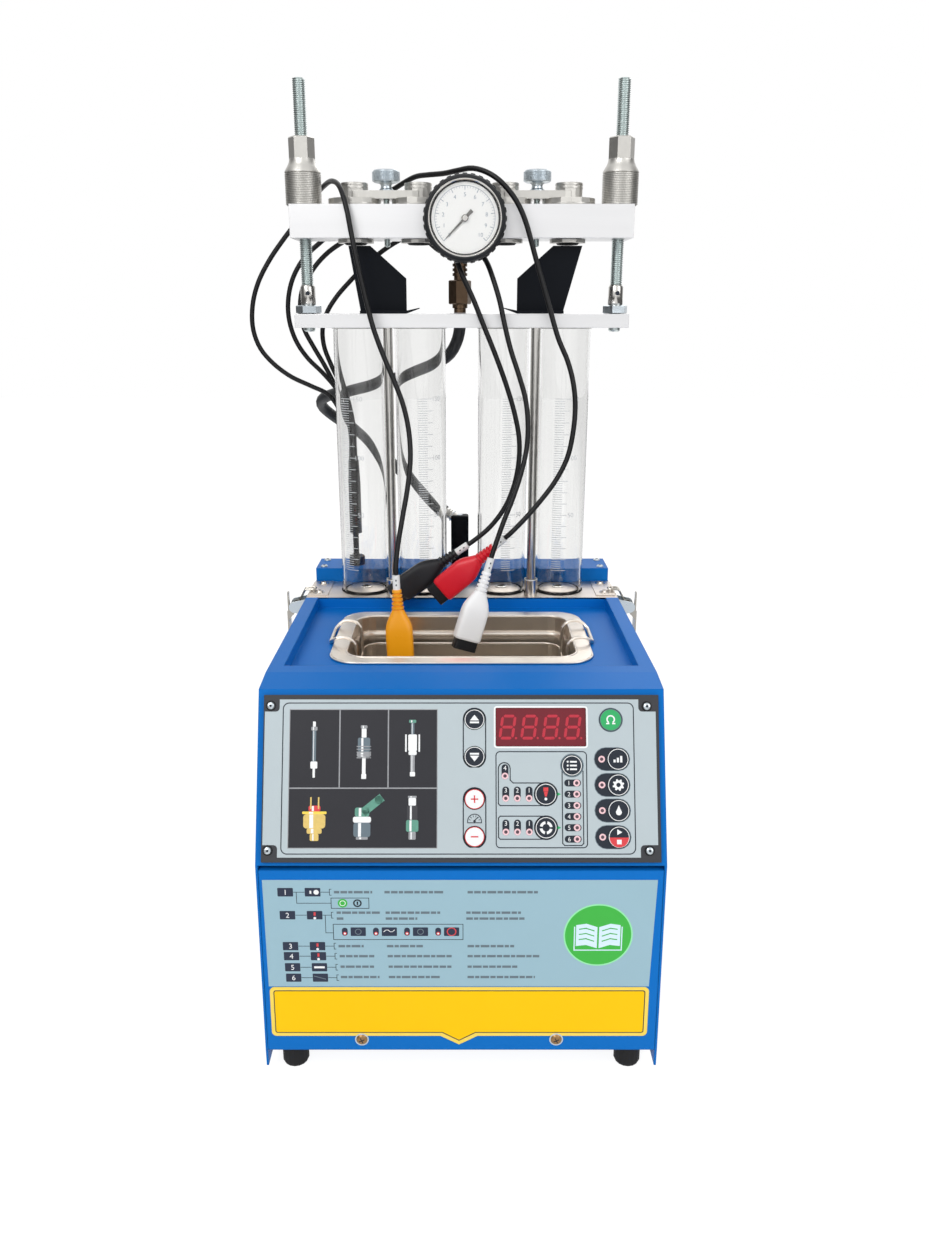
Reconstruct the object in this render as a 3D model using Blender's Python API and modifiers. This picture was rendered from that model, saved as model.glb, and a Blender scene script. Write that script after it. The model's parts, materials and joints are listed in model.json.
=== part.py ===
"""Fuel injector test bench with an ultrasonic cleaning tank.

Lengths are in metres: X to the right, Y to the back and Z up. The origin is on the ground,
under the middle of the bench. Front and rear name the side that the user faces and the far one.
"""

import math

import bmesh
import bpy
from mathutils import Matrix, Vector

# Clearances that every fit shares
GAP = 0.0003
OVERRUN = 0.002
SINK = 0.0006
WELD = 0.00001
FINE_WELD = 0.000001

# Folded steel body
BODY_WIDTH = 0.320
DECK_TOP = 0.320
SHEET = 0.0018
SIDE_FOOT = 0.010
FOOT_HEIGHT = 0.025
FOOT_RADIUS = 0.011
FOOT_INSET_X = 0.021
FOOT_INSET_Y = 0.019
FOOT_RIM = 0.003
PANEL_TOP = 0.187
PANEL_LEAN = 0.0083
PANEL_LIP = 0.010
SHADOW_GAP = 0.0041
SLOPE_LENGTH = 0.137
SLOPE_ANGLE = math.radians(23.3)
BEAM_RUN = 0.030
BEAM_FLAT = 0.0157
SIDE_BEAM = 0.0125
RECESS_LENGTH = 0.2029
RECESS_DEPTH = 0.011
PANEL_WINDOW_EDGE = 0.008
REAR_REACH = 0.001

# Stainless deck and the box behind it
DECK_LENGTH = 0.0624
DECK_SHEET = 0.0015
DRAIN_RADIUS = 0.005
SEAT_RADIUS = 0.0205
SEAT_HEIGHT = 0.0016
STRIKER_LENGTH = 0.055
STRIKER_WIDTH = 0.0195
STRIKER_INSET = 0.002
STRIKER_SHEET = 0.0012
STRIKER_SCREW_RADIUS = 0.0042
STRIKER_SCREW_HEIGHT = 0.0022
STRIKER_SCREW_PITCH = 0.034
HOOK_WIDTH = 0.0044
HOOK_HEIGHT = 0.0034
HOOK_SHEET = 0.0015
BOX_INSET = 0.002
BOX_LENGTH = 0.0445
BOX_HEIGHT = 0.0146

# Cleaning tank, basket and reservoir
TANK_LENGTH = 0.148
TANK_WIDTH = 0.232
TANK_SET_BACK = 0.0333
TANK_RIM = 0.012
TANK_RIM_SHEET = 0.0017
TANK_WALL = 0.0015
TANK_DEPTH = 0.111
TANK_CORNER = 0.018
CORNER_SEGMENTS = 4
TRANSDUCER_RADIUS = 0.030
TRANSDUCER_LENGTH = 0.042
BASKET_CLEARANCE = 0.007
BASKET_HEIGHT = 0.080
BASKET_FLOOR = 0.004
BASKET_SHEET = 0.0012
BASKET_WINDOW_HEIGHT = 0.046
BASKET_WINDOW_SILL = 0.014
BASKET_POST = 0.012
HANDLE_WIRE = 0.0032
HANDLE_SPAN = 0.051
HANDLE_REACH = 0.0045
HANDLE_LIFT = 0.0065
HANDLE_DROP = 0.022
RESERVOIR_HEIGHT = 0.210
RESERVOIR_WALL = 0.003
RESERVOIR_MARGIN = 0.022
PUMP_RADIUS = 0.019
PUMP_HEIGHT = 0.105

# Control panel on the slope
FRAME_WIDTH = 0.310
FRAME_FOOT = 0.003
FRAME_LENGTH = 0.1294
FRAME_THICK = 0.0028
KEY_SIDE = 0.0008
KEY_PROUD = 0.0005
KEY_TRAVEL = 0.0005
KEY_DEPTH = 0.0072
BOARD_SHEET = 0.0016
BOARD_EDGE = 0.010
STANDOFF_RADIUS = 0.003
DISPLAY_LEFT = 0.0268
DISPLAY_WIDTH = 0.0712
DISPLAY_FOOT = 0.092
DISPLAY_HEIGHT = 0.0304
DISPLAY_SUNK = 0.0008
SMALL_KEY = 0.0078
MIDDLE_KEY = 0.0082
LARGE_KEY = 0.0087
ARROW_KEYS_X = 0.0104
FUNCTION_KEYS_X = 0.0659
RIGHT_KEYS_X = 0.1225

# Each key has its place across the panel, up the slope, and its radius
KEYS = {
    "key_up": (ARROW_KEYS_X, 0.1132, SMALL_KEY),
    "key_down": (ARROW_KEYS_X, 0.0842, SMALL_KEY),
    "key_plus": (ARROW_KEYS_X, 0.0515, SMALL_KEY),
    "key_minus": (ARROW_KEYS_X, 0.0227, SMALL_KEY),
    "key_test": (0.1172, 0.1128, LARGE_KEY),
    "key_mode": (RIGHT_KEYS_X, 0.0823, MIDDLE_KEY),
    "key_settings": (RIGHT_KEYS_X, 0.0624, MIDDLE_KEY),
    "key_lamp": (RIGHT_KEYS_X, 0.0427, MIDDLE_KEY),
    "key_start": (RIGHT_KEYS_X, 0.0224, MIDDLE_KEY),
    "key_function": (0.0865, 0.0774, SMALL_KEY),
    "key_spray": (FUNCTION_KEYS_X, 0.0553, MIDDLE_KEY),
    "key_cycle": (FUNCTION_KEYS_X, 0.0296, MIDDLE_KEY),
}

# Mains inlet with its switch, in the rear panel
INLET_X = 0.105
INLET_Z = 0.075
INLET_WIDTH = 0.048
INLET_HEIGHT = 0.028
INLET_DEPTH = 0.020
INLET_FLANGE = 0.004
SOCKET_WIDTH = 0.022
SOCKET_HEIGHT = 0.015
SOCKET_DEPTH = 0.015
SOCKET_OFFSET = 0.010
ROCKER_WIDTH = 0.011
ROCKER_HEIGHT = 0.015
ROCKER_DEPTH = 0.005
ROCKER_OFFSET = 0.0145
ROCKER_TILT = math.radians(8.0)
ROCKER_POCKET = 0.013

# Glass tubes between the deck and the upper plate
TUBE_RADIUS = 0.025
TUBE_WALL = 0.0025
TUBE_PITCH = 0.060
TUBE_MIDDLE_PITCH = 0.082
TUBE_LENGTH = 0.265
TUBE_SET_BACK = 0.0334
TIE_ROD_RADIUS = 0.0045
TIE_ROD_SET_BACK = 0.0055
TIE_COLLAR_RADIUS = 0.0068
TIE_COLLAR_HEIGHT = 0.017
PLATE_WIDTH = 0.3174
PLATE_LENGTH = 0.056
PLATE_THICK = 0.0126
INJECTOR_HOLE_RADIUS = 0.008

# Threaded rods, nuts and the bar that rides on them
ROD_RADIUS = 0.0059
ROD_BORE_SIDE = 0.0004
ROD_X = 0.149
ROD_TOP = 0.804
ROD_TAIL = 0.004
ROD_CHAMFER = 0.0008
JAM_NUT_FLATS = 0.0107
JAM_NUT_HEIGHT = 0.0075
SLEEVE_RADIUS = 0.0071
SLEEVE_HEIGHT = 0.0184
SLEEVE_HOLE_RADIUS = 0.002
SLEEVE_HOLE_HEIGHT = 0.0112
BAR_WIDTH = 0.3188
BAR_LENGTH = 0.0556
BAR_THICK = 0.0293
BAR_LIFT = 0.0676
GRIP_RADIUS = 0.017
GRIP_HEIGHT = 0.030
GRIP_CHAMFER = 0.0016
FLARE_HEIGHT = 0.009
NECK_RADIUS = 0.01115
NECK_HEIGHT = 0.0206

# Couplers held down by a clamp and a thumb screw on each side
COUPLER_RADIUS = 0.0127
COUPLER_TOP = 0.0203
COUPLER_FLANGE_RADIUS = 0.025
COUPLER_FLANGE = 0.006
COUPLER_SHANK_RADIUS = 0.0097
COUPLER_FOOT_RADIUS = 0.017
COUPLER_FOOT = 0.003
COUPLER_BORE_RADIUS = 0.007
COUPLER_BORE_TOP = 0.010
CLAMP_REACH = 0.009
CLAMP_RADIUS = 0.014
CLAMP_THICK = 0.0066
SCREW_HEAD_RADIUS = 0.013
SCREW_HEAD_HEIGHT = 0.011
SCREW_NECK_HEIGHT = 0.0077
SCREW_NECK_RADIUS = 0.007
SCREW_SHANK_RADIUS = 0.003
SCREW_TAIL = 0.0068

# Pressure gauge on the front of the bar, with its outlet behind
GAUGE_X = 0.003
GAUGE_RADIUS = 0.0375
GAUGE_DEPTH = 0.030
GAUGE_STAND_OFF = 0.0054
GAUGE_ROUNDING = 0.005
BEZEL_RADIUS = 0.0345
DIAL_RADIUS = 0.0315
DIAL_DEPTH = 0.0045
STEM_RADIUS = 0.0055
STEM_COLLAR_RADIUS = 0.009
NEEDLE_LENGTH = 0.024
NEEDLE_TAIL = 0.009
NEEDLE_HALF_WIDTH = 0.0012
NEEDLE_THICK = 0.0006
NEEDLE_HUB_RADIUS = 0.003
NEEDLE_HUB_THICK = 0.0016
NEEDLE_ZERO = math.radians(225.0)
ELBOW_SIDE = 0.018
ELBOW_X = -0.002
FITTING_RADIUS = 0.006
FITTING_FLATS = 0.010
FITTING_NUT_TOP = 0.0358
FITTING_NUT_HEIGHT = 0.023
FITTING_DROP = 0.0818

# Injector brackets on the upper plate
BRACKET_SHEET = 0.003
BRACKET_SET_FORWARD = 0.0085
BRACKET_HEIGHT = 0.0615
BRACKET_FOOT_HEIGHT = 0.003
BRACKET_FOOT_DEPTH = 0.012
BRACKET_TOP_OUTER = 0.1033
BRACKET_TOP_INNER = 0.0866
BRACKET_FOOT_OUTER = 0.0970
BRACKET_FOOT_INNER = 0.0530
BRACKET_ELBOW_HEIGHT = 0.032

# Latches on the sides of the body
LATCH_SET_BACK = 0.0234
LATCH_PIVOT_OUT = 0.015
LATCH_PIVOT_DROP = 0.015
BAIL_PIVOT_OUT = 0.003
BAIL_PIVOT_DROP = 0.009
BAIL_WIRE = 0.0024
BAIL_HALF_SPAN = 0.0043
BAIL_RISE = 0.0010
BAIL_CROSSBAR_CLEARANCE = 0.0021
BAIL_SHOULDER = 0.0035
LEVER_CHEEK_INNER = 0.0059
LEVER_CHEEK = 0.0015
LEVER_EYE_RADIUS = 0.0042
LEVER_WEB = 0.0015
LEVER_WEB_OUT = 0.0066
LEVER_DROP = 0.043
LEVER_TONGUE_HALF_WIDTH = 0.0026
LEVER_TONGUE_RISE = 0.0145
LEVER_LIP = 0.0025
LATCH_EAR = 0.0015
LATCH_EAR_RADIUS = 0.0055
LATCH_BASE = 0.002
LATCH_BASE_RISE = 0.009
LATCH_BASE_DROP = 0.052

# Hose block and lead connector on the rear box
BLOCK_WIDTH = 0.019
BLOCK_LENGTH = 0.016
BLOCK_HEIGHT = 0.0541
BLOCK_X = -0.0025
STUB_RADIUS = 0.0055
STUB_LENGTH = 0.010
STUB_DROP = 0.007
STUB_DIRECTION = Vector((-0.80, 0.33, 0.50)).normalized()
CONNECTOR_X = -0.118
CONNECTOR_BASE_RADIUS = 0.011
CONNECTOR_BASE = 0.009
CONNECTOR_STEM_RADIUS = 0.004
CONNECTOR_STEM = 0.0255
SLEEVE_GRIP_RADIUS = 0.0083
SLEEVE_GRIP = 0.083
SLEEVE_TAPER = 0.006

# Leads, plugs and hose
LEAD_DIAMETER = 0.0048
LEAD_STEP = 0.0144
BUNDLE_HALF_PITCH = 0.0027
HOSE_DIAMETER = 0.012
HOSE_STEP = 0.016
PLUG_WIDTH = 0.026
PLUG_THICK = 0.016
PLUG_BODY = 0.048
PLUG_BEVEL = 0.0035
PLUG_RELIEF_RADIUS = 0.006
PLUG_RELIEF_TIP = 0.0042
PLUG_RELIEF = 0.020
PLUG_MARKER_RADIUS = 0.0035
PLUG_MARKER = 0.014
PLUG_INSERT = 0.010
PLUG_INSERT_EDGE = 0.002

# Places worked out from the sizes
HALF_WIDTH = BODY_WIDTH / 2
SLOPE_SINE = math.sin(SLOPE_ANGLE)
SLOPE_COSINE = math.cos(SLOPE_ANGLE)
SLOPE_DEPTH = PANEL_LEAN + SLOPE_LENGTH * SLOPE_SINE + BEAM_RUN + BEAM_FLAT
BODY_DEPTH = SLOPE_DEPTH + RECESS_LENGTH + DECK_LENGTH + BOX_LENGTH
FRONT_Y = -(BODY_DEPTH + REAR_REACH * 2) / 2
REAR_Y = FRONT_Y + BODY_DEPTH
FLOOR_Z = FOOT_HEIGHT + GAP
SLOPE_FOOT_Y = FRONT_Y + PANEL_LEAN
SLOPE_FOOT_Z = PANEL_TOP + SHADOW_GAP
FOLD_Y = SLOPE_FOOT_Y + SLOPE_LENGTH * SLOPE_SINE
FOLD_Z = SLOPE_FOOT_Z + SLOPE_LENGTH * SLOPE_COSINE
BEAM_Y = FOLD_Y + BEAM_RUN
RECESS_FRONT = BEAM_Y + BEAM_FLAT
RECESS_REAR = RECESS_FRONT + RECESS_LENGTH
RECESS_HALF_WIDTH = HALF_WIDTH - SIDE_BEAM
RECESS_FLOOR = DECK_TOP - RECESS_DEPTH
SHELF_Z = DECK_TOP - DECK_SHEET - GAP
BOX_Y = RECESS_REAR + DECK_LENGTH
BOX_TOP = DECK_TOP + BOX_HEIGHT
BOX_MIDDLE = (BOX_Y + REAR_Y) / 2
TANK_FRONT = RECESS_FRONT + TANK_SET_BACK
TANK_MIDDLE = TANK_FRONT + TANK_LENGTH / 2
TANK_TOP = RECESS_FLOOR + GAP + TANK_RIM_SHEET
TOWER_Y = RECESS_REAR + TUBE_SET_BACK
TUBE_INNER_X = TUBE_MIDDLE_PITCH / 2
TUBE_OUTER_X = TUBE_INNER_X + TUBE_PITCH
TUBE_X = [-TUBE_OUTER_X, -TUBE_INNER_X, TUBE_INNER_X, TUBE_OUTER_X]
PAIR_X = TUBE_INNER_X + TUBE_PITCH / 2
TUBE_FOOT = DECK_TOP + GAP
PLATE_FOOT = TUBE_FOOT + TUBE_LENGTH + GAP
PLATE_TOP = PLATE_FOOT + PLATE_THICK
BAR_FOOT = PLATE_TOP + BAR_LIFT
BAR_TOP = BAR_FOOT + BAR_THICK
BAR_FRONT = TOWER_Y - BAR_LENGTH / 2
BAR_REAR = TOWER_Y + BAR_LENGTH / 2
BAR_MIDDLE_Z = BAR_FOOT + BAR_THICK * 0.5
ROD_BORE = ROD_RADIUS + ROD_BORE_SIDE
CLAMP_TOP = BAR_TOP + GAP + COUPLER_FLANGE + CLAMP_THICK
FITTING_FOOT = BAR_MIDDLE_Z - FITTING_DROP
FITTING_Y = BAR_REAR + GAP + ELBOW_SIDE / 2 + GAP
LATCH_Y = RECESS_REAR + LATCH_SET_BACK
CONNECTOR_TOP = BOX_TOP + GAP + CONNECTOR_BASE + CONNECTOR_STEM + SLEEVE_GRIP

# Hand-chosen routes of the leads, from the connector to each plug's tail
LEAD_ROUTES = {
    "lead_1": [
        (-0.1225, 0.191, 0.479), (-0.130, 0.1945, 0.500), (-0.141, 0.1945, 0.516), (-0.159, 0.194, 0.525),
        (-0.180, 0.193, 0.535), (-0.198, 0.192, 0.549), (-0.210, 0.192, 0.564), (-0.216, 0.192, 0.583),
        (-0.215, 0.192, 0.606), (-0.208, 0.192, 0.628), (-0.195, 0.192, 0.650), (-0.180, 0.191, 0.669),
        (-0.163, 0.188, 0.688), (-0.147, 0.178, 0.706), (-0.132, 0.158, 0.716), (-0.121, 0.132, 0.717),
        (-0.1115, 0.109, 0.709), (-0.105, 0.098, 0.690), (-0.101, 0.0955, 0.668), (-0.0955, 0.092, 0.640),
        (-0.089, 0.090, 0.611), (-0.082, 0.088, 0.584), (-0.073, 0.084, 0.560), (-0.063, 0.079, 0.537),
        (-0.055, 0.074, 0.516), (-0.050, 0.069, 0.493), (-0.0485, 0.062, 0.468), (-0.051, 0.055, 0.443),
        (-0.056, 0.047, 0.415), (-0.0605, 0.039, 0.389),
    ],
    "lead_2": [
        (-0.117, 0.189, 0.479), (-0.122, 0.1965, 0.500), (-0.132, 0.1995, 0.520), (-0.147, 0.2005, 0.538),
        (-0.162, 0.2, 0.553), (-0.173, 0.199, 0.570), (-0.179, 0.198, 0.590), (-0.179, 0.196, 0.610),
        (-0.173, 0.195, 0.632), (-0.160, 0.194, 0.652), (-0.141, 0.192, 0.668), (-0.116, 0.188, 0.687),
        (-0.089, 0.180, 0.703), (-0.067, 0.166, 0.713), (-0.053, 0.152, 0.719), (-0.043, 0.141, 0.722),
        (-0.031, 0.128, 0.722), (-0.016, 0.117, 0.722), (-0.003, 0.108, 0.7235), (0.009, 0.101, 0.7245),
        (0.021, 0.094, 0.721), (0.032, 0.089, 0.7145), (0.043, 0.087, 0.704), (0.0515, 0.086, 0.692),
        (0.058, 0.086, 0.678), (0.068, 0.085, 0.646), (0.079, 0.083, 0.611), (0.090, 0.079, 0.576),
        (0.0985, 0.076, 0.557), (0.104, 0.073, 0.538), (0.1065, 0.071, 0.517), (0.105, 0.068, 0.492),
        (0.100, 0.066, 0.468), (0.089, 0.064, 0.446), (0.074, 0.062, 0.426), (0.060, 0.060, 0.410),
    ],
    "lead_3": [
        (-0.120, 0.185, 0.479), (-0.125, 0.1855, 0.503), (-0.133, 0.187, 0.526), (-0.143, 0.189, 0.546),
        (-0.154, 0.190, 0.565), (-0.163, 0.190, 0.583), (-0.166, 0.190, 0.602), (-0.163, 0.190, 0.621),
        (-0.151, 0.190, 0.641), (-0.136, 0.188, 0.656), (-0.118, 0.184, 0.667), (-0.099, 0.178, 0.674),
        (-0.079, 0.173, 0.677), (-0.060, 0.171, 0.677), (-0.044, 0.170, 0.674), (-0.032, 0.166, 0.665),
        (-0.023, 0.156, 0.6575), (-0.015, 0.140, 0.655), (-0.008, 0.118, 0.652), (-0.0045, 0.104, 0.646),
        (0.000, 0.098, 0.634), (0.011, 0.097, 0.611), (0.021, 0.096, 0.587), (0.032, 0.095, 0.561),
        (0.043, 0.094, 0.532), (0.051, 0.093, 0.506), (0.0555, 0.092, 0.483), (0.0555, 0.091, 0.461),
        (0.051, 0.0905, 0.437), (0.042, 0.0905, 0.415), (0.027, 0.0905, 0.395),
    ],
    "lead_4": [
        (-0.115, 0.183, 0.479), (-0.1185, 0.180, 0.504), (-0.126, 0.1785, 0.527), (-0.135, 0.180, 0.547),
        (-0.142, 0.182, 0.566), (-0.143, 0.184, 0.583), (-0.138, 0.185, 0.599), (-0.128, 0.186, 0.614),
        (-0.114, 0.187, 0.629), (-0.097, 0.188, 0.645), (-0.079, 0.189, 0.659), (-0.062, 0.190, 0.669),
        (-0.046, 0.189, 0.675), (-0.032, 0.185, 0.675), (-0.021, 0.178, 0.668), (-0.0145, 0.168, 0.660),
        (-0.007, 0.155, 0.656), (0.004, 0.137, 0.655), (0.013, 0.122, 0.6535), (0.0195, 0.111, 0.650),
        (0.0240, 0.103, 0.643), (0.029, 0.096, 0.630), (0.035, 0.091, 0.611), (0.040, 0.087, 0.589),
        (0.046, 0.084, 0.566), (0.0535, 0.080, 0.544), (0.060, 0.076, 0.522), (0.0625, 0.072, 0.500),
        (0.0615, 0.068, 0.477), (0.056, 0.062, 0.453), (0.048, 0.055, 0.430), (0.039, 0.049, 0.408),
    ],
}

# Each plug has its tail, the way it points and the side that its flat face turns to
PLUGS = {
    "plug_yellow": ("lead_1", (-0.0625, 0.033, 0.362), (0.045, -0.09, -1.0), (0.0, -1.0, 0.1)),
    "plug_red": ("lead_2", (0.0415, 0.0585, 0.392), (-0.74, 0.12, -0.66), (-0.1, -0.95, 0.05)),
    "plug_black": ("lead_3", (0.006, 0.0905, 0.378), (-0.82, 0.0, -0.57), (-0.05, -0.98, 0.1)),
    "plug_white": ("lead_4", (0.028, 0.043, 0.376), (-0.29, -0.17, -0.94), (0.25, -0.95, 0.1)),
}

# Hand-chosen route of the hose, from the fitting under the gauge to the hose block
HOSE_ROUTE = [
    (-0.0045, 0.1722, 0.573), (-0.0125, 0.1745, 0.5585), (-0.028, 0.178, 0.5485), (-0.048, 0.183, 0.541),
    (-0.072, 0.189, 0.5325), (-0.096, 0.198, 0.525), (-0.119, 0.210, 0.5195), (-0.139, 0.222, 0.5145),
    (-0.153, 0.236, 0.508), (-0.156, 0.251, 0.499), (-0.147, 0.262, 0.488), (-0.129, 0.266, 0.475),
    (-0.107, 0.259, 0.461), (-0.088, 0.250, 0.444), (-0.069, 0.238, 0.428), (-0.050, 0.222, 0.413),
]

parts = None
cutters = None


def start_scene():
    """Empties the scene and makes the two collections."""
    global parts, cutters
    for obj in list(bpy.data.objects):
        bpy.data.objects.remove(obj, do_unlink=True)
    parts = bpy.data.collections.new("fuel_injector_test_bench")
    cutters = bpy.data.collections.new("cutters")
    for group in (parts, cutters):
        bpy.context.scene.collection.children.link(group)


def look(name, color, metallic=0.0, roughness=0.5, alpha=1.0):
    """A Principled material, made once for each name."""
    found = bpy.data.materials.get(name)
    if found:
        return found
    made = bpy.data.materials.new(name)
    made.use_nodes = True
    shader = made.node_tree.nodes["Principled BSDF"]
    shader.inputs["Base Color"].default_value = (*color, 1.0)
    shader.inputs["Metallic"].default_value = metallic
    shader.inputs["Roughness"].default_value = roughness
    shader.inputs["Alpha"].default_value = alpha
    return made


def blue():
    return look("blue_enamel", (0.008, 0.19, 0.60), roughness=0.3)


def steel():
    return look("stainless", (0.55, 0.52, 0.50), metallic=1.0, roughness=0.3)


def aluminium():
    return look("aluminium", (0.80, 0.81, 0.82), metallic=1.0, roughness=0.35)


def black_paint():
    return look("bracket_black", (0.020, 0.024, 0.033), roughness=0.5)


def zinc():
    return look("zinc", (0.55, 0.60, 0.66), metallic=1.0, roughness=0.25)


def black_plastic():
    return look("black_plastic", (0.022, 0.022, 0.026), roughness=0.45)


def rubber():
    return look("black_rubber", (0.03, 0.03, 0.033), roughness=0.75)


def placed(name, mesh, material, matrix=None):
    """A mesh as an object of the parts collection."""
    obj = bpy.data.objects.new(name, mesh)
    parts.objects.link(obj)
    if matrix is not None:
        obj.matrix_world = matrix
    if material is not None:
        mesh.materials.clear()
        mesh.materials.append(material)
    return obj


def box(name, low, high, material=None, matrix=None, bevel=0.0):
    """A block between two corners."""
    low = Vector(low)
    high = Vector(high)
    shape = bmesh.new()
    size = high - low
    stretched = Matrix.Translation((low + high) / 2) @ Matrix.Diagonal((*size, 1))
    bmesh.ops.create_cube(shape, size=1.0, matrix=stretched)
    if bevel:
        bmesh.ops.bevel(shape, geom=shape.edges[:], offset=bevel, segments=2, profile=0.5, affect="EDGES")
    mesh = bpy.data.meshes.new(name)
    shape.to_mesh(mesh)
    shape.free()
    return placed(name, mesh, material, matrix)


def cylinder(name, radius, low, high, centre=(0.0, 0.0), matrix=None, sides=16, top_radius=None):
    """A cylinder or cone along Z between two heights."""
    shape = bmesh.new()
    middle = Matrix.Translation((centre[0], centre[1], (low + high) / 2))
    top = radius if top_radius is None else top_radius
    bmesh.ops.create_cone(
        shape, cap_ends=True, segments=sides, radius1=radius, radius2=top, depth=high - low, matrix=middle
    )
    mesh = bpy.data.meshes.new(name)
    shape.to_mesh(mesh)
    shape.free()
    mesh.shade_smooth()
    mesh.set_sharp_from_angle(angle=math.radians(40))
    return placed(name, mesh, None, matrix)


def turned(name, profile, material=None, matrix=None, steps=16, ring=False):
    """A profile of radii and heights, top to bottom, turned about Z with a Screw modifier."""
    mesh = bpy.data.meshes.new(name)
    points = [(radius, 0.0, height) for radius, height in profile]
    edges = [(i, i + 1) for i in range(len(points) - 1)]
    if ring:
        edges.append((len(points) - 1, 0))
    mesh.from_pydata(points, edges, [])
    obj = placed(name, mesh, material, matrix)
    screw = obj.modifiers.new("turn", "SCREW")
    screw.steps = steps
    screw.render_steps = steps
    screw.use_merge_vertices = True
    screw.merge_threshold = WELD
    screw.use_smooth_shade = True
    return obj


def prism(name, outline, thick, material=None, matrix=None):
    """A flat outline in X and Y, as thick along Z as stated, centred on Z zero."""
    curve = bpy.data.curves.new(name, "CURVE")
    curve.dimensions = "2D"
    curve.fill_mode = "BOTH"
    curve.extrude = thick / 2
    spline = curve.splines.new("POLY")
    spline.points.add(len(outline) - 1)
    for point, (across, along) in zip(spline.points, outline):
        point.co = (across, along, 0.0, 1.0)
    spline.use_cyclic_u = True
    return curve_mesh(name, curve, material, matrix)


def curve_mesh(name, curve, material, matrix):
    """A curve turned into a closed mesh object, its caps welded."""
    guide = bpy.data.objects.new(name + "_curve", curve)
    parts.objects.link(guide)
    if matrix is not None:
        guide.matrix_world = matrix
    bpy.context.view_layer.update()
    graph = bpy.context.evaluated_depsgraph_get()
    mesh = bpy.data.meshes.new_from_object(guide.evaluated_get(graph))
    shape = bmesh.new()
    shape.from_mesh(mesh)
    bmesh.ops.remove_doubles(shape, verts=shape.verts[:], dist=FINE_WELD)
    bmesh.ops.recalc_face_normals(shape, faces=shape.faces[:])
    shape.to_mesh(mesh)
    shape.free()
    world = guide.matrix_world.copy()
    bpy.data.objects.remove(guide, do_unlink=True)
    return placed(name, mesh, material, world)


def wire(name, points, diameter, material=None, resolution=2):
    """A round wire along points, as a closed mesh."""
    return curve_mesh(name, tube_curve(name, points, diameter, resolution), material, None)


def tube_curve(name, points, diameter, resolution):
    curve = bpy.data.curves.new(name, "CURVE")
    curve.dimensions = "3D"
    curve.bevel_depth = diameter / 2
    curve.bevel_resolution = resolution
    curve.use_fill_caps = True
    curve.twist_mode = "MINIMUM"
    spline = curve.splines.new("POLY")
    spline.points.add(len(points) - 1)
    for point, place in zip(spline.points, points):
        point.co = (*place, 1.0)
    return curve


def as_tool(obj):
    """Moves a helper to the cutters and hides it."""
    parts.objects.unlink(obj)
    cutters.objects.link(obj)
    obj.hide_render = True
    obj.display_type = "WIRE"
    obj.name = "tool_" + obj.name
    return obj


def combine(target, operation, helpers):
    for helper in helpers:
        boolean = target.modifiers.new(operation.lower(), "BOOLEAN")
        boolean.operation = operation
        boolean.solver = "EXACT"
        boolean.object = as_tool(helper)
    return target


def join(target, *helpers):
    return combine(target, "UNION", helpers)


def cut(target, *helpers):
    return combine(target, "DIFFERENCE", helpers)


def along_x():
    """Turns a prism drawn in Y and Z so that it is extruded along X."""
    return Matrix(((0, 0, 1, 0), (1, 0, 0, 0), (0, 1, 0, 0), (0, 0, 0, 1)))


def along_y(y):
    """Turns a prism drawn in X and Z so that it is extruded along Y, at the place given."""
    return Matrix(((1, 0, 0, 0), (0, 0, -1, y), (0, 1, 0, 0), (0, 0, 0, 1)))


def frame_from(origin, forward, face):
    """A frame whose Z runs forward and whose Y is the side nearest to face."""
    z_axis = Vector(forward).normalized()
    x_axis = Vector(face).cross(z_axis).normalized()
    y_axis = z_axis.cross(x_axis)
    turn = Matrix((x_axis, y_axis, z_axis)).transposed().to_4x4()
    return Matrix.Translation(origin) @ turn


def slope_frame(across=0.0, up=0.0, out=0.0):
    """A frame on the control slope: X across, Y up the slope and Z out of it."""
    place = Vector((across, up * SLOPE_SINE - out * SLOPE_COSINE, up * SLOPE_COSINE + out * SLOPE_SINE))
    foot = Vector((0.0, SLOPE_FOOT_Y, SLOPE_FOOT_Z))
    turn = Matrix(((1, 0, 0), (0, SLOPE_SINE, -SLOPE_COSINE), (0, SLOPE_COSINE, SLOPE_SINE)))
    return Matrix.Translation(foot + place) @ turn.to_4x4()


def folded(points, thick):
    """The outline of a sheet whose outer line runs through points, its wall on their left."""
    inner = []
    for i, point in enumerate(points):
        here = Vector(point)
        normals = []
        for first, second in ((i - 1, i), (i, i + 1)):
            if 0 <= first and second < len(points):
                run = (Vector(points[second]) - Vector(points[first])).normalized()
                normals.append(Vector((-run.y, run.x)))
        middle = sum(normals, Vector((0.0, 0.0))).normalized()
        inner.append(tuple(here + middle * (thick / middle.dot(normals[0]))))
    return list(points) + inner[::-1]


def rounded_outline(half_x, half_y, radius, centre=(0.0, 0.0)):
    """A rectangle with round corners."""
    outline = []
    for corner, (sign_x, sign_y) in enumerate(((1, 1), (-1, 1), (-1, -1), (1, -1))):
        for step in range(CORNER_SEGMENTS + 1):
            angle = math.pi / 2 * (corner + step / CORNER_SEGMENTS)
            x = sign_x * (half_x - radius) + radius * math.cos(angle)
            y = sign_y * (half_y - radius) + radius * math.sin(angle)
            outline.append((centre[0] + x, centre[1] + y))
    return outline


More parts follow.
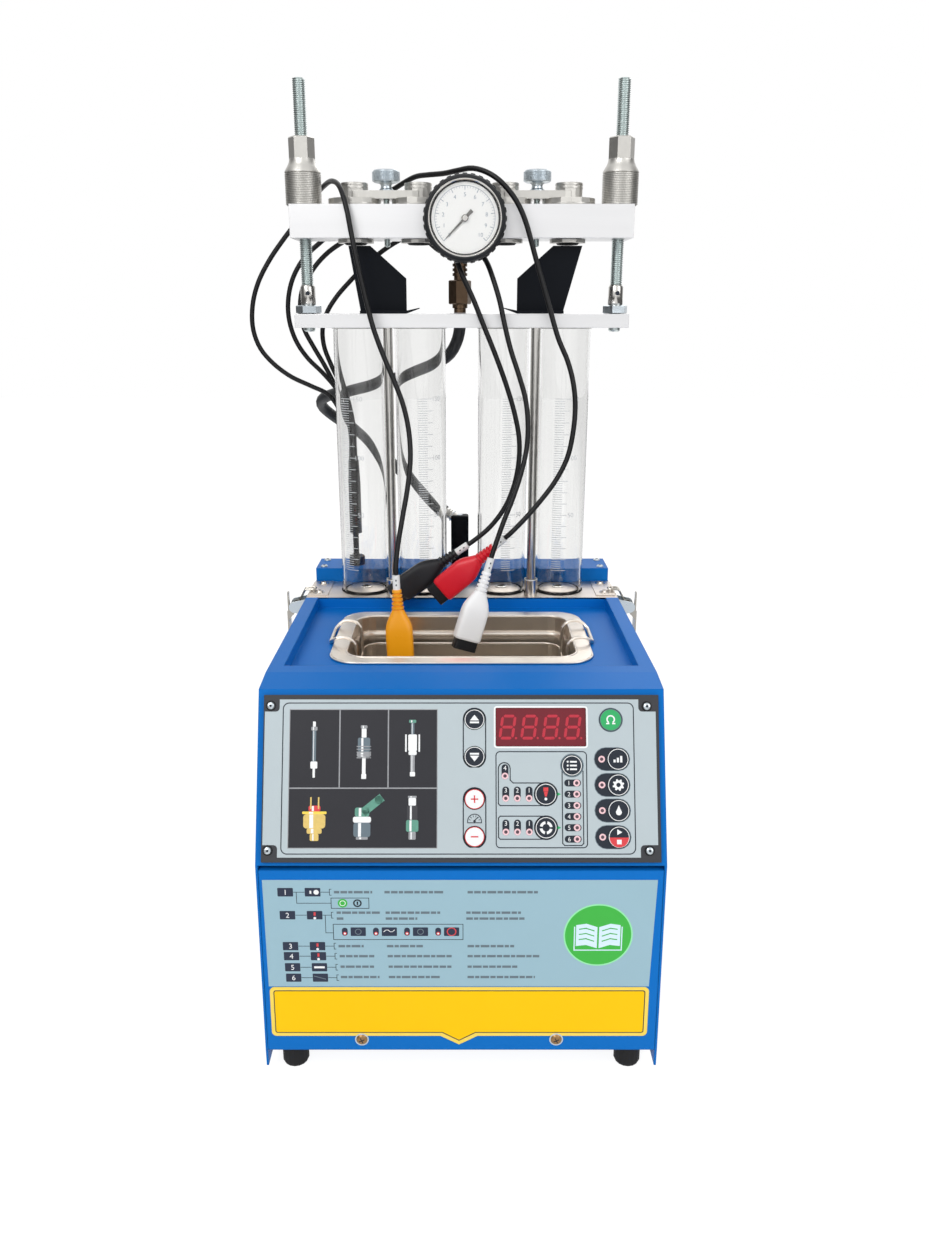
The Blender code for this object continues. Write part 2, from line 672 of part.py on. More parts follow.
def smooth_route(points, step):
    """Points at an even step on a centripetal Catmull-Rom curve through the route."""
    route = [Vector(point) for point in points]
    ends = [route[0] * 2 - route[1], *route, route[-1] * 2 - route[-2]]
    dense = []
    for i in range(1, len(ends) - 2):
        p0, p1, p2, p3 = ends[i - 1 : i + 3]
        t1 = (p1 - p0).length ** 0.5
        t2 = t1 + (p2 - p1).length ** 0.5
        t3 = t2 + (p3 - p2).length ** 0.5
        for count in range(12):
            t = t1 + (t2 - t1) * count / 12
            a1 = p0.lerp(p1, t / t1)
            a2 = p1.lerp(p2, (t - t1) / (t2 - t1))
            a3 = p2.lerp(p3, (t - t2) / (t3 - t2))
            b1 = a1.lerp(a2, t / t2)
            b2 = a2.lerp(a3, (t - t1) / (t3 - t1))
            dense.append(b1.lerp(b2, (t - t1) / (t2 - t1)))
    dense.append(route[-1])
    total = sum((b - a).length for a, b in zip(dense, dense[1:]))
    spans = max(2, round(total / step))
    placed_points = [dense[0]]
    walked = 0.0
    for a, b in zip(dense, dense[1:]):
        run = (b - a).length
        while len(placed_points) < spans and walked + run >= total * len(placed_points) / spans:
            placed_points.append(a.lerp(b, (total * len(placed_points) / spans - walked) / run))
        walked += run
    placed_points.append(dense[-1])
    return placed_points


def chassis():
    """Rear panel, floor and front panel, folded from one sheet."""
    side = [
        (REAR_Y, SHELF_Z - SHEET - GAP),
        (REAR_Y, FLOOR_Z),
        (FRONT_Y, FLOOR_Z),
        (SLOPE_FOOT_Y, PANEL_TOP),
        (SLOPE_FOOT_Y + PANEL_LIP, PANEL_TOP),
    ]
    width = 2 * (HALF_WIDTH - SHEET - GAP)
    tray = prism("chassis", folded(side[::-1], SHEET)[::-1], width, blue(), along_x())
    half_x = INLET_WIDTH / 2 - INLET_FLANGE + GAP
    half_z = INLET_HEIGHT / 2 - INLET_FLANGE + GAP
    hole = box(
        "inlet_hole",
        (INLET_X - half_x, REAR_Y - SHEET - OVERRUN, INLET_Z - half_z),
        (INLET_X + half_x, REAR_Y + OVERRUN, INLET_Z + half_z),
    )
    cut(tray, hole)


def body_shell():
    """Side walls, control slope, beams and the recess, with the latch bases on the sides."""
    outer = [
        (FRONT_Y, SIDE_FOOT),
        (FRONT_Y, FLOOR_Z),
        (SLOPE_FOOT_Y, SLOPE_FOOT_Z),
        (FOLD_Y, FOLD_Z),
        (BEAM_Y, DECK_TOP),
        (RECESS_REAR, DECK_TOP),
        (RECESS_REAR, SHELF_Z),
        (REAR_Y, SHELF_Z),
        (REAR_Y, SIDE_FOOT),
    ]
    shell = prism("body_shell", outer[::-1], BODY_WIDTH, blue(), along_x())
    fold_shift = SHEET * (1 - SLOPE_SINE) / SLOPE_COSINE
    inner = [
        (FRONT_Y - OVERRUN, SIDE_FOOT - OVERRUN),
        (FRONT_Y - OVERRUN, SLOPE_FOOT_Z),
        (SLOPE_FOOT_Y + SHEET / SLOPE_COSINE, SLOPE_FOOT_Z),
        (FOLD_Y + fold_shift, FOLD_Z - SHEET),
        (BEAM_Y, DECK_TOP - SHEET),
        (RECESS_FRONT, DECK_TOP - SHEET),
        (RECESS_FRONT, SHELF_Z - SHEET),
        (REAR_Y + OVERRUN, SHELF_Z - SHEET),
        (REAR_Y + OVERRUN, SIDE_FOOT - OVERRUN),
    ]
    cut(shell, prism("inside", inner[::-1], BODY_WIDTH - 2 * SHEET, None, along_x()))
    wall = RECESS_HALF_WIDTH + SHEET
    tray = box(
        "tray",
        (-wall, RECESS_FRONT - SHEET, RECESS_FLOOR - SHEET),
        (wall, RECESS_REAR, DECK_TOP - SHEET / 2),
    )
    tray_rear = box(
        "tray_rear",
        (-wall, RECESS_REAR - SHEET, RECESS_FLOOR - SHEET),
        (wall, RECESS_REAR + SHEET, SHELF_Z - SHEET / 2),
    )
    join(shell, tray, tray_rear)
    recess = box(
        "recess",
        (-RECESS_HALF_WIDTH, RECESS_FRONT, RECESS_FLOOR),
        (RECESS_HALF_WIDTH, RECESS_REAR, DECK_TOP + OVERRUN),
    )
    tank_hole = prism(
        "tank_hole",
        rounded_outline(
            TANK_WIDTH / 2 - TANK_RIM + TANK_WALL + GAP,
            TANK_LENGTH / 2 - TANK_RIM + TANK_WALL + GAP,
            TANK_CORNER + TANK_WALL + GAP,
            (0.0, TANK_MIDDLE),
        ),
        2 * (SHEET + OVERRUN),
        None,
        Matrix.Translation((0, 0, RECESS_FLOOR)),
    )
    window = box(
        "window",
        (-HALF_WIDTH + PANEL_WINDOW_EDGE, PANEL_WINDOW_EDGE, -SHEET - OVERRUN),
        (HALF_WIDTH - PANEL_WINDOW_EDGE, FRAME_FOOT + FRAME_LENGTH - PANEL_WINDOW_EDGE, OVERRUN),
        matrix=slope_frame(),
    )
    cut(shell, recess, tank_hole, window)
    for number, x in enumerate(TUBE_X):
        low = SHELF_Z - SHEET - OVERRUN
        drain = cylinder(f"shell_drain_{number}", DRAIN_RADIUS + SHEET, low, SHELF_Z + OVERRUN, (x, TOWER_Y))
        cut(shell, drain)
    for side in (-1, 1):
        join(shell, *latch_base(side))


def latch_pivot(side):
    return Vector((side * (HALF_WIDTH + LATCH_PIVOT_OUT), LATCH_Y, DECK_TOP - LATCH_PIVOT_DROP))


def bail_pivot(side):
    return latch_pivot(side) + Vector((side * BAIL_PIVOT_OUT, 0.0, -BAIL_PIVOT_DROP))


def latch_base(side):
    """The plate on the side wall and the two ears that carry the lever."""
    pivot = latch_pivot(side)
    ear_inner = LEVER_CHEEK_INNER + LEVER_CHEEK + GAP
    ear_outer = ear_inner + LATCH_EAR
    wall = side * (HALF_WIDTH - SINK)
    face = side * (HALF_WIDTH + LATCH_BASE)
    plate = box(
        f"latch_plate_{side}",
        (min(wall, face), LATCH_Y - ear_outer, pivot.z - LATCH_BASE_DROP),
        (max(wall, face), LATCH_Y + ear_outer, pivot.z + LATCH_BASE_RISE),
    )
    pieces = [plate]
    root = side * (HALF_WIDTH + LATCH_BASE / 2)
    for end in (-1, 1):
        middle = LATCH_Y + end * (ear_inner + ear_outer) / 2
        outline = [(root, pivot.z - LATCH_BASE_RISE), (root, pivot.z + LATCH_BASE_RISE)]
        for step in range(7):
            angle = math.radians(90 - 30 * step)
            out = LATCH_EAR_RADIUS * math.cos(angle)
            outline.append((pivot.x + side * out, pivot.z + LATCH_EAR_RADIUS * math.sin(angle)))
        pieces.append(prism(f"latch_ear_{side}_{end}", outline, LATCH_EAR, None, along_y(middle)))
    return pieces


def deck_plate():
    """The stainless deck with its tube seats, drains and the two striker plates."""
    foot = DECK_TOP - DECK_SHEET
    deck = box("deck_plate", (-HALF_WIDTH, RECESS_REAR, foot), (HALF_WIDTH, BOX_Y, DECK_TOP), steel())
    for number, x in enumerate(TUBE_X):
        seat = cylinder(f"seat_{number}", SEAT_RADIUS, DECK_TOP - SINK, DECK_TOP + SEAT_HEIGHT, (x, TOWER_Y))
        join(deck, seat)
    for side in (-1, 1):
        outer = side * (HALF_WIDTH - STRIKER_INSET)
        inner = outer - side * STRIKER_WIDTH
        rear = BOX_Y - STRIKER_INSET
        top = DECK_TOP + STRIKER_SHEET
        plate = box(
            f"striker_{side}",
            (min(outer, inner), rear - STRIKER_LENGTH, DECK_TOP - SINK),
            (max(outer, inner), rear, top),
        )
        lip = outer - side * HOOK_SHEET
        hook = box(
            f"hook_{side}",
            (min(outer, lip), LATCH_Y - HOOK_WIDTH / 2, DECK_TOP),
            (max(outer, lip), LATCH_Y + HOOK_WIDTH / 2, top + HOOK_HEIGHT),
        )
        join(deck, plate, hook)
        screw_x = (outer + inner) / 2
        screw_y = rear - STRIKER_LENGTH / 2
        for end in (-1, 1):
            screw = cylinder(
                f"striker_screw_{side}_{end}",
                STRIKER_SCREW_RADIUS,
                DECK_TOP,
                top + STRIKER_SCREW_HEIGHT,
                (screw_x, screw_y + end * STRIKER_SCREW_PITCH / 2),
                top_radius=STRIKER_SCREW_RADIUS * 0.55,
            )
            join(deck, screw)
    for number, x in enumerate(TUBE_X):
        top = DECK_TOP + SEAT_HEIGHT + OVERRUN
        drain = cylinder(f"drain_{number}", DRAIN_RADIUS, foot - OVERRUN, top, (x, TOWER_Y))
        cut(deck, drain)


def rear_box():
    """The low cover behind the deck, open below."""
    half = HALF_WIDTH - BOX_INSET
    low = SHELF_Z + GAP
    cover = box("rear_box", (-half, BOX_Y + GAP, low), (half, REAR_Y, BOX_TOP), blue())
    inside = box(
        "rear_box_inside",
        (-half + SHEET, BOX_Y + GAP + SHEET, low - OVERRUN),
        (half - SHEET, REAR_Y - SHEET, BOX_TOP - SHEET),
    )
    cut(cover, inside)


def feet():
    profile = [
        (0.0, FOOT_HEIGHT),
        (FOOT_RADIUS, FOOT_HEIGHT),
        (FOOT_RADIUS, FOOT_RIM),
        (FOOT_RADIUS - FOOT_RIM * 0.3, FOOT_RIM * 0.3),
        (FOOT_RADIUS - FOOT_RIM, 0.0),
        (0.0, 0.0),
    ]
    front = FRONT_Y + FOOT_INSET_Y
    rear = REAR_Y + REAR_REACH - FOOT_INSET_Y
    for end, y in (("front", front), ("rear", rear)):
        for side, x in (("left", FOOT_INSET_X - HALF_WIDTH), ("right", HALF_WIDTH - FOOT_INSET_X)):
            turned(f"foot_{end}_{side}", profile, rubber(), Matrix.Translation((x, y, 0)))


def cleaning_tank():
    """The stainless tank, hung by its rim, with the transducer bonded under it."""
    half_x = TANK_WIDTH / 2
    half_y = TANK_LENGTH / 2
    rim_middle = Matrix.Translation((0, TANK_MIDDLE, TANK_TOP - TANK_RIM_SHEET / 2))
    rim = rounded_outline(half_x, half_y, TANK_CORNER + TANK_RIM * 0.6)
    tank = prism("cleaning_tank", rim, TANK_RIM_SHEET, steel(), rim_middle)
    in_x = half_x - TANK_RIM
    in_y = half_y - TANK_RIM
    foot = TANK_TOP - TANK_DEPTH - TANK_WALL
    well_height = TANK_TOP - SINK - foot
    well = prism(
        "tank_well",
        rounded_outline(in_x + TANK_WALL, in_y + TANK_WALL, TANK_CORNER + TANK_WALL),
        well_height,
        None,
        Matrix.Translation((0, TANK_MIDDLE, foot + well_height / 2)),
    )
    inside = prism(
        "tank_inside",
        rounded_outline(in_x, in_y, TANK_CORNER),
        TANK_DEPTH + OVERRUN,
        None,
        Matrix.Translation((0, TANK_MIDDLE, TANK_TOP - TANK_DEPTH + (TANK_DEPTH + OVERRUN) / 2)),
    )
    transducer = cylinder(
        "transducer",
        TRANSDUCER_RADIUS * 0.75,
        foot - TRANSDUCER_LENGTH,
        foot + SINK,
        (0, TANK_MIDDLE),
        top_radius=TRANSDUCER_RADIUS,
    )
    join(tank, well, transducer)
    cut(tank, inside)


def basket():
    """The lift-out basket with open sides and a wire handle over each end of the tank."""
    half_x = TANK_WIDTH / 2 - TANK_RIM - BASKET_CLEARANCE
    half_y = TANK_LENGTH / 2 - TANK_RIM - BASKET_CLEARANCE
    foot = TANK_TOP - TANK_DEPTH + BASKET_FLOOR
    top = foot + BASKET_HEIGHT
    corner = TANK_CORNER - BASKET_CLEARANCE
    middle = Matrix.Translation((0, TANK_MIDDLE, (foot + top) / 2))
    tray = prism("basket", rounded_outline(half_x, half_y, corner), BASKET_HEIGHT, steel(), middle)
    inside = prism(
        "basket_inside",
        rounded_outline(half_x - BASKET_SHEET, half_y - BASKET_SHEET, corner - BASKET_SHEET),
        BASKET_HEIGHT,
        None,
        middle @ Matrix.Translation((0, 0, BASKET_SHEET)),
    )
    cut(tray, inside)
    sill = foot + BASKET_WINDOW_SILL
    head = sill + BASKET_WINDOW_HEIGHT
    for start, end in ((-half_x + corner, -BASKET_POST / 2), (BASKET_POST / 2, half_x - corner)):
        reach = half_y + OVERRUN
        near = (start, TANK_MIDDLE - reach, sill)
        far = (end, TANK_MIDDLE + reach, head)
        cut(tray, box(f"window_{start:.3f}", near, far))
    end_window = box(
        "end_window",
        (-half_x - OVERRUN, TANK_MIDDLE - half_y + corner, sill),
        (half_x + OVERRUN, TANK_MIDDLE + half_y - corner, head),
    )
    cut(tray, end_window)
    rim = TANK_TOP + HANDLE_LIFT
    inner = half_x - BASKET_SHEET / 2
    outer = TANK_WIDTH / 2 + HANDLE_REACH
    seat = RECESS_FLOOR + GAP + HANDLE_WIRE / 2
    for side in (-1, 1):
        route = []
        for end in (-1, 1):
            y = TANK_MIDDLE + end * HANDLE_SPAN / 2
            leg = [
                (side * inner, y, top - HANDLE_DROP),
                (side * inner, y, TANK_TOP),
                (side * (inner + HANDLE_LIFT), y, rim),
                (side * (outer - HANDLE_LIFT), y, rim),
                (side * outer, y - end * HANDLE_WIRE, seat),
            ]
            route += leg if end < 0 else leg[::-1]
        join(tray, wire(f"handle_{side}", rounded_corners(route, HANDLE_WIRE * 1.5), HANDLE_WIRE))


def rounded_corners(points, radius):
    """A route with each corner cut by an arc of two chords."""
    route = [Vector(points[0])]
    for before, here, after in zip(points, points[1:], points[2:]):
        here = Vector(here)
        back = Vector(before) - here
        ahead = Vector(after) - here
        reach = min(radius, back.length * 0.45, ahead.length * 0.45)
        first = here + back.normalized() * reach
        last = here + ahead.normalized() * reach
        route += [first, (first + last) / 4 + here / 2, last]
    route.append(Vector(points[-1]))
    return route


def fluid_reservoir():
    """The open-topped reservoir under the tubes, with the pump inside."""
    half = HALF_WIDTH - RESERVOIR_MARGIN
    low = FLOOR_Z + SHEET + GAP
    front = RECESS_REAR + SHEET * 2
    rear = REAR_Y - RESERVOIR_MARGIN - SHEET
    top = low + RESERVOIR_HEIGHT
    vessel = box("fluid_reservoir", (-half, front, low), (half, rear, top), black_plastic())
    wall = RESERVOIR_WALL
    inside = box(
        "reservoir_inside",
        (-half + wall, front + wall, low + wall),
        (half - wall, rear - wall, top + OVERRUN),
    )
    cut(vessel, inside)
    middle = (front + rear) / 2
    join(vessel, cylinder("pump", PUMP_RADIUS, low + wall - SINK, low + PUMP_HEIGHT, (half / 2, middle)))


def control_frame():
    """The dark frame on the slope, with a hole for each key and a window for the display."""
    half = FRAME_WIDTH / 2
    plate = box(
        "control_frame",
        (-half, FRAME_FOOT, GAP),
        (half, FRAME_FOOT + FRAME_LENGTH, GAP + FRAME_THICK),
        look("frame_grey", (0.07, 0.07, 0.075), roughness=0.5),
        slope_frame(),
    )
    through = GAP + FRAME_THICK + OVERRUN
    window = box(
        "display_window",
        (DISPLAY_LEFT - GAP, DISPLAY_FOOT - GAP, -OVERRUN),
        (DISPLAY_LEFT + DISPLAY_WIDTH + GAP, DISPLAY_FOOT + DISPLAY_HEIGHT + GAP, through),
        matrix=slope_frame(),
    )
    cut(plate, window)
    for name, (across, up, radius) in KEYS.items():
        at_key = slope_frame(across, up)
        hole = cylinder(name + "_hole", radius + KEY_SIDE, -OVERRUN, through, matrix=at_key)
        cut(plate, hole)


def control_board():
    """The circuit board behind the slope, with its stand-offs and the display block."""
    depth = KEY_DEPTH + KEY_TRAVEL + GAP
    left = -BOARD_EDGE
    right = HALF_WIDTH - PANEL_WINDOW_EDGE - BOARD_EDGE
    foot = PANEL_WINDOW_EDGE + GAP
    head = FRAME_FOOT + FRAME_LENGTH - PANEL_WINDOW_EDGE - GAP
    board = box(
        "control_board",
        (left, foot, -depth - BOARD_SHEET),
        (right, head, -depth),
        look("board_green", (0.02, 0.16, 0.08), roughness=0.5),
        slope_frame(),
    )
    display = box(
        "display_block",
        (DISPLAY_LEFT, DISPLAY_FOOT, -depth - BOARD_SHEET / 2),
        (DISPLAY_LEFT + DISPLAY_WIDTH, DISPLAY_FOOT + DISPLAY_HEIGHT, GAP + FRAME_THICK - DISPLAY_SUNK),
        matrix=slope_frame(),
    )
    join(board, display)
    edge = STANDOFF_RADIUS * 1.5
    for across in (left + edge, right - edge):
        for up in (foot + edge, head - edge):
            post = cylinder(
                f"standoff_{across:.3f}_{up:.3f}",
                STANDOFF_RADIUS,
                -depth - BOARD_SHEET / 2,
                0.0,
                matrix=slope_frame(across, up),
                sides=12,
            )
            join(board, post)


def keys():
    """Twelve keys that travel into the panel."""
    green = look("key_green", (0.03, 0.42, 0.09), roughness=0.45)
    grey = look("key_grey", (0.16, 0.17, 0.18), roughness=0.45)
    top = GAP + FRAME_THICK + KEY_PROUD
    rim = KEY_PROUD
    for name, (across, up, radius) in KEYS.items():
        profile = [
            (0.0, top),
            (radius - rim, top),
            (radius, top - rim),
            (radius, -KEY_DEPTH),
            (0.0, -KEY_DEPTH),
        ]
        turned(name, profile, green if name == "key_test" else grey, slope_frame(across, up))


def mains_inlet():
    """The inlet module in the rear panel: socket and switch pocket."""
    flange_front = REAR_Y + GAP
    module = box(
        "mains_inlet",
        (INLET_X - INLET_WIDTH / 2, flange_front, INLET_Z - INLET_HEIGHT / 2),
        (INLET_X + INLET_WIDTH / 2, REAR_Y + 2 * REAR_REACH, INLET_Z + INLET_HEIGHT / 2),
        black_plastic(),
    )
    half_x = INLET_WIDTH / 2 - INLET_FLANGE
    half_z = INLET_HEIGHT / 2 - INLET_FLANGE
    block = box(
        "inlet_block",
        (INLET_X - half_x, REAR_Y - INLET_DEPTH, INLET_Z - half_z),
        (INLET_X + half_x, REAR_Y + REAR_REACH, INLET_Z + half_z),
    )
    join(module, block)
    socket_x = INLET_X - SOCKET_OFFSET
    face = REAR_Y + 2 * REAR_REACH + OVERRUN
    socket = box(
        "socket",
        (socket_x - SOCKET_WIDTH / 2, REAR_Y - SOCKET_DEPTH, INLET_Z - SOCKET_HEIGHT / 2),
        (socket_x + SOCKET_WIDTH / 2, face, INLET_Z + SOCKET_HEIGHT / 2),
    )
    rocker_x = INLET_X + ROCKER_OFFSET
    half_rocker = ROCKER_WIDTH / 2 + GAP
    half_pocket = math.hypot(ROCKER_HEIGHT / 2, ROCKER_DEPTH) + GAP
    pocket = box(
        "rocker_pocket",
        (rocker_x - half_rocker, REAR_Y - ROCKER_POCKET, INLET_Z - half_pocket),
        (rocker_x + half_rocker, face, INLET_Z + half_pocket),
    )
    cut(module, socket, pocket)


def power_switch():
    """The rocker, pressed in at its upper end, with its origin on the pivot."""
    pivot = Vector((INLET_X + ROCKER_OFFSET, REAR_Y - ROCKER_DEPTH + REAR_REACH, INLET_Z))
    half = ROCKER_HEIGHT / 2
    proud = ROCKER_DEPTH
    high = half * math.tan(ROCKER_TILT)
    outline = [
        (proud - high * 2, half),
        (proud - high * 0.5, 0.0),
        (proud, -half * math.cos(ROCKER_TILT)),
        (-high, -half * math.cos(ROCKER_TILT)),
        (-high * 1.5, 0.0),
        (-high * 2, half),
    ]
    prism("power_switch", outline[::-1], ROCKER_WIDTH, black_plastic(), Matrix.Translation(pivot) @ along_x())


def glass_tubes():
    glass = look("glass", (0.93, 0.96, 0.97), roughness=0.03, alpha=0.35)
    profile = [
        (TUBE_RADIUS - TUBE_WALL, TUBE_LENGTH),
        (TUBE_RADIUS, TUBE_LENGTH),
        (TUBE_RADIUS, 0.0),
        (TUBE_RADIUS - TUBE_WALL, 0.0),
    ]
    for number, x in enumerate(TUBE_X, start=1):
        turned(f"glass_tube_{number}", profile, glass, Matrix.Translation((x, TOWER_Y, TUBE_FOOT)), 24, True)


def upper_plate():
    """The plate over the tubes, with its tie rods down to the deck."""
    low_y = TOWER_Y - PLATE_LENGTH / 2
    plate = box(
        "upper_plate",
        (-PLATE_WIDTH / 2, low_y, PLATE_FOOT),
        (PLATE_WIDTH / 2, low_y + PLATE_LENGTH, PLATE_TOP),
        aluminium(),
    )
    rod_y = low_y + TIE_ROD_SET_BACK
    low = DECK_TOP + GAP
    collar_top = low + TIE_COLLAR_HEIGHT
    profile = [
        (0.0, PLATE_FOOT + SINK),
        (TIE_ROD_RADIUS, PLATE_FOOT + SINK),
        (TIE_ROD_RADIUS, collar_top),
        (TIE_COLLAR_RADIUS, collar_top),
        (TIE_COLLAR_RADIUS, low),
        (0.0, low),
    ]
    for side in (-1, 1):
        at_rod = Matrix.Translation((side * PAIR_X, rod_y, 0))
        join(plate, turned(f"tie_rod_{side}", profile, None, at_rod))
    holes = [(x, INJECTOR_HOLE_RADIUS) for x in TUBE_X]
    holes += [(side * ROD_X, ROD_BORE) for side in (-1, 1)]
    for number, (x, radius) in enumerate(holes):
        low = PLATE_FOOT - OVERRUN
        cut(plate, cylinder(f"plate_hole_{number}", radius, low, PLATE_TOP + OVERRUN, (x, TOWER_Y)))


def threaded_rods():
    """The two rods with their jam nut and sleeve above the plate."""
    low = PLATE_FOOT - ROD_TAIL
    nut_low = PLATE_TOP + GAP
    nut_top = nut_low + JAM_NUT_HEIGHT
    sleeve_top = nut_top + SLEEVE_HEIGHT
    profile = [
        (0.0, ROD_TOP),
        (ROD_RADIUS - ROD_CHAMFER, ROD_TOP),
        (ROD_RADIUS, ROD_TOP - ROD_CHAMFER),
        (ROD_RADIUS, sleeve_top),
        (SLEEVE_RADIUS, sleeve_top),
        (SLEEVE_RADIUS, nut_top - SINK),
        (ROD_RADIUS, nut_top - SINK),
        (ROD_RADIUS, low),
        (0.0, low),
    ]
    for side, name in ((-1, "left"), (1, "right")):
        rod = turned(f"threaded_rod_{name}", profile, zinc(), Matrix.Translation((side * ROD_X, TOWER_Y, 0)))
        corners = JAM_NUT_FLATS / math.cos(math.pi / 6)
        nut = cylinder(f"jam_nut_{name}", corners, nut_low, nut_top, (side * ROD_X, TOWER_Y), sides=6)
        join(rod, nut)
        middle = Matrix.Translation((side * ROD_X, TOWER_Y, nut_top + SLEEVE_HOLE_HEIGHT))
        crosswise = middle @ Matrix.Rotation(math.pi / 2, 4, "X")
        reach = SLEEVE_RADIUS + OVERRUN
        hole = cylinder(f"sleeve_hole_{name}", SLEEVE_HOLE_RADIUS, -reach, reach, sides=12, matrix=crosswise)
        cut(rod, hole)


def brackets():
    """The two sloping brackets that stand on the upper plate."""
    low = PLATE_TOP + GAP
    y = TOWER_Y - BRACKET_SET_FORWARD - BRACKET_SHEET / 2
    for side, name in ((-1, "left"), (1, "right")):
        outline = [
            (side * BRACKET_FOOT_OUTER, low),
            (side * BRACKET_FOOT_INNER, low),
            (side * BRACKET_FOOT_INNER, low + BRACKET_ELBOW_HEIGHT),
            (side * BRACKET_TOP_INNER, low + BRACKET_HEIGHT),
            (side * BRACKET_TOP_OUTER, low + BRACKET_HEIGHT),
        ]
        if side > 0:
            outline.reverse()
        web = prism(f"bracket_{name}", outline[::-1], BRACKET_SHEET, black_paint(), along_y(y))
        ends = sorted((side * BRACKET_FOOT_OUTER, side * BRACKET_FOOT_INNER))
        foot = box(
            f"bracket_foot_{name}",
            (ends[0], y - BRACKET_SHEET / 2 - BRACKET_FOOT_DEPTH, low),
            (ends[1], y, low + BRACKET_FOOT_HEIGHT),
        )
        join(web, foot)


def distributor_bar():
    """The bar that holds the couplers, bored for rods, couplers, screws and gauge stem."""
    half = BAR_WIDTH / 2
    bar = box("distributor_bar", (-half, BAR_FRONT, BAR_FOOT), (half, BAR_REAR, BAR_TOP), aluminium())
    bores = [(side * ROD_X, ROD_BORE) for side in (-1, 1)]
    bores += [(x, COUPLER_SHANK_RADIUS + GAP) for x in TUBE_X]
    bores += [(side * PAIR_X, SCREW_SHANK_RADIUS + GAP) for side in (-1, 1)]
    for number, (x, radius) in enumerate(bores):
        cut(bar, cylinder(f"bar_bore_{number}", radius, BAR_FOOT - OVERRUN, BAR_TOP + OVERRUN, (x, TOWER_Y)))
    stem = cylinder(
        "stem_bore",
        STEM_RADIUS + GAP,
        -BAR_LENGTH / 2 - OVERRUN,
        BAR_LENGTH / 2 + OVERRUN,
        matrix=Matrix.Translation((GAUGE_X, TOWER_Y, BAR_MIDDLE_Z)) @ Matrix.Rotation(math.pi / 2, 4, "X"),
    )
    cut(bar, stem)


def coupler_clamps():
    """Each clamp with the two couplers that it holds down."""
    seat = BAR_TOP + GAP
    profile = [
        (0.0, BAR_TOP + COUPLER_TOP),
        (COUPLER_RADIUS, BAR_TOP + COUPLER_TOP),
        (COUPLER_RADIUS, seat + COUPLER_FLANGE),
        (COUPLER_FLANGE_RADIUS, seat + COUPLER_FLANGE),
        (COUPLER_FLANGE_RADIUS, seat),
        (COUPLER_SHANK_RADIUS, seat),
        (COUPLER_SHANK_RADIUS, BAR_FOOT - GAP),
        (COUPLER_FOOT_RADIUS, BAR_FOOT - GAP),
        (COUPLER_FOOT_RADIUS, BAR_FOOT - GAP - COUPLER_FOOT),
        (COUPLER_BORE_RADIUS, BAR_FOOT - GAP - COUPLER_FOOT),
        (COUPLER_BORE_RADIUS, BAR_TOP + COUPLER_BORE_TOP),
        (0.0, BAR_TOP + COUPLER_BORE_TOP),
    ]
    low = seat + COUPLER_FLANGE - SINK
    half = TUBE_PITCH / 2 + CLAMP_REACH
    for side, name in ((-1, "left"), (1, "right")):
        middle = Matrix.Translation((side * PAIR_X, TOWER_Y, (low + CLAMP_TOP) / 2))
        outline = rounded_outline(half, CLAMP_RADIUS, CLAMP_RADIUS - GAP)
        clamp = prism(f"coupler_clamp_{name}", outline, CLAMP_TOP - low, aluminium(), middle)
        for number, end in enumerate((-1, 1)):
            at_tube = Matrix.Translation((side * PAIR_X + end * TUBE_PITCH / 2, TOWER_Y, 0))
            join(clamp, turned(f"coupler_{name}_{number}", profile, None, at_tube))
        radius = SCREW_SHANK_RADIUS + GAP
        top = CLAMP_TOP + OVERRUN
        hole = cylinder(f"clamp_hole_{name}", radius, low - OVERRUN, top, (side * PAIR_X, TOWER_Y))
        cut(clamp, hole)


def thumb_screws():
    """The screws that press the clamps down on the bar."""
    neck_low = CLAMP_TOP + GAP
    head_low = neck_low + SCREW_NECK_HEIGHT
    head_top = head_low + SCREW_HEAD_HEIGHT
    tail = BAR_FOOT - SCREW_TAIL
    rim = SCREW_HEAD_RADIUS * 0.1
    profile = [
        (0.0, head_top),
        (SCREW_HEAD_RADIUS - rim, head_top),
        (SCREW_HEAD_RADIUS, head_top - rim),
        (SCREW_HEAD_RADIUS, head_low + rim),
        (SCREW_HEAD_RADIUS - rim, head_low),
        (SCREW_NECK_RADIUS, neck_low),
        (SCREW_SHANK_RADIUS, neck_low),
        (SCREW_SHANK_RADIUS, tail + SCREW_SHANK_RADIUS / 2),
        (SCREW_SHANK_RADIUS / 2, tail),
        (0.0, tail),
    ]
    for side, name in ((-1, "left"), (1, "right")):
        turned(f"thumb_screw_{name}", profile, zinc(), Matrix.Translation((side * PAIR_X, TOWER_Y, 0)))


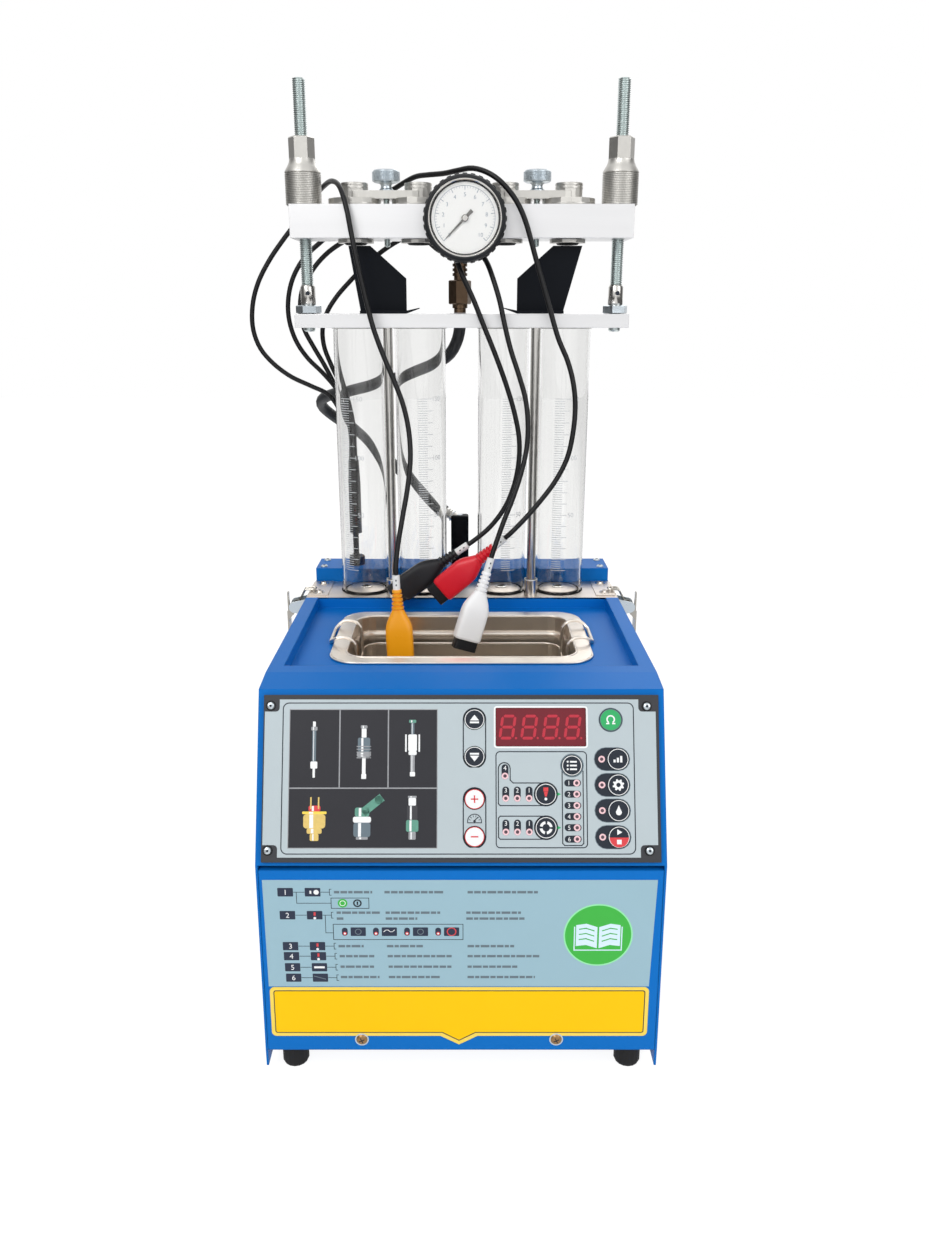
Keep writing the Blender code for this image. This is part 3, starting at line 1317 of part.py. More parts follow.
def knurled_nuts():
    """The hand nuts that hold the bar down on the rods."""
    low = BAR_TOP + GAP
    grip_top = low + GRIP_HEIGHT
    flare_top = grip_top + FLARE_HEIGHT
    top = flare_top + NECK_HEIGHT
    flare = []
    for step in range(5):
        angle = math.pi / 2 * step / 4
        radius = NECK_RADIUS + (GRIP_RADIUS - GRIP_CHAMFER - NECK_RADIUS) * (1 - math.cos(angle))
        flare.append((radius, flare_top - FLARE_HEIGHT * math.sin(angle)))
    profile = [
        (ROD_BORE, top),
        (NECK_RADIUS, top),
        *flare,
        (GRIP_RADIUS, grip_top - GRIP_CHAMFER),
        (GRIP_RADIUS, low + GRIP_CHAMFER),
        (GRIP_RADIUS - GRIP_CHAMFER, low),
        (ROD_BORE, low),
    ]
    for side, name in ((-1, "left"), (1, "right")):
        at_rod = Matrix.Translation((side * ROD_X, TOWER_Y, 0))
        turned(f"knurled_nut_{name}", profile, zinc(), at_rod, 20, True)


def gauge_frame():
    """Z runs forward out of the dial, and zero is the back of the case."""
    back = BAR_FRONT - GAUGE_STAND_OFF
    return Matrix.Translation((GAUGE_X, back, BAR_MIDDLE_Z)) @ Matrix.Rotation(math.pi / 2, 4, "X")


def gauge_case():
    """Case, bezel and rubber boot, the stem through the bar and the outlet behind it."""
    stem_end = -(GAUGE_STAND_OFF + BAR_LENGTH + GAP + ELBOW_SIDE / 2)
    round_in = GAUGE_ROUNDING
    profile = [
        (0.0, GAUGE_DEPTH - DIAL_DEPTH),
        (DIAL_RADIUS, GAUGE_DEPTH - DIAL_DEPTH),
        (DIAL_RADIUS, GAUGE_DEPTH),
        (BEZEL_RADIUS, GAUGE_DEPTH),
        (GAUGE_RADIUS - round_in * 0.3, GAUGE_DEPTH - round_in * 0.3),
        (GAUGE_RADIUS, GAUGE_DEPTH - round_in),
        (GAUGE_RADIUS, round_in),
        (GAUGE_RADIUS - round_in, 0.0),
        (STEM_COLLAR_RADIUS, 0.0),
        (STEM_COLLAR_RADIUS, -GAUGE_STAND_OFF + GAP),
        (STEM_RADIUS, -GAUGE_STAND_OFF + GAP),
        (STEM_RADIUS, stem_end),
        (0.0, stem_end),
    ]
    case = turned("gauge_case", profile, rubber(), gauge_frame(), 32)
    near = BAR_REAR + GAP
    half = ELBOW_SIDE / 2
    elbow = box(
        "elbow",
        (ELBOW_X - half, near, BAR_MIDDLE_Z - half),
        (GAUGE_X + half, near + ELBOW_SIDE, BAR_MIDDLE_Z + half),
    )
    pipe = cylinder("outlet_pipe", FITTING_RADIUS, FITTING_FOOT, BAR_MIDDLE_Z, (ELBOW_X, near + half))
    nut_top = BAR_FOOT - FITTING_NUT_TOP
    nut = cylinder(
        "outlet_nut",
        FITTING_FLATS / math.cos(math.pi / 6),
        nut_top - FITTING_NUT_HEIGHT,
        nut_top,
        (ELBOW_X, near + half),
        sides=6,
    )
    join(case, elbow, pipe, nut)


def gauge_needle():
    """The needle and its hub, which turn about the dial's centre."""
    face = GAUGE_DEPTH - DIAL_DEPTH + GAP
    direction = Matrix.Rotation(NEEDLE_ZERO, 4, "Z")
    outline = [
        (NEEDLE_LENGTH, -NEEDLE_HALF_WIDTH * 0.3),
        (NEEDLE_LENGTH, NEEDLE_HALF_WIDTH * 0.3),
        (0.0, NEEDLE_HALF_WIDTH),
        (-NEEDLE_TAIL, NEEDLE_HALF_WIDTH * 1.4),
        (-NEEDLE_TAIL, -NEEDLE_HALF_WIDTH * 1.4),
        (0.0, -NEEDLE_HALF_WIDTH),
    ]
    lift = Matrix.Translation((0, 0, face + NEEDLE_THICK / 2))
    dark = look("needle", (0.02, 0.02, 0.02), roughness=0.4)
    needle = prism("gauge_needle", outline, NEEDLE_THICK, dark, gauge_frame() @ lift @ direction)
    hub = cylinder("needle_hub", NEEDLE_HUB_RADIUS, face, face + NEEDLE_HUB_THICK, matrix=gauge_frame())
    join(needle, hub)


def latch_levers():
    """The lever of each latch, with its origin on the pivot in the ears."""
    for side, name in ((-1, "left"), (1, "right")):
        drop = Vector((side * BAIL_PIVOT_OUT, 0.0, -BAIL_PIVOT_DROP))
        web_in = LEVER_WEB_OUT
        web_out = web_in + LEVER_WEB
        at_pivot = Matrix.Translation(latch_pivot(side))
        cheek_outer = LEVER_CHEEK_INNER + LEVER_CHEEK
        web = box(
            f"latch_lever_{name}",
            (min(side * web_in, side * web_out), -cheek_outer, -LEVER_DROP),
            (max(side * web_in, side * web_out), cheek_outer, -BAIL_PIVOT_DROP),
            zinc(),
            at_pivot,
        )
        tongue = box(
            f"tongue_{name}",
            (min(side * web_in, side * web_out), -LEVER_TONGUE_HALF_WIDTH, -BAIL_PIVOT_DROP - LEVER_WEB),
            (max(side * web_in, side * web_out), LEVER_TONGUE_HALF_WIDTH, LEVER_TONGUE_RISE),
            matrix=at_pivot,
        )
        lip_in = side * (web_in - LEVER_LIP)
        lip = box(
            f"lever_lip_{name}",
            (min(lip_in, side * web_out), -cheek_outer, -LEVER_DROP - LEVER_WEB),
            (max(lip_in, side * web_out), cheek_outer, -LEVER_DROP + SINK),
            matrix=at_pivot,
        )
        pieces = [tongue, lip]
        for end in (-1, 1):
            middle = end * (LEVER_CHEEK_INNER + cheek_outer) / 2
            outline = [
                (side * web_out, drop.z - LEVER_EYE_RADIUS * 1.6),
                (side * web_out, drop.z + LEVER_EYE_RADIUS),
            ]
            for step in range(7):
                angle = math.radians(60 + 30 * step)
                out = side * LEVER_EYE_RADIUS * math.cos(angle)
                outline.append((out, LEVER_EYE_RADIUS * math.sin(angle)))
            frame = at_pivot @ along_y(middle)
            pieces.append(prism(f"cheek_{name}_{end}", outline, LEVER_CHEEK, None, frame))
        join(web, *pieces)


def latch_bails():
    """The wire loop of each latch, with its origin on its pivot in the lever."""
    radius = BAIL_WIRE / 2
    crossbar_z = DECK_TOP + STRIKER_SHEET + BAIL_RISE + radius
    for side, name in ((-1, "left"), (1, "right")):
        pivot = bail_pivot(side)
        hook = side * (HALF_WIDTH - STRIKER_INSET - HOOK_SHEET)
        crossbar_x = hook - side * (BAIL_CROSSBAR_CLEARANCE + radius)
        shoulder = side * (HALF_WIDTH + BAIL_SHOULDER)
        leg = [(pivot.x, pivot.z), (shoulder, crossbar_z), (crossbar_x, crossbar_z)]
        start = (leg[0][0], LATCH_Y, leg[0][1])
        near = [(x, LATCH_Y - BAIL_HALF_SPAN, z) for x, z in leg]
        far = [(x, LATCH_Y + BAIL_HALF_SPAN, z) for x, z in leg[::-1]]
        bends = rounded_corners([start, *near, *far, start], radius * 1.6)
        loop = [Vector(start) - pivot, *(Vector(point) - pivot for point in bends[1:-1])]
        wire_loop(f"latch_bail_{name}", loop, BAIL_WIRE, zinc(), Matrix.Translation(pivot))


def wire_loop(name, points, diameter, material, matrix):
    """A closed loop of wire."""
    curve = tube_curve(name, points, diameter, 1)
    curve.splines[0].use_cyclic_u = True
    curve.use_fill_caps = False
    return curve_mesh(name, curve, material, matrix)


def hose_block():
    """The block on the rear box that takes the hose, with its slanting stub."""
    low = BOX_TOP + GAP
    block = box(
        "hose_block",
        (BLOCK_X - BLOCK_WIDTH / 2, BOX_MIDDLE - BLOCK_LENGTH / 2, low),
        (BLOCK_X + BLOCK_WIDTH / 2, BOX_MIDDLE + BLOCK_LENGTH / 2, low + BLOCK_HEIGHT),
        black_plastic(),
    )
    stub = cylinder("stub", STUB_RADIUS, 0.0, STUB_LENGTH + BLOCK_WIDTH / 2, matrix=stub_frame())
    join(block, stub)


def stub_frame():
    """Starts inside the block and runs out along the stub."""
    root = Vector((BLOCK_X, BOX_MIDDLE, BOX_TOP + GAP + BLOCK_HEIGHT - STUB_DROP))
    return frame_from(root, STUB_DIRECTION, (0.0, 0.0, 1.0))


def lead_connector():
    """The round connector that the four leads rise from."""
    low = BOX_TOP + GAP
    stem_low = low + CONNECTOR_BASE
    sleeve_low = stem_low + CONNECTOR_STEM
    profile = [
        (0.0, CONNECTOR_TOP),
        (SLEEVE_GRIP_RADIUS - SLEEVE_TAPER * 0.2, CONNECTOR_TOP),
        (SLEEVE_GRIP_RADIUS, CONNECTOR_TOP - SLEEVE_TAPER),
        (SLEEVE_GRIP_RADIUS, sleeve_low + SLEEVE_TAPER),
        (CONNECTOR_STEM_RADIUS + SLEEVE_TAPER * 0.3, sleeve_low),
        (CONNECTOR_STEM_RADIUS, sleeve_low),
        (CONNECTOR_STEM_RADIUS, stem_low),
        (CONNECTOR_BASE_RADIUS, stem_low),
        (CONNECTOR_BASE_RADIUS, low),
        (0.0, low),
    ]
    turned("lead_connector", profile, black_plastic(), Matrix.Translation((CONNECTOR_X, BOX_MIDDLE, 0)))


def plug_colour(name):
    colours = {
        "plug_yellow": (0.95, 0.37, 0.004),
        "plug_red": (0.70, 0.008, 0.02),
        "plug_black": (0.022, 0.022, 0.026),
        "plug_white": (0.86, 0.86, 0.84),
    }
    return look(name, colours[name], roughness=0.4)


def plugs():
    """Each plug: lead marker, strain relief, body and dark insert, from tail to nose."""
    relief_low = PLUG_MARKER
    body_low = relief_low + PLUG_RELIEF
    body_top = body_low + PLUG_BODY
    for name, (_, tail, forward, face) in PLUGS.items():
        at = frame_from(tail, forward, face)
        body = box(
            name,
            (-PLUG_WIDTH / 2, -PLUG_THICK / 2, body_low),
            (PLUG_WIDTH / 2, PLUG_THICK / 2, body_top),
            plug_colour(name),
            at,
            PLUG_BEVEL,
        )
        edge = PLUG_INSERT_EDGE
        insert = box(
            name + "_insert",
            (-PLUG_WIDTH / 2 + edge, -PLUG_THICK / 2 + edge, body_top - PLUG_BEVEL),
            (PLUG_WIDTH / 2 - edge, PLUG_THICK / 2 - edge, body_top + PLUG_INSERT),
            matrix=at,
        )
        relief = cylinder(
            name + "_relief",
            PLUG_RELIEF_TIP,
            relief_low,
            body_low + PLUG_BEVEL,
            matrix=at,
            sides=12,
            top_radius=PLUG_RELIEF_RADIUS,
        )
        marker = cylinder(name + "_marker", PLUG_MARKER_RADIUS, 0.0, relief_low + SINK, matrix=at, sides=12)
        join(body, insert, relief, marker)


def free_cord(name, points, diameter, step, resolution, material):
    """A free cord or hose along a smooth curve."""
    straight = (points[1] - points[0]).length
    middle = [
        point
        for point in smooth_route(points, step)
        if min((point - points[0]).length, (point - points[-1]).length) > straight + step / 4
    ]
    curve = tube_curve(name, [*points[:2], *middle, *points[-2:]], diameter, resolution)
    obj = bpy.data.objects.new(name, curve)
    parts.objects.link(obj)
    curve.materials.append(material)


def leads():
    """Four leads, each from its corner of the connector to its plug."""
    corners = {"lead_1": (-1, 1), "lead_2": (1, 1), "lead_3": (-1, -1), "lead_4": (1, -1)}
    sheath = look("lead_sheath", (0.05, 0.052, 0.056), roughness=0.5)
    start_z = CONNECTOR_TOP + GAP
    for plug, (name, tail, forward, _) in PLUGS.items():
        corner_x, corner_y = corners[name]
        x = CONNECTOR_X + corner_x * BUNDLE_HALF_PITCH
        y = BOX_MIDDLE + corner_y * BUNDLE_HALF_PITCH
        back = -Vector(forward).normalized()
        end = Vector(tail) + back * GAP
        root = Vector((x, y, start_z))
        points = [root, root + Vector((0, 0, LEAD_DIAMETER)), *map(Vector, LEAD_ROUTES[name])]
        points += [end + back * LEAD_DIAMETER, end]
        free_cord(name, points, LEAD_DIAMETER, LEAD_STEP, 2, sheath)


def hose():
    """The hose from the gauge's outlet to the hose block."""
    top = Vector((ELBOW_X, FITTING_Y - GAP, FITTING_FOOT - GAP))
    outward = STUB_DIRECTION
    end = stub_frame().translation + outward * (STUB_LENGTH + BLOCK_WIDTH / 2 + GAP)
    points = [top, top - Vector((0, 0, HOSE_DIAMETER)), *map(Vector, HOSE_ROUTE)]
    points += [end + outward * HOSE_DIAMETER, end]
    free_cord("hose", points, HOSE_DIAMETER, HOSE_STEP, 2, rubber())


def main():
    start_scene()
    chassis()
    body_shell()
    deck_plate()
    rear_box()
    feet()
    cleaning_tank()
    basket()
    fluid_reservoir()
    control_frame()
    control_board()
    keys()
    mains_inlet()
    power_switch()
    glass_tubes()
    upper_plate()
    threaded_rods()
    brackets()
    distributor_bar()
    coupler_clamps()
    thumb_screws()
    knurled_nuts()
    gauge_case()
    gauge_needle()
    latch_levers()
    latch_bails()
    hose_block()
    lead_connector()
    plugs()
    leads()
    hose()


main()
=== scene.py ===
"""Dresses the fuel injector test bench: cords, finishes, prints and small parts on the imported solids.

Lengths are in metres, with X to the right, Y to the back and Z up. Prints on the control slope and on the
front panel are placed in millimetres, across and up that surface.
"""

from __future__ import annotations

import json
import logging
import math
import sys
from collections.abc import Iterable, Sequence
from dataclasses import dataclass
from enum import Enum

import bmesh
import bpy
from mathutils import Matrix, Vector

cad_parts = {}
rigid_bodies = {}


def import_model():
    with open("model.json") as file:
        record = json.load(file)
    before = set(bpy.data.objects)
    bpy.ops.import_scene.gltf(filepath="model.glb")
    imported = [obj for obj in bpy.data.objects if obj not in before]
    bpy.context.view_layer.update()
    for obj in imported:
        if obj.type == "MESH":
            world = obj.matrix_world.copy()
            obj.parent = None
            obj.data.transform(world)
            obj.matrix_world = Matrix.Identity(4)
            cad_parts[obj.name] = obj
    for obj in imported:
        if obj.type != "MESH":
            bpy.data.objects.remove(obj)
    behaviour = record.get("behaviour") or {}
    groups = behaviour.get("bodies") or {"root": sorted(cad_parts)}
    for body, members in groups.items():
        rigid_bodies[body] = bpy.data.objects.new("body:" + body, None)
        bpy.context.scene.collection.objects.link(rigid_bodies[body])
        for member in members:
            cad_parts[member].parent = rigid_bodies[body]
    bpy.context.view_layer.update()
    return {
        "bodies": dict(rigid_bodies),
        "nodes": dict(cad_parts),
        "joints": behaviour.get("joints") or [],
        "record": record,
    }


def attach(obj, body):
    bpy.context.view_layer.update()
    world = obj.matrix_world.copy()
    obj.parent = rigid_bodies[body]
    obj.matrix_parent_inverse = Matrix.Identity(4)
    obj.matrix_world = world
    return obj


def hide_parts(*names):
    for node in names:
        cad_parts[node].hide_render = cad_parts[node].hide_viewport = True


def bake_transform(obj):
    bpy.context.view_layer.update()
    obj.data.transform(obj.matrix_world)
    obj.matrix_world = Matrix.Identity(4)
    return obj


logging.basicConfig(level=logging.INFO, format="%(message)s", stream=sys.stdout)
LOG = logging.getLogger("test_bench")

Colour = tuple[float, float, float]
Pair = tuple[float, float]
Point = tuple[float, float, float]
Socket = bpy.types.NodeSocket
Solid = bmesh.types.BMesh
Outline = Sequence[Pair]
MM = 0.001
PRINT = 0.00006  # the thickness of one layer of print
SEAT_GAP = 0.0003  # between a piece and what it rests in


def srgb(red: int, green: int, blue: int) -> Colour:
    """Turns a colour as a picture shows it into a linear one.

    Args:
        red: Red, from 0 to 255.
        green: Green, from 0 to 255.
        blue: Blue, from 0 to 255.

    Returns:
        The linear colour.
    """
    parts = (red / 255, green / 255, blue / 255)
    return tuple(part / 12.92 if part <= 0.04045 else ((part + 0.055) / 1.055) ** 2.4 for part in parts)


class Body(Enum):
    """The bodies that several pieces ride on."""

    BENCH = "bench"
    BAR = "bar"
    BASKET = "basket"
    NEEDLE = "gauge_needle"


class Value:
    """A socket that takes part in ordinary Python arithmetic."""

    def __init__(self, graph: Graph, socket: Socket) -> None:
        """Wraps one output socket of a graph."""
        self.graph = graph
        self.socket = socket

    def __add__(self, other: Value | float) -> Value:
        """Adds."""
        return self.graph.maths("ADD", self, other)

    def __radd__(self, other: float) -> Value:
        """Adds, from the right."""
        return self.graph.maths("ADD", other, self)

    def __sub__(self, other: Value | float) -> Value:
        """Subtracts."""
        return self.graph.maths("SUBTRACT", self, other)

    def __mul__(self, other: Value | float) -> Value:
        """Multiplies."""
        return self.graph.maths("MULTIPLY", self, other)

    def __abs__(self) -> Value:
        """The value without its sign."""
        return self.graph.maths("ABSOLUTE", self, 0.0)

    def larger(self, other: Value) -> Value:
        """The larger of two values."""
        return self.graph.maths("MAXIMUM", self, other)

    def clamped(self) -> Value:
        """Keeps the value from 0 to 1."""
        return self.graph.maths("MINIMUM", self.graph.maths("MAXIMUM", self, 0.0), 1.0)


class Graph:
    """The node tree of one material, written in plain calls."""

    def __init__(self, name: str) -> None:
        """Starts a material with its Principled shader.

        Args:
            name: The material's name.
        """
        self.material = bpy.data.materials.new(name)
        self.material.use_nodes = True
        self.tree = self.material.node_tree
        self.shader = self.tree.nodes["Principled BSDF"]

    @classmethod
    def of_tree(cls, tree: bpy.types.NodeTree) -> Graph:
        """Writes in a tree that exists, such as the world's.

        Args:
            tree: The tree.

        Returns:
            The graph, which has no shader of its own.
        """
        graph = cls.__new__(cls)
        graph.tree = tree
        return graph

    def node(self, kind: str, settings: dict | None = None, inputs: dict | None = None) -> bpy.types.Node:
        """Adds any node.

        Args:
            kind: The node's type name.
            settings: Its settings, which are set first.
            inputs: A value, or a link, for each socket by name or number.

        Returns:
            The node.
        """
        made = self.tree.nodes.new(kind)
        for key, setting in (settings or {}).items():
            setattr(made, key, setting)
        self.feed_node(made, inputs or {})
        return made

    def feed_node(self, node: bpy.types.Node, inputs: dict) -> None:
        """Feeds sockets of a node, by name or number."""
        for key, given in inputs.items():
            self.feed(node.inputs[key], given)

    def feed(self, socket: Socket, given: Value | Socket | float | Sequence) -> None:
        """Links a socket or sets its constant.

        Args:
            socket: The input socket.
            given: The value or output socket to link, or the constant.
        """
        if isinstance(given, Value):
            given = given.socket
        if isinstance(given, Socket):
            self.tree.links.new(given, socket)
        else:
            socket.default_value = given

    def maths(self, operation: str, first: Value | float, second: Value | float) -> Value:
        """One Math node as a value."""
        node = self.node("ShaderNodeMath", {"operation": operation}, {0: first, 1: second})
        return Value(self, node.outputs[0])

    def ramp(self, value: Value, low: float, high: float) -> Value:
        """A smooth step from 0 to 1.

        Args:
            value: What the step follows.
            low: Where it is 0.
            high: Where it is 1.

        Returns:
            The step.
        """
        inputs = {0: value, 1: low, 2: high, 3: 0.0, 4: 1.0}
        node = self.node("ShaderNodeMapRange", {"interpolation_type": "SMOOTHSTEP"}, inputs)
        return Value(self, node.outputs[0])

    def place(self, scale: Point = (1.0, 1.0, 1.0)) -> Socket:
        """The object's own coordinates, stretched by scale."""
        source = self.node("ShaderNodeTexCoord").outputs["Object"]
        return self.node("ShaderNodeMapping", None, {"Vector": source, "Scale": scale}).outputs[0]

    def sideways(self, place: Socket) -> Value:
        """How far a place lies to either side."""
        return abs(Value(self, self.node("ShaderNodeSeparateXYZ", None, {0: place}).outputs[0]))

    def rays(self) -> tuple[Value, Value, Value]:
        """Tells rays apart by what sends them.

        Returns:
            Three values, each 0 or 1: for the camera, a mirror or glass, for a mirror, and for glass.
        """
        path = self.node("ShaderNodeLightPath")
        kinds = ("Is Camera Ray", "Is Glossy Ray", "Is Transmission Ray")
        seen, mirrored, through = (Value(self, path.outputs[kind]) for kind in kinds)
        return seen.larger(mirrored.larger(through)), mirrored, through

    def noise(self, size: float, detail: float = 3.0, stretch: Point = (1.0, 1.0, 1.0)) -> Value:
        """Smooth noise from 0 to 1 whose lumps are about as large as size, in metres."""
        inputs = {"Vector": self.place(stretch), "Scale": 1 / size, "Detail": detail}
        return Value(self, self.node("ShaderNodeTexNoise", None, inputs).outputs[0])

    def blend(self, factor: Value, first: Colour, second: Colour) -> Socket:
        """A colour between two colours.

        Args:
            factor: How much of the second colour shows.
            first: The first colour.
            second: The second colour.

        Returns:
            The colour's socket.
        """
        inputs = {0: factor, 6: (*first, 1.0), 7: (*second, 1.0)}
        return self.node("ShaderNodeMix", {"data_type": "RGBA"}, inputs).outputs[2]

    def set(self, **inputs: object) -> None:
        """Sets or links the shader's sockets.

        Args:
            **inputs: What each socket takes, by its name with underscores.
        """
        for key, given in inputs.items():
            name = key.replace("_", " ").title().replace("Ior", "IOR")
            plain = key == "base_color" and isinstance(given, tuple)
            self.feed(self.shader.inputs[name], (*given, 1.0) if plain else given)


@dataclass(frozen=True)
class Finish:
    """A paint, plastic or metal with its own unevenness.

    Attributes:
        name: The finish's name.
        colour: Its linear colour.
        roughness: Its mean roughness.
        metallic: 1 for bare metal.
        mottle: How far the colour drifts over the surface, as a share.
        mottle_size: How large those patches are.
        smudge: How far the roughness drifts.
        grain: The height of the fine relief.
        grain_size: The size of the fine relief.
        stretch: How the pattern is stretched, as on brushed metal.
        rounding: The radius that softens the edges in the light.
        coat: The weight of a clear coat.
        glow: The strength of its own light.
        shine: How strongly a painted or moulded face mirrors.
    """

    name: str
    colour: Colour
    roughness: float = 0.5
    metallic: float = 0.0
    mottle: float = 0.06
    mottle_size: float = 0.03
    smudge: float = 0.08
    grain: float = 0.00002
    grain_size: float = 0.0012
    stretch: Point = (1.0, 1.0, 1.0)
    rounding: float = 0.0
    coat: float = 0.0
    glow: float = 0.0
    shine: float = 0.5

    def material(self) -> bpy.types.Material:
        """The finish's material, made once."""
        return bpy.data.materials.get(self.name) or self._made()

    def _made(self) -> bpy.types.Material:
        """Builds the node tree.

        Returns:
            The new material.
        """
        graph = Graph(self.name)
        patches = graph.noise(self.mottle_size, 4.0, self.stretch)
        fine = graph.noise(self.grain_size, 2.0, self.stretch)
        light = tuple(min(1.0, part * (1 + self.mottle)) for part in self.colour)
        dark = tuple(part * (1 - self.mottle) for part in self.colour)
        factor = (patches * 0.75 + fine * 0.25).clamped()
        graph.set(base_color=graph.blend(factor, dark, light), metallic=self.metallic)
        graph.set(specular_ior_level=self.shine)
        graph.set(roughness=(self.roughness + (patches - 0.5) * (2 * self.smudge)).clamped())
        if self.coat:
            graph.set(coat_weight=self.coat, coat_roughness=0.15)
        if self.glow:
            graph.set(emission_color=(*self.colour, 1.0), emission_strength=self.glow)
        relief = {"Height": fine, "Strength": 0.5, "Distance": self.grain}
        if self.rounding:
            bevel = graph.node("ShaderNodeBevel", {"samples": 4}, {"Radius": self.rounding})
            relief["Normal"] = bevel.outputs[0]
        graph.set(normal=graph.node("ShaderNodeBump", None, relief).outputs[0])
        return graph.material


@dataclass(frozen=True)
class ClearFinish(Finish):
    """A clear material that light passes through.

    Attributes:
        index: How strongly it bends the light.
    """

    index: float = 1.45

    def _made(self) -> bpy.types.Material:
        """Builds the node tree.

        Returns:
            The new material.
        """
        graph = Graph(self.name)
        haze = graph.noise(self.mottle_size, 3.0, self.stretch)
        graph.set(base_color=self.colour, transmission_weight=1.0, ior=self.index)
        graph.set(roughness=(haze * self.smudge).clamped())
        return graph.material


def ink(
    name: str, tone: Colour, drift: float, patch: float, rough: float = 0.42, shine: float = 0.5
) -> Finish:
    """A printing ink whose colour drifts by a share over small patches."""
    return Finish(name, tone, rough, mottle=drift, mottle_size=patch, shine=shine)


def film(name: str, colour: Colour, roughness: float, patch: float = 0.05, shine: float = 0.5) -> Finish:
    """A smooth printed film."""
    return Finish(name, colour, roughness, mottle=0.03, mottle_size=patch, grain=0.00001, shine=shine)


def plastic(name: str, colour: Colour, rough: float = 0.36, mottle: float = 0.03, **more: float) -> Finish:
    """A moulded plastic with a fine grain."""
    return Finish(name, colour, rough, mottle=mottle, grain=0.00003, **more)


def metal(name: str, colour: Colour, roughness: float, mottle: float, patch: float, **more: object) -> Finish:
    """A bare or plated metal."""
    return Finish(name, colour, roughness, 1.0, mottle=mottle, mottle_size=patch, **more)


ENAMEL = Finish(
    "blue_enamel_coat", srgb(4, 109, 194), 0.42, mottle=0.04, mottle_size=0.08, smudge=0.05,
    grain=0.00004, grain_size=0.0016, rounding=0.0016, shine=0.12,
)
BLACK_PAINT = Finish(
    "black_powder_coat", srgb(9, 13, 20), 0.5, mottle=0.15, grain=0.00006, grain_size=0.0009, rounding=0.0006,
    shine=0.12,
)
TANK_STEEL = metal(
    "pressed_tank_steel", srgb(232, 224, 214), 0.3, 0.04, 0.03, smudge=0.05, grain=0.000004, grain_size=0.002,
    rounding=0.0006,
)
DECK_STEEL = metal(
    "deck_steel", srgb(212, 203, 194), 0.4, 0.06, 0.02, smudge=0.06, grain_size=0.0007,
    stretch=(0.08, 1.0, 1.0),
)
WHITE_METAL = metal(
    "milled_aluminium", srgb(233, 233, 234), 0.42, 0.04, 0.01, smudge=0.06, grain_size=0.0006,
    stretch=(0.06, 1.0, 1.0), rounding=0.0006,
)
CAST_METAL = metal(
    "turned_aluminium", srgb(206, 204, 199), 0.38, 0.08, 0.006, grain_size=0.0005, rounding=0.0005,
)
ZINC = metal(
    "bright_zinc", srgb(196, 205, 211), 0.3, 0.10, 0.006, smudge=0.10, grain_size=0.0008, rounding=0.0003,
)
ROD_ZINC = metal("rod_zinc", srgb(208, 217, 216), 0.34, 0.1, 0.006, grain_size=0.0008)
NICKEL = metal("nickel_plate", srgb(210, 208, 204), 0.2, 0.06, 0.01, rounding=0.0003)
LATCH_STEEL = metal("latch_steel", srgb(172, 168, 160), 0.28, 0.2, 0.004, smudge=0.12)
# Darker metal that shows in the grooves between a hand nut's grip rings: painted shade.
GROOVE_SHADE = metal("painted_groove_shade", srgb(160, 158, 153), 0.45, 0.1, 0.004)
BRASS = metal("worn_brass", srgb(150, 118, 82), 0.34, 0.18, 0.004, smudge=0.12)
BRONZE = metal("dark_bronze", srgb(98, 80, 64), 0.36, 0.25, 0.005, smudge=0.12)

BLACK_PLASTIC = plastic("black_moulding", srgb(24, 25, 28), 0.45, 0.12, rounding=0.0004, shine=0.3)
PLUG_YELLOW = plastic("yellow_moulding", srgb(250, 166, 6), mottle=0.04)
PLUG_WHITE = plastic("white_moulding", srgb(250, 250, 250))
PLUG_RED = plastic("red_moulding", srgb(222, 18, 40), mottle=0.05)
PLUG_BLACK = plastic("dark_moulding", srgb(30, 30, 34), 0.42, 0.1, shine=0.3)
MILKY = Finish("milky_moulding", srgb(206, 206, 200), 0.45, mottle=0.05, grain=0.00005)
FRAME_GREY = Finish(
    "frame_grey_skin", srgb(60, 61, 65), 0.5, mottle=0.08, grain=0.00005, rounding=0.0005, shine=0.25,
)
RUBBER = Finish(
    "black_rubber_skin", srgb(22, 22, 24), 0.72, mottle=0.2, mottle_size=0.01, grain=0.00006, shine=0.3,
)
SHEATH = Finish("lead_sheath_skin", srgb(20, 20, 22), 0.4, mottle=0.15, mottle_size=0.01, shine=0.3)
HOSE_RUBBER = Finish("hose_rubber", srgb(46, 48, 51), mottle=0.25, mottle_size=0.012, grain=0.00008)
BOOT = Finish(
    "gauge_boot_rubber", srgb(30, 32, 35), 0.55, mottle=0.18, mottle_size=0.008, grain=0.00008, shine=0.35,
)
GLASS = ClearFinish("tube_glass", (0.93, 0.93, 0.925), smudge=0.02, mottle_size=0.02)
LENS = ClearFinish("gauge_lens", (0.99, 0.99, 0.99), smudge=0.02, index=1.12)

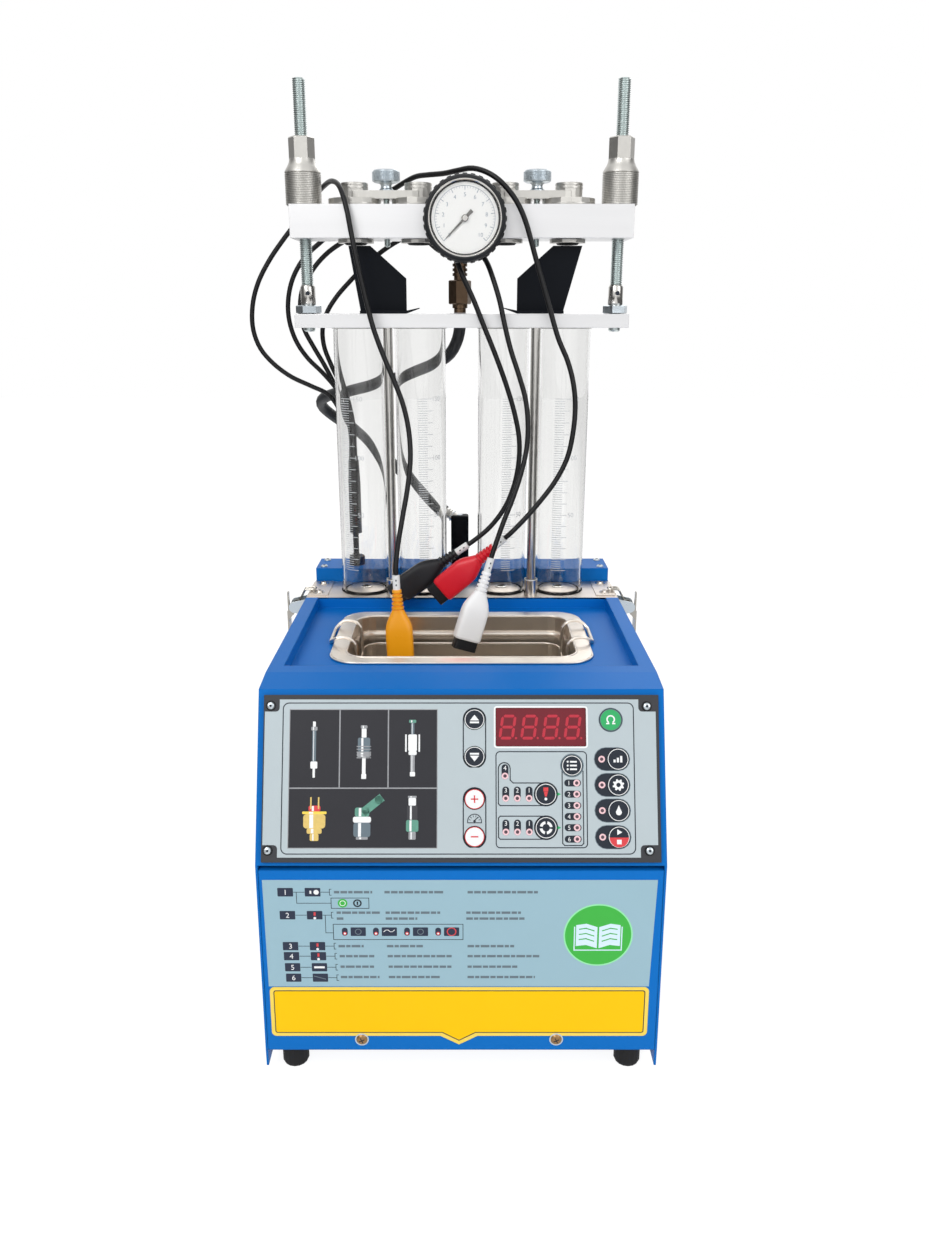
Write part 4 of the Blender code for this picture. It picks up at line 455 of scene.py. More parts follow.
FILM = film("panel_film", srgb(181, 193, 198), 0.38)
LOWER_FILM = film("chart_film", srgb(150, 184, 198), 0.4)
YELLOW = film("yellow_film", srgb(252, 200, 0), 0.36, 0.06, 0.15)
DIAL_WHITE = Finish("dial_white", srgb(238, 238, 236), 0.4, mottle=0.02, mottle_size=0.01, grain=0.00001)
PALE_YELLOW = ink("yellow_rim", srgb(246, 214, 84), 0.03, 0.04, 0.36)
# A dark printing ink, also used as painted shade in the sockets, slots and holes of screws and sleeves.
INK_AND_RECESS_SHADE = ink("dark_ink_and_recess_shade", srgb(32, 39, 50), 0.1, 0.004, shine=0.3)
PALE_INK = ink("white_ink", srgb(238, 240, 241), 0.03, 0.004)
GREY_INK = ink("grey_ink", srgb(98, 114, 124), 0.1, 0.003, 0.45)
MID_INK = ink("mid_grey_ink", srgb(150, 152, 156), 0.25, 0.003)
NIGHT = ink("picture_ground", srgb(46, 46, 51), 0.06, 0.02, 0.4, 0.25)
NIGHT_INK = ink("night_ink", srgb(52, 52, 58), 0.2, 0.003)
NAVY = ink("navy_ink", srgb(14, 30, 58), 0.08, 0.004, 0.4)
RED_INK = ink("red_ink", srgb(214, 60, 66), 0.06, 0.004)
GREEN_INK = ink("green_ink", srgb(40, 168, 96), 0.05, 0.004)
SIGN_GREEN = ink("sign_green", srgb(52, 178, 58), 0.03, 0.02, 0.4)
PALE_GREEN = ink("pale_green_ink", srgb(150, 232, 172), 0.03, 0.01)
TEAL_INK = ink("teal_ink", srgb(92, 150, 132), 0.2, 0.003, 0.45)
GOLD_INK = ink("gold_ink", srgb(222, 192, 110), 0.2, 0.003, 0.4)
CHART_WHITE = ink("chart_white", srgb(214, 236, 250), 0.02, 0.01)
LAMP_RING = ink("lamp_ring", srgb(236, 196, 202), 0.04, 0.003, 0.4)
LAMP_DARK = Finish("lamp_window", srgb(84, 62, 72), 0.25, mottle=0.1, mottle_size=0.002, coat=0.4)
DISPLAY = ink("display_filter", srgb(112, 24, 38), 0.05, 0.02, 0.2, 0.4)
SEGMENT = Finish("display_segment", srgb(182, 36, 56), 0.3, mottle=0.05, mottle_size=0.004, glow=0.05)
BOARD = ink("solder_mask", srgb(26, 110, 76), 0.1, 0.003, 0.4)
MARKER = ink("marker_sleeve", srgb(236, 237, 236), 0.04, 0.004, 0.5)
NEEDLE_PAINT = ink("needle_paint", srgb(112, 110, 108), 0.1, 0.03, 0.45)
SCALE_INK = ink("tube_scale_ink", srgb(200, 203, 204), 0.02, 0.03, 0.45)
DIAL_INK = ink("dial_ink", srgb(150, 158, 170), 0.05, 0.03, 0.45)


def at(x: float = 0.0, y: float = 0.0, z: float = 0.0) -> Matrix:
    """A move, in metres."""
    return Matrix.Translation((x, y, z))


def rotated(degrees: float, axis: str = "Z") -> Matrix:
    """A turn about an axis."""
    return Matrix.Rotation(math.radians(degrees), 4, axis)


def mirrored(side: float) -> Matrix:
    """A mirror across X where side is negative."""
    return Matrix.Diagonal((side, 1, 1, 1))


def leaning(y: float, z: float, out: float, up: float) -> Matrix:
    """A leaning panel's frame, with X across it, Y up it and Z out of it.

    Args:
        y: The place of its foot along Y.
        z: The height of its foot.
        out: The cosine of its lean.
        up: The sine of its lean.

    Returns:
        The frame.
    """
    return at(0.0, y, z) @ Matrix(((1, 0, 0), (0, out, -up), (0, up, out))).to_4x4()


SLOPE = leaning(-0.2017, 0.1911, 0.39555, 0.91845)
LOWER = leaning(-0.21, 0.025, 0.05126, 0.99869)
UPRIGHT = rotated(90, "X")
BACKWARD = rotated(-90, "X")


def polar(radius: float, angle: float, centre: Pair = (0.0, 0.0)) -> Pair:
    """The point at a radius and an angle in radians."""
    return centre[0] + radius * math.cos(angle), centre[1] + radius * math.sin(angle)


def box(low: Pair, high: Pair) -> list[Pair]:
    """A rectangle's outline."""
    return [low, (high[0], low[1]), high, (low[0], high[1])]


def rounded(low: Pair, high: Pair, radius: float, steps: int = 4) -> list[Pair]:
    """A rectangle's outline with round corners.

    Args:
        low: The lower left corner.
        high: The upper right corner.
        radius: The corners' radius.
        steps: The chords of each corner.

    Returns:
        The outline, anticlockwise.
    """
    (left, foot), (right, top) = (low[0] + radius, low[1] + radius), (high[0] - radius, high[1] - radius)
    middles = ((right, top), (left, top), (left, foot), (right, foot))
    return [
        polar(radius, math.pi / 2 * (corner + step / steps), middle)
        for corner, middle in enumerate(middles) for step in range(steps + 1)
    ]


def circle(centre: Pair, radius: float, sides: int = 32, start: float = 0, turn: float = 360) -> list[Pair]:
    """Points on a circle or on an arc.

    Args:
        centre: Its middle.
        radius: Its radius.
        sides: The number of chords.
        start: The first point's angle in degrees.
        turn: The angle that it covers in degrees.

    Returns:
        The points, without a double end on a full circle.
    """
    count = sides if abs(turn) >= 360 else sides + 1
    return [polar(radius, math.radians(start + turn * i / sides), centre) for i in range(count)]


def band(radii: Pair, sides: int, start: float, turn: float, centre: Pair = (0.0, 0.0)) -> list[Pair]:
    """The outline of a part of a ring.

    Args:
        radii: The outer and the inner radius.
        sides: The chords of each arc.
        start: The first angle in degrees.
        turn: The angle that it covers in degrees.
        centre: Its middle.

    Returns:
        The outline.
    """
    outer, inner = (circle(centre, radius, sides, start, turn) for radius in radii)
    return [*outer, *inner[::-1]]


def gear(outer: float, inner: float, teeth: int) -> list[Pair]:
    """A toothed wheel's outline.

    Args:
        outer: The radius over the teeth.
        inner: The radius between them.
        teeth: Their number.

    Returns:
        The outline.
    """
    corners = [(tooth + share, radius) for tooth in range(teeth) for share, radius in (
        (0.0, inner), (0.2, outer), (0.5, outer), (0.7, inner)
    )]
    return [polar(radius, 2 * math.pi * place / teeth) for place, radius in corners]


def rib(foot: float, radius: float, depth: float, heights: Point) -> list[Pair]:
    """The profile of one rib of a sleeve and the groove over it.

    Args:
        foot: The rib's lower end.
        radius: Its radius.
        depth: The groove's depth.
        heights: The top of the rib and the two ends of the groove, above the foot.

    Returns:
        The profile's four points.
    """
    top, low, high = heights
    return [(radius, foot), (radius, foot + top), (radius - depth, foot + low), (radius - depth, foot + high)]


def level_line(points: Iterable[Pair], height: float) -> list[Vector]:
    """Points at one height."""
    return [Vector((x, y, height)) for x, y in points]


class Shape:
    """Makes single closed solids with bmesh operators."""

    @staticmethod
    def _closed(shape: Solid, merge: float = 0.0) -> Solid:
        """Joins double points and turns the faces outwards.

        Args:
            shape: The solid.
            merge: Points nearer than this are joined, none at 0.

        Returns:
            The solid.
        """
        if merge:
            bmesh.ops.remove_doubles(shape, verts=shape.verts[:], dist=merge)
        bmesh.ops.recalc_face_normals(shape, faces=shape.faces[:])
        return shape

    @staticmethod
    def _loop(shape: Solid, points: Iterable[Point]) -> list[bmesh.types.BMEdge]:
        """Adds a closed line of edges through points."""
        verts = [shape.verts.new(point) for point in points]
        return [shape.edges.new(pair) for pair in zip(verts, verts[1:] + verts[:1])]

    @staticmethod
    def disc(radius: float, low: float, high: float, sides: int = 32) -> Solid:
        """A cylinder along Z between two heights.

        Args:
            radius: Its radius.
            low: Its lower end.
            high: Its upper end.
            sides: Its faces.

        Returns:
            The solid.
        """
        shape = bmesh.new()
        bmesh.ops.create_cone(
            shape, cap_ends=True, segments=sides, radius1=radius, radius2=radius, depth=high - low,
            matrix=at(0, 0, (low + high) / 2),
        )
        return shape

    @staticmethod
    def block(low: Point, high: Point, round_edge: float = 0.0, segments: int = 2) -> Solid:
        """A block between two corners, its edges rounded if asked.

        Args:
            low: The corner with the smallest measures.
            high: The corner with the largest measures.
            round_edge: The radius of the edges.
            segments: The steps of each round edge.

        Returns:
            The solid.
        """
        shape = bmesh.new()
        size = Vector(high) - Vector(low)
        place = Matrix.Translation((Vector(low) + Vector(high)) / 2) @ Matrix.Diagonal((*size, 1))
        bmesh.ops.create_cube(shape, size=1.0, matrix=place)
        if round_edge:
            bmesh.ops.bevel(
                shape, geom=shape.edges[:], offset=round_edge, segments=segments, profile=0.5, affect="EDGES",
                material=-1,
            )
        return shape

    @staticmethod
    def turned(profile: Sequence[Pair], steps: int, ring: bool = False, turn: float = 360.0) -> Solid:
        """Radii and heights spun about Z into a closed solid.

        Args:
            profile: The radii and heights in order.
            steps: The chords round the axis.
            ring: Whether the profile closes on itself.
            turn: The angle in degrees, less than 360 for a sector.

        Returns:
            The solid.
        """
        shape = bmesh.new()
        verts = [shape.verts.new((radius, 0.0, height)) for radius, height in profile]
        full = turn >= 360
        if full:
            pairs = zip(verts, verts[1:] + verts[:1] if ring else verts[1:])
            geometry = verts + [shape.edges.new(pair) for pair in pairs]
        else:
            face = shape.faces.new(verts)
            geometry = [face, *verts, *face.edges]
        bmesh.ops.spin(
            shape, geom=geometry, cent=(0, 0, 0), axis=(0, 0, 1), angle=math.radians(turn), steps=steps,
            use_merge=full,
        )
        return Shape._closed(shape, 0.000002)

    @staticmethod
    def collar(inner: float, outer: float, low: float, high: float, steps: int) -> Solid:
        """A plain ring with flat ends."""
        return Shape.turned(box((inner, low), (outer, high)), steps, ring=True)

    @staticmethod
    def plate(outline: Outline, low: float, high: float, holes: Iterable[Outline] = ()) -> Solid:
        """A flat outline, with any holes, raised from one height to another.

        Args:
            outline: The outer line.
            low: The underside's height.
            high: The top's height.
            holes: The lines of the holes.

        Returns:
            The solid.
        """
        shape = bmesh.new()
        edges = []
        for line in (outline, *holes):
            edges += Shape._loop(shape, ((x, y, low) for x, y in line))
        bmesh.ops.triangle_fill(shape, use_beauty=True, use_dissolve=False, edges=edges)
        raised = bmesh.ops.extrude_face_region(shape, geom=shape.faces[:])
        tops = [item for item in raised["geom"] if isinstance(item, bmesh.types.BMVert)]
        bmesh.ops.translate(shape, verts=tops, vec=(0, 0, high - low))
        return Shape._closed(shape)

    @staticmethod
    def _from_curve(curve: bpy.types.Curve, merge: float) -> Solid:
        """Turns a thick curve or text into a solid.

        Args:
            curve: The curve or text.
            merge: Points nearer than this are joined.

        Returns:
            The solid.
        """
        guide = bpy.data.objects.new("guide", curve)
        bpy.context.scene.collection.objects.link(guide)
        bpy.context.view_layer.update()
        mesh = bpy.data.meshes.new_from_object(guide.evaluated_get(bpy.context.evaluated_depsgraph_get()))
        bpy.data.objects.remove(guide, do_unlink=True)
        shape = bmesh.new()
        shape.from_mesh(mesh)
        bpy.data.meshes.remove(mesh)
        return Shape._closed(shape, merge)

    @staticmethod
    def text(words: str, height: float, low: float, high: float, centre: Pair) -> Solid:
        """Plain numbers or marks, raised from one height to another.

        Args:
            words: The characters.
            height: The height of a capital.
            low: The underside's height.
            high: The top's height.
            centre: The middle of the word.

        Returns:
            The solid.
        """
        curve = bpy.data.curves.new("words", "FONT")
        curve.body = words
        curve.size = height / 0.7
        curve.align_x = "CENTER"
        curve.extrude = (high - low) / 2
        curve.resolution_u = 3
        shape = Shape._from_curve(curve, 0.000001)
        middle = (centre[0], centre[1] - height / 2, (low + high) / 2)
        bmesh.ops.translate(shape, verts=shape.verts[:], vec=middle)
        return shape

    @staticmethod
    def wire(points: Sequence[Vector], diameter: float, sides: int = 12, loop: bool = False) -> Solid:
        """A round wire along points.

        Args:
            points: The middle line.
            diameter: The wire's diameter.
            sides: The faces round it, an even number.
            loop: Whether it closes on itself.

        Returns:
            The solid.
        """
        curve = bpy.data.curves.new("wire", "CURVE")
        curve.dimensions = "3D"
        curve.bevel_depth = diameter / 2
        curve.bevel_resolution = sides // 2 - 2
        curve.use_fill_caps = not loop
        curve.twist_mode = "MINIMUM"
        spline = curve.splines.new("POLY")
        spline.points.add(len(points) - 1)
        for point, place in zip(spline.points, points):
            point.co = (*place, 1.0)
        spline.use_cyclic_u = loop
        return Shape._from_curve(curve, 0.000002)

    @staticmethod
    def lofted(sections: Sequence[tuple[float, ...]], sides: int) -> Solid:
        """A skin over sections along Z, closed at both ends.

        Args:
            sections: The height, the two half widths and the squareness of each, 2 for an ellipse.
            sides: The points of each section.

        Returns:
            The solid.
        """
        shape = bmesh.new()
        loops = []
        for height, half_x, half_y, square in sections:
            points = []
            for x, y in circle((0.0, 0.0), 1.0, sides):
                across, along = (math.copysign(abs(part) ** (2 / square), part) for part in (x, y))
                points.append((half_x * across, half_y * along, height))
            loops.append(Shape._loop(shape, points))
        for low, high in zip(loops, loops[1:]):
            bmesh.ops.bridge_loops(shape, edges=low + high)
        bmesh.ops.holes_fill(shape, edges=loops[0] + loops[-1])
        return Shape._closed(shape)

    @staticmethod
    def knurled(radius: float, low: float, high: float, columns: int, rows: int, depth: float) -> Solid:
        """A cylinder whose side is cut into small raised diamonds.

        Args:
            radius: The radius over the diamonds.
            low: The lower end.
            high: The upper end.
            columns: The diamonds round it.
            rows: The diamonds along it.
            depth: The depth of the grooves.

        Returns:
            The solid.
        """
        rise = (high - low) / rows
        side = [(radius - depth, low + rise * row) for row in range(rows + 1)]
        shape = Shape.turned([(0.0, low), *side, (0.0, high)], columns)
        faces = [face for face in shape.faces if abs(face.normal.z) < 0.5]
        width = rise * 0.22
        bmesh.ops.inset_individual(shape, faces=faces, thickness=width, depth=depth, use_even_offset=True)
        return shape

    @staticmethod
    def thread(radius: float, depth: float, pitch: float, low: float, high: float, steps: int) -> Solid:
        """A screw thread as one spiral surface round a core, with flat ends.

        Args:
            radius: The radius over the crests.
            depth: The depth of the thread.
            pitch: The rise of one turn.
            low: The lower end.
            high: The upper end.
            steps: The chords of each turn.

        Returns:
            The solid.
        """
        shape = bmesh.new()
        turns = math.ceil((high - low) / pitch) + 2
        start = low - pitch * 1.5
        profile = []
        for foot in (start + pitch * count for count in range(turns)):
            profile += [(radius - depth, foot), (radius, foot + pitch * 0.42), (radius, foot + pitch * 0.58)]
        profile.append((radius - depth, start + pitch * turns))
        verts = [shape.verts.new((reach, 0.0, height)) for reach, height in profile]
        edges = [shape.edges.new(pair) for pair in zip(verts, verts[1:])]
        bmesh.ops.spin(
            shape, geom=verts + edges, cent=(0, 0, 0), axis=(0, 0, 1), dvec=(0, 0, pitch / steps),
            angle=2 * math.pi, steps=steps, use_merge=False,
        )
        bmesh.ops.remove_doubles(shape, verts=shape.verts[:], dist=0.000005)
        for height, below in ((low, True), (high, False)):
            geometry = shape.verts[:] + shape.edges[:] + shape.faces[:]
            bmesh.ops.bisect_plane(
                shape, geom=geometry, dist=0.000001, plane_co=(0, 0, height), plane_no=(0, 0, 1),
                clear_inner=below, clear_outer=not below,
            )
        bmesh.ops.holes_fill(shape, edges=[edge for edge in shape.edges if edge.is_boundary])
        return Shape._closed(shape)


class Workpiece:
    """One named piece, gathered from closed solids."""

    def __init__(self, name: str, place: Matrix | None = None) -> None:
        """Starts an empty piece.

        Args:
            name: Its name.
            place: The frame that its solids are made in.
        """
        self.name = name
        self.place = Matrix() if place is None else place
        self.bmesh = bmesh.new()
        self.finishes: list[Finish] = []

    def add(self, shape: Solid, finish: Finish, place: Matrix | None = None) -> Workpiece:
        """Takes a solid into the piece.

        Args:
            shape: The solid, which is used up.
            finish: Its finish.
            place: Where it goes in the piece's frame.

        Returns:
            The piece itself.
        """
        frame = self.place if place is None else self.place @ place
        shape.transform(frame)
        if frame.determinant() < 0:
            bmesh.ops.reverse_faces(shape, faces=shape.faces[:])
        if finish not in self.finishes:
            self.finishes.append(finish)
        for face in shape.faces:
            face.material_index = self.finishes.index(finish)
            face.smooth = True
        mesh = bpy.data.meshes.new("solid")
        shape.to_mesh(mesh)
        shape.free()
        self.bmesh.from_mesh(mesh)
        bpy.data.meshes.remove(mesh)
        return self

    def turn(
        self, finish: Finish, steps: int, *profile: Pair, place: Matrix | None = None, ring: bool = False
    ) -> Workpiece:
        """Takes in a turned solid, or a ring whose profile closes on itself.

        Args:
            finish: Its finish.
            steps: The chords round its axis.
            *profile: The radii and heights in order.
            place: Where it goes in the piece's frame.
            ring: Whether it is a ring.

        Returns:
            The piece itself.
        """
        return self.add(Shape.turned(profile, steps, ring), finish, place)

    def made(self, angle: float = 35.0) -> bpy.types.Object:
        """Makes the object at the origin, with edges sharper than angle kept sharp.

        Args:
            angle: The angle in degrees.

        Returns:
            The object.
        """
        mesh = bpy.data.meshes.new(self.name)
        self.bmesh.to_mesh(mesh)
        self.bmesh.free()
        for finish in self.finishes:
            mesh.materials.append(finish.material())
        mesh.set_sharp_from_angle(angle=math.radians(angle))
        obj = bpy.data.objects.new(self.name, mesh)
        bpy.context.scene.collection.objects.link(obj)
        LOG.info("%s: %d faces", self.name, len(mesh.polygons))
        return obj

    def on(self, body: Body | str, slot: str, *nodes: str) -> bpy.types.Object:
        """Makes the object and lets it ride.

        Args:
            body: The body that it rides on.
            slot: The record's material slot; not used.
            *nodes: The CAD nodes that it stands for.

        Returns:
            The object.
        """
        obj = self.made()
        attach(obj, body.value if isinstance(body, Body) else body)
        if nodes:
            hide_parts(*nodes)
        return obj


def frame_from(origin: Sequence[float], forward: Sequence[float], face: Sequence[float]) -> Matrix:
    """A frame whose Z runs forward and whose Y is the side nearest to face.

    Args:
        origin: The frame's origin.
        forward: The way that Z runs.
        face: The way that Y looks, as nearly as it can.

    Returns:
        The frame.
    """
    z_axis = Vector(forward).normalized()
    x_axis = Vector(face).cross(z_axis).normalized()
    return Matrix.Translation(origin) @ Matrix((x_axis, z_axis.cross(x_axis), z_axis)).transposed().to_4x4()


def smooth_route(points: Sequence[Vector], step: float) -> list[Vector]:
    """Points at an even step on a centripetal curve through a route.

    Args:
        points: The route.
        step: The distance between the points.

    Returns:
        The points, both ends among them.
    """
    ends = [points[0] * 2 - points[1], *points, points[-1] * 2 - points[-2]]
    dense = []
    for i in range(1, len(ends) - 2):
        p0, p1, p2, p3 = ends[i - 1 : i + 3]
        t1 = (p1 - p0).length ** 0.5
        t2 = t1 + (p2 - p1).length ** 0.5
        t3 = t2 + (p3 - p2).length ** 0.5
        for count in range(12):
            t = t1 + (t2 - t1) * count / 12
            share = (t - t1) / (t2 - t1)
            a1, a2, a3 = p0.lerp(p1, t / t1), p1.lerp(p2, share), p2.lerp(p3, (t - t2) / (t3 - t2))
            dense.append(a1.lerp(a2, t / t2).lerp(a2.lerp(a3, (t - t1) / (t3 - t1)), share))
    dense.append(points[-1])
    total = sum((b - a).length for a, b in zip(dense, dense[1:]))
    spans = max(2, round(total / step))
    placed, walked = [dense[0]], 0.0
    for a, b in zip(dense, dense[1:]):
        run = (b - a).length
        while len(placed) < spans and walked + run >= total * len(placed) / spans:
            placed.append(a.lerp(b, (total * len(placed) / spans - walked) / run))
        walked += run
    return [*placed, dense[-1]]


@dataclass(frozen=True)
class Studio:
    """The camera, the white surroundings and the lights.

    Attributes:
        lens: The focal length in millimetres.
        eye: The camera's place.
        pitch: The camera's tilt in degrees, 90 for level.
        target: What the lamps point at.
        lamps: Each lamp's name, place, size and power.
        floor_size: Half the floor's width.
    """

    lens: float = 29.06
    eye: Point = (0.0026, -0.8847, 0.6067)
    pitch: float = 72.524
    target: Point = (0.0, 0.0, 0.4)
    lamps: tuple[tuple[str, Point, float, float], ...] = (
        ("key_light", (-1.1, -1.9, 2.1), 1.3, 26.0), ("fill_light", (1.7, -1.3, 1.3), 1.4, 12.0),
        ("back_light", (0.4, 1.8, 1.9), 1.4, 10.0),
    )
    floor_size: float = 6.0

    def build(self) -> None:
        """Makes all of them."""
        scene = bpy.context.scene
        scene.view_settings.view_transform = "Standard"
        lens = bpy.data.cameras.new("camera")
        lens.lens = self.lens
        camera = bpy.data.objects.new("camera", lens)
        camera.location = self.eye
        camera.rotation_euler = (math.radians(self.pitch), 0.0, 0.0)
        scene.collection.objects.link(camera)
        scene.camera = camera
        self._surroundings(scene)
        for name, place, size, power in self.lamps:
            lamp = bpy.data.lights.new(name, "AREA")
            lamp.size = size
            lamp.energy = power
            obj = bpy.data.objects.new(name, lamp)
            obj.location = place
            obj.rotation_euler = (Vector(place) - Vector(self.target)).to_track_quat("Z", "Y").to_euler()
            scene.collection.objects.link(obj)
        self._floor()

    @staticmethod
    def _surroundings(scene: bpy.types.Scene) -> None:
        """White for the camera, darker as a light, and dark at the sides for mirrors and glass.

        Args:
            scene: The scene that they surround.
        """
        world = bpy.data.worlds.new("white_studio")
        world.use_nodes = True
        scene.world = world
        graph = Graph.of_tree(world.node_tree)
        white, mirrored, through = graph.rays()
        shade = graph.ramp(graph.sideways(graph.node("ShaderNodeTexCoord").outputs["Generated"]), 0.55, 0.95)
        strength = 0.66 + white * 0.34 - shade * (mirrored * 0.86 - through * 0.5)
        graph.feed_node(graph.tree.nodes["Background"], {"Color": (1.0, 1.0, 1.0, 1.0), "Strength": strength})

    def _floor(self) -> None:
        """A white floor with a soft shadow, dark at the sides for mirrors and glass only."""
        graph = Graph("white_floor")
        graph.set(base_color=srgb(250, 250, 250), roughness=0.9)
        white, mirrored, through = graph.rays()
        glow = graph.node("ShaderNodeEmission", None, {"Color": (1.0, 1.0, 1.0, 1.0), "Strength": 1.15})
        dark = graph.node("ShaderNodeEmission", None, {"Strength": 0.12})
        shade = (mirrored - through * 0.8).clamped() * graph.ramp(graph.sideways(graph.place()), 0.5, 1.1)
        surface = graph.shader
        for share, other in ((white * 0.8, glow), (shade, dark)):
            inputs = {0: share, 1: surface.outputs[0], 2: other.outputs[0]}
            surface = graph.node("ShaderNodeMixShader", None, inputs)
        graph.feed_node(graph.tree.nodes["Material Output"], {"Surface": surface.outputs[0]})
        shape = bmesh.new()
        bmesh.ops.create_grid(shape, x_segments=1, y_segments=1, size=self.floor_size)
        mesh = bpy.data.meshes.new("floor")
        shape.to_mesh(mesh)
        shape.free()
        mesh.materials.append(graph.material)
        floor = bpy.data.objects.new("floor", mesh)
        bpy.context.scene.collection.objects.link(floor)


CONNECTOR = (-0.118, 0.18575)  # the lead connector's middle, across and back
PORT = (-0.0025, 0.18575, 0.382)  # the middle of the hose's port
PORT_WAY = (-0.80, 0.33, 0.50)
LEAD_SIZE = 0.0048
HOSE_SIZE = 0.012

# The free middle of each lead and of the hose, in millimetres.
LEAD_ROUTES = {
    "lead_1": (
        (-122.5, 191, 479), (-130, 194.5, 500), (-141, 194.5, 516), (-159, 194, 525), (-180, 193, 535),
        (-198, 192, 549), (-210, 192, 564), (-216, 192, 583), (-215, 192, 606), (-208, 192, 628),
        (-195, 192, 650), (-180, 191, 669), (-163, 188, 688), (-147, 178, 706), (-132, 158, 716),
        (-121, 132, 717), (-111.5, 109, 709), (-105, 98, 690), (-101, 95.5, 668), (-95.5, 92, 640),
        (-89, 90, 611), (-82, 88, 584), (-73, 84, 560), (-63, 79, 537), (-55, 74, 516), (-50, 69, 493),
        (-48.5, 62, 468), (-51, 55, 443), (-56, 47, 415), (-60.5, 39, 389),
    ),
    "lead_2": (
        (-117, 189, 479), (-122, 196.5, 500), (-132, 199.5, 520), (-147, 200.5, 538), (-162, 200, 553),
        (-173, 199, 570), (-179, 198, 590), (-179, 196, 610), (-173, 195, 632), (-160, 194, 652),
        (-141, 192, 668), (-116, 188, 687), (-89, 180, 703), (-67, 166, 713), (-53, 152, 719),
        (-43, 141, 722), (-31, 128, 722), (-16, 117, 722), (-3, 108, 723.5), (9, 101, 724.5),
        (21, 94, 721), (32, 89, 714.5), (43, 87, 704), (51.5, 86, 692), (58, 86, 678), (68, 85, 646),
        (79, 83, 611), (90, 79, 576), (98.5, 76, 557), (104, 73, 538), (106.5, 71, 517), (105, 68, 492),
        (100, 66, 468), (89, 64, 446), (74, 62, 426), (60, 60, 410),
    ),
    "lead_3": (
        (-120, 185, 479), (-125, 185.5, 503), (-133, 187, 526), (-143, 189, 546), (-154, 190, 565),
        (-163, 190, 583), (-166, 190, 602), (-163, 190, 621), (-151, 190, 641), (-136, 188, 656),
        (-118, 184, 667), (-99, 178, 674), (-79, 173, 677), (-60, 171, 677), (-44, 170, 674),
        (-32, 166, 665), (-23, 156, 657.5), (-15, 140, 655), (-8, 118, 652), (-4.5, 104, 646),
        (0, 98, 634), (11, 97, 611), (21, 96, 587), (32, 95, 561), (43, 94, 532), (51, 93, 506),
        (55.5, 92, 483), (55.5, 91, 461), (51, 90.5, 437), (42, 90.5, 415), (27, 90.5, 395),
    ),
    "lead_4": (
        (-115, 183, 479), (-118.5, 180, 504), (-126, 178.5, 527), (-135, 180, 547), (-142, 182, 566),
        (-143, 184, 583), (-138, 185, 599), (-128, 186, 614), (-114, 187, 629), (-97, 188, 645),
        (-79, 189, 659), (-62, 190, 669), (-46, 189, 675), (-32, 185, 675), (-21, 178, 668),
        (-14.5, 168, 660), (-7, 155, 656), (4, 137, 655), (13, 122, 653.5), (19.5, 111, 650),
        (24, 103, 643), (29, 96, 630), (35, 91, 611), (40, 87, 589), (46, 84, 566), (53.5, 80, 544),
        (60, 76, 522), (62.5, 72, 500), (61.5, 68, 477), (56, 62, 453), (48, 55, 430), (39, 49, 408),
    ),
}
HOSE_ROUTE = (
    (-4.5, 172.2, 573), (-12.5, 174.5, 558.5), (-28, 178, 548.5), (-48, 183, 541), (-72, 189, 532.5),
    (-96, 198, 525), (-119, 210, 519.5), (-139, 222, 514.5), (-153, 236, 508), (-156, 251, 499),
    (-147, 262, 488), (-129, 266, 475), (-107, 259, 461), (-88, 250, 444), (-69, 238, 428),
    (-50, 222, 413),
)


def route(points: Iterable[Point]) -> list[Vector]:
    """Points given in millimetres."""
    return [Vector(point) * MM for point in points]


@dataclass(frozen=True)
class Cord:
    """A free lead or hose.

    Attributes:
        name: The piece's name.
        node: The CAD node that it stands for.
        line: Its middle line.
        diameter: Its outer diameter.
        length: Its real length; not used.
        far_end: What the far end is; not used.
        slot: The record's slot; not used.
        finish: Its sheath.
        stiffness: How stiff it is; not used.
    """

    name: str
    node: str
    line: tuple[Vector, ...]
    diameter: float
    length: float
    far_end: str
    slot: str
    finish: Finish
    stiffness: str = "limp"

    @staticmethod
    def smoothed(points: Sequence[Vector], step: float) -> tuple[Vector, ...]:
        """A route as an even line with straight ends.

        Args:
            points: The route, its first two and last two points straight.
            step: The distance between the line's points.

        Returns:
            The line.
        """
        straight = (points[1] - points[0]).length + step / 4
        middle = [
            point for point in smooth_route(points, step)
            if min((point - points[0]).length, (point - points[-1]).length) > straight
        ]
        return (*points[:2], *middle, *points[-2:])

    def build(self, start: Point, end: Point, pieces: Sequence[bpy.types.Object] = ()) -> None:
        """Makes the sheath as one wire along its line.

        Args:
            start: A point on the bench; not used.
            end: A point on the bar; not used.
            pieces: The separate pieces on the cord; not used.
        """
        obj = Workpiece(self.name).add(Shape.wire(self.line, self.diameter, 16), self.finish).made(60)
        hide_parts(self.node)
        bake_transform(obj)


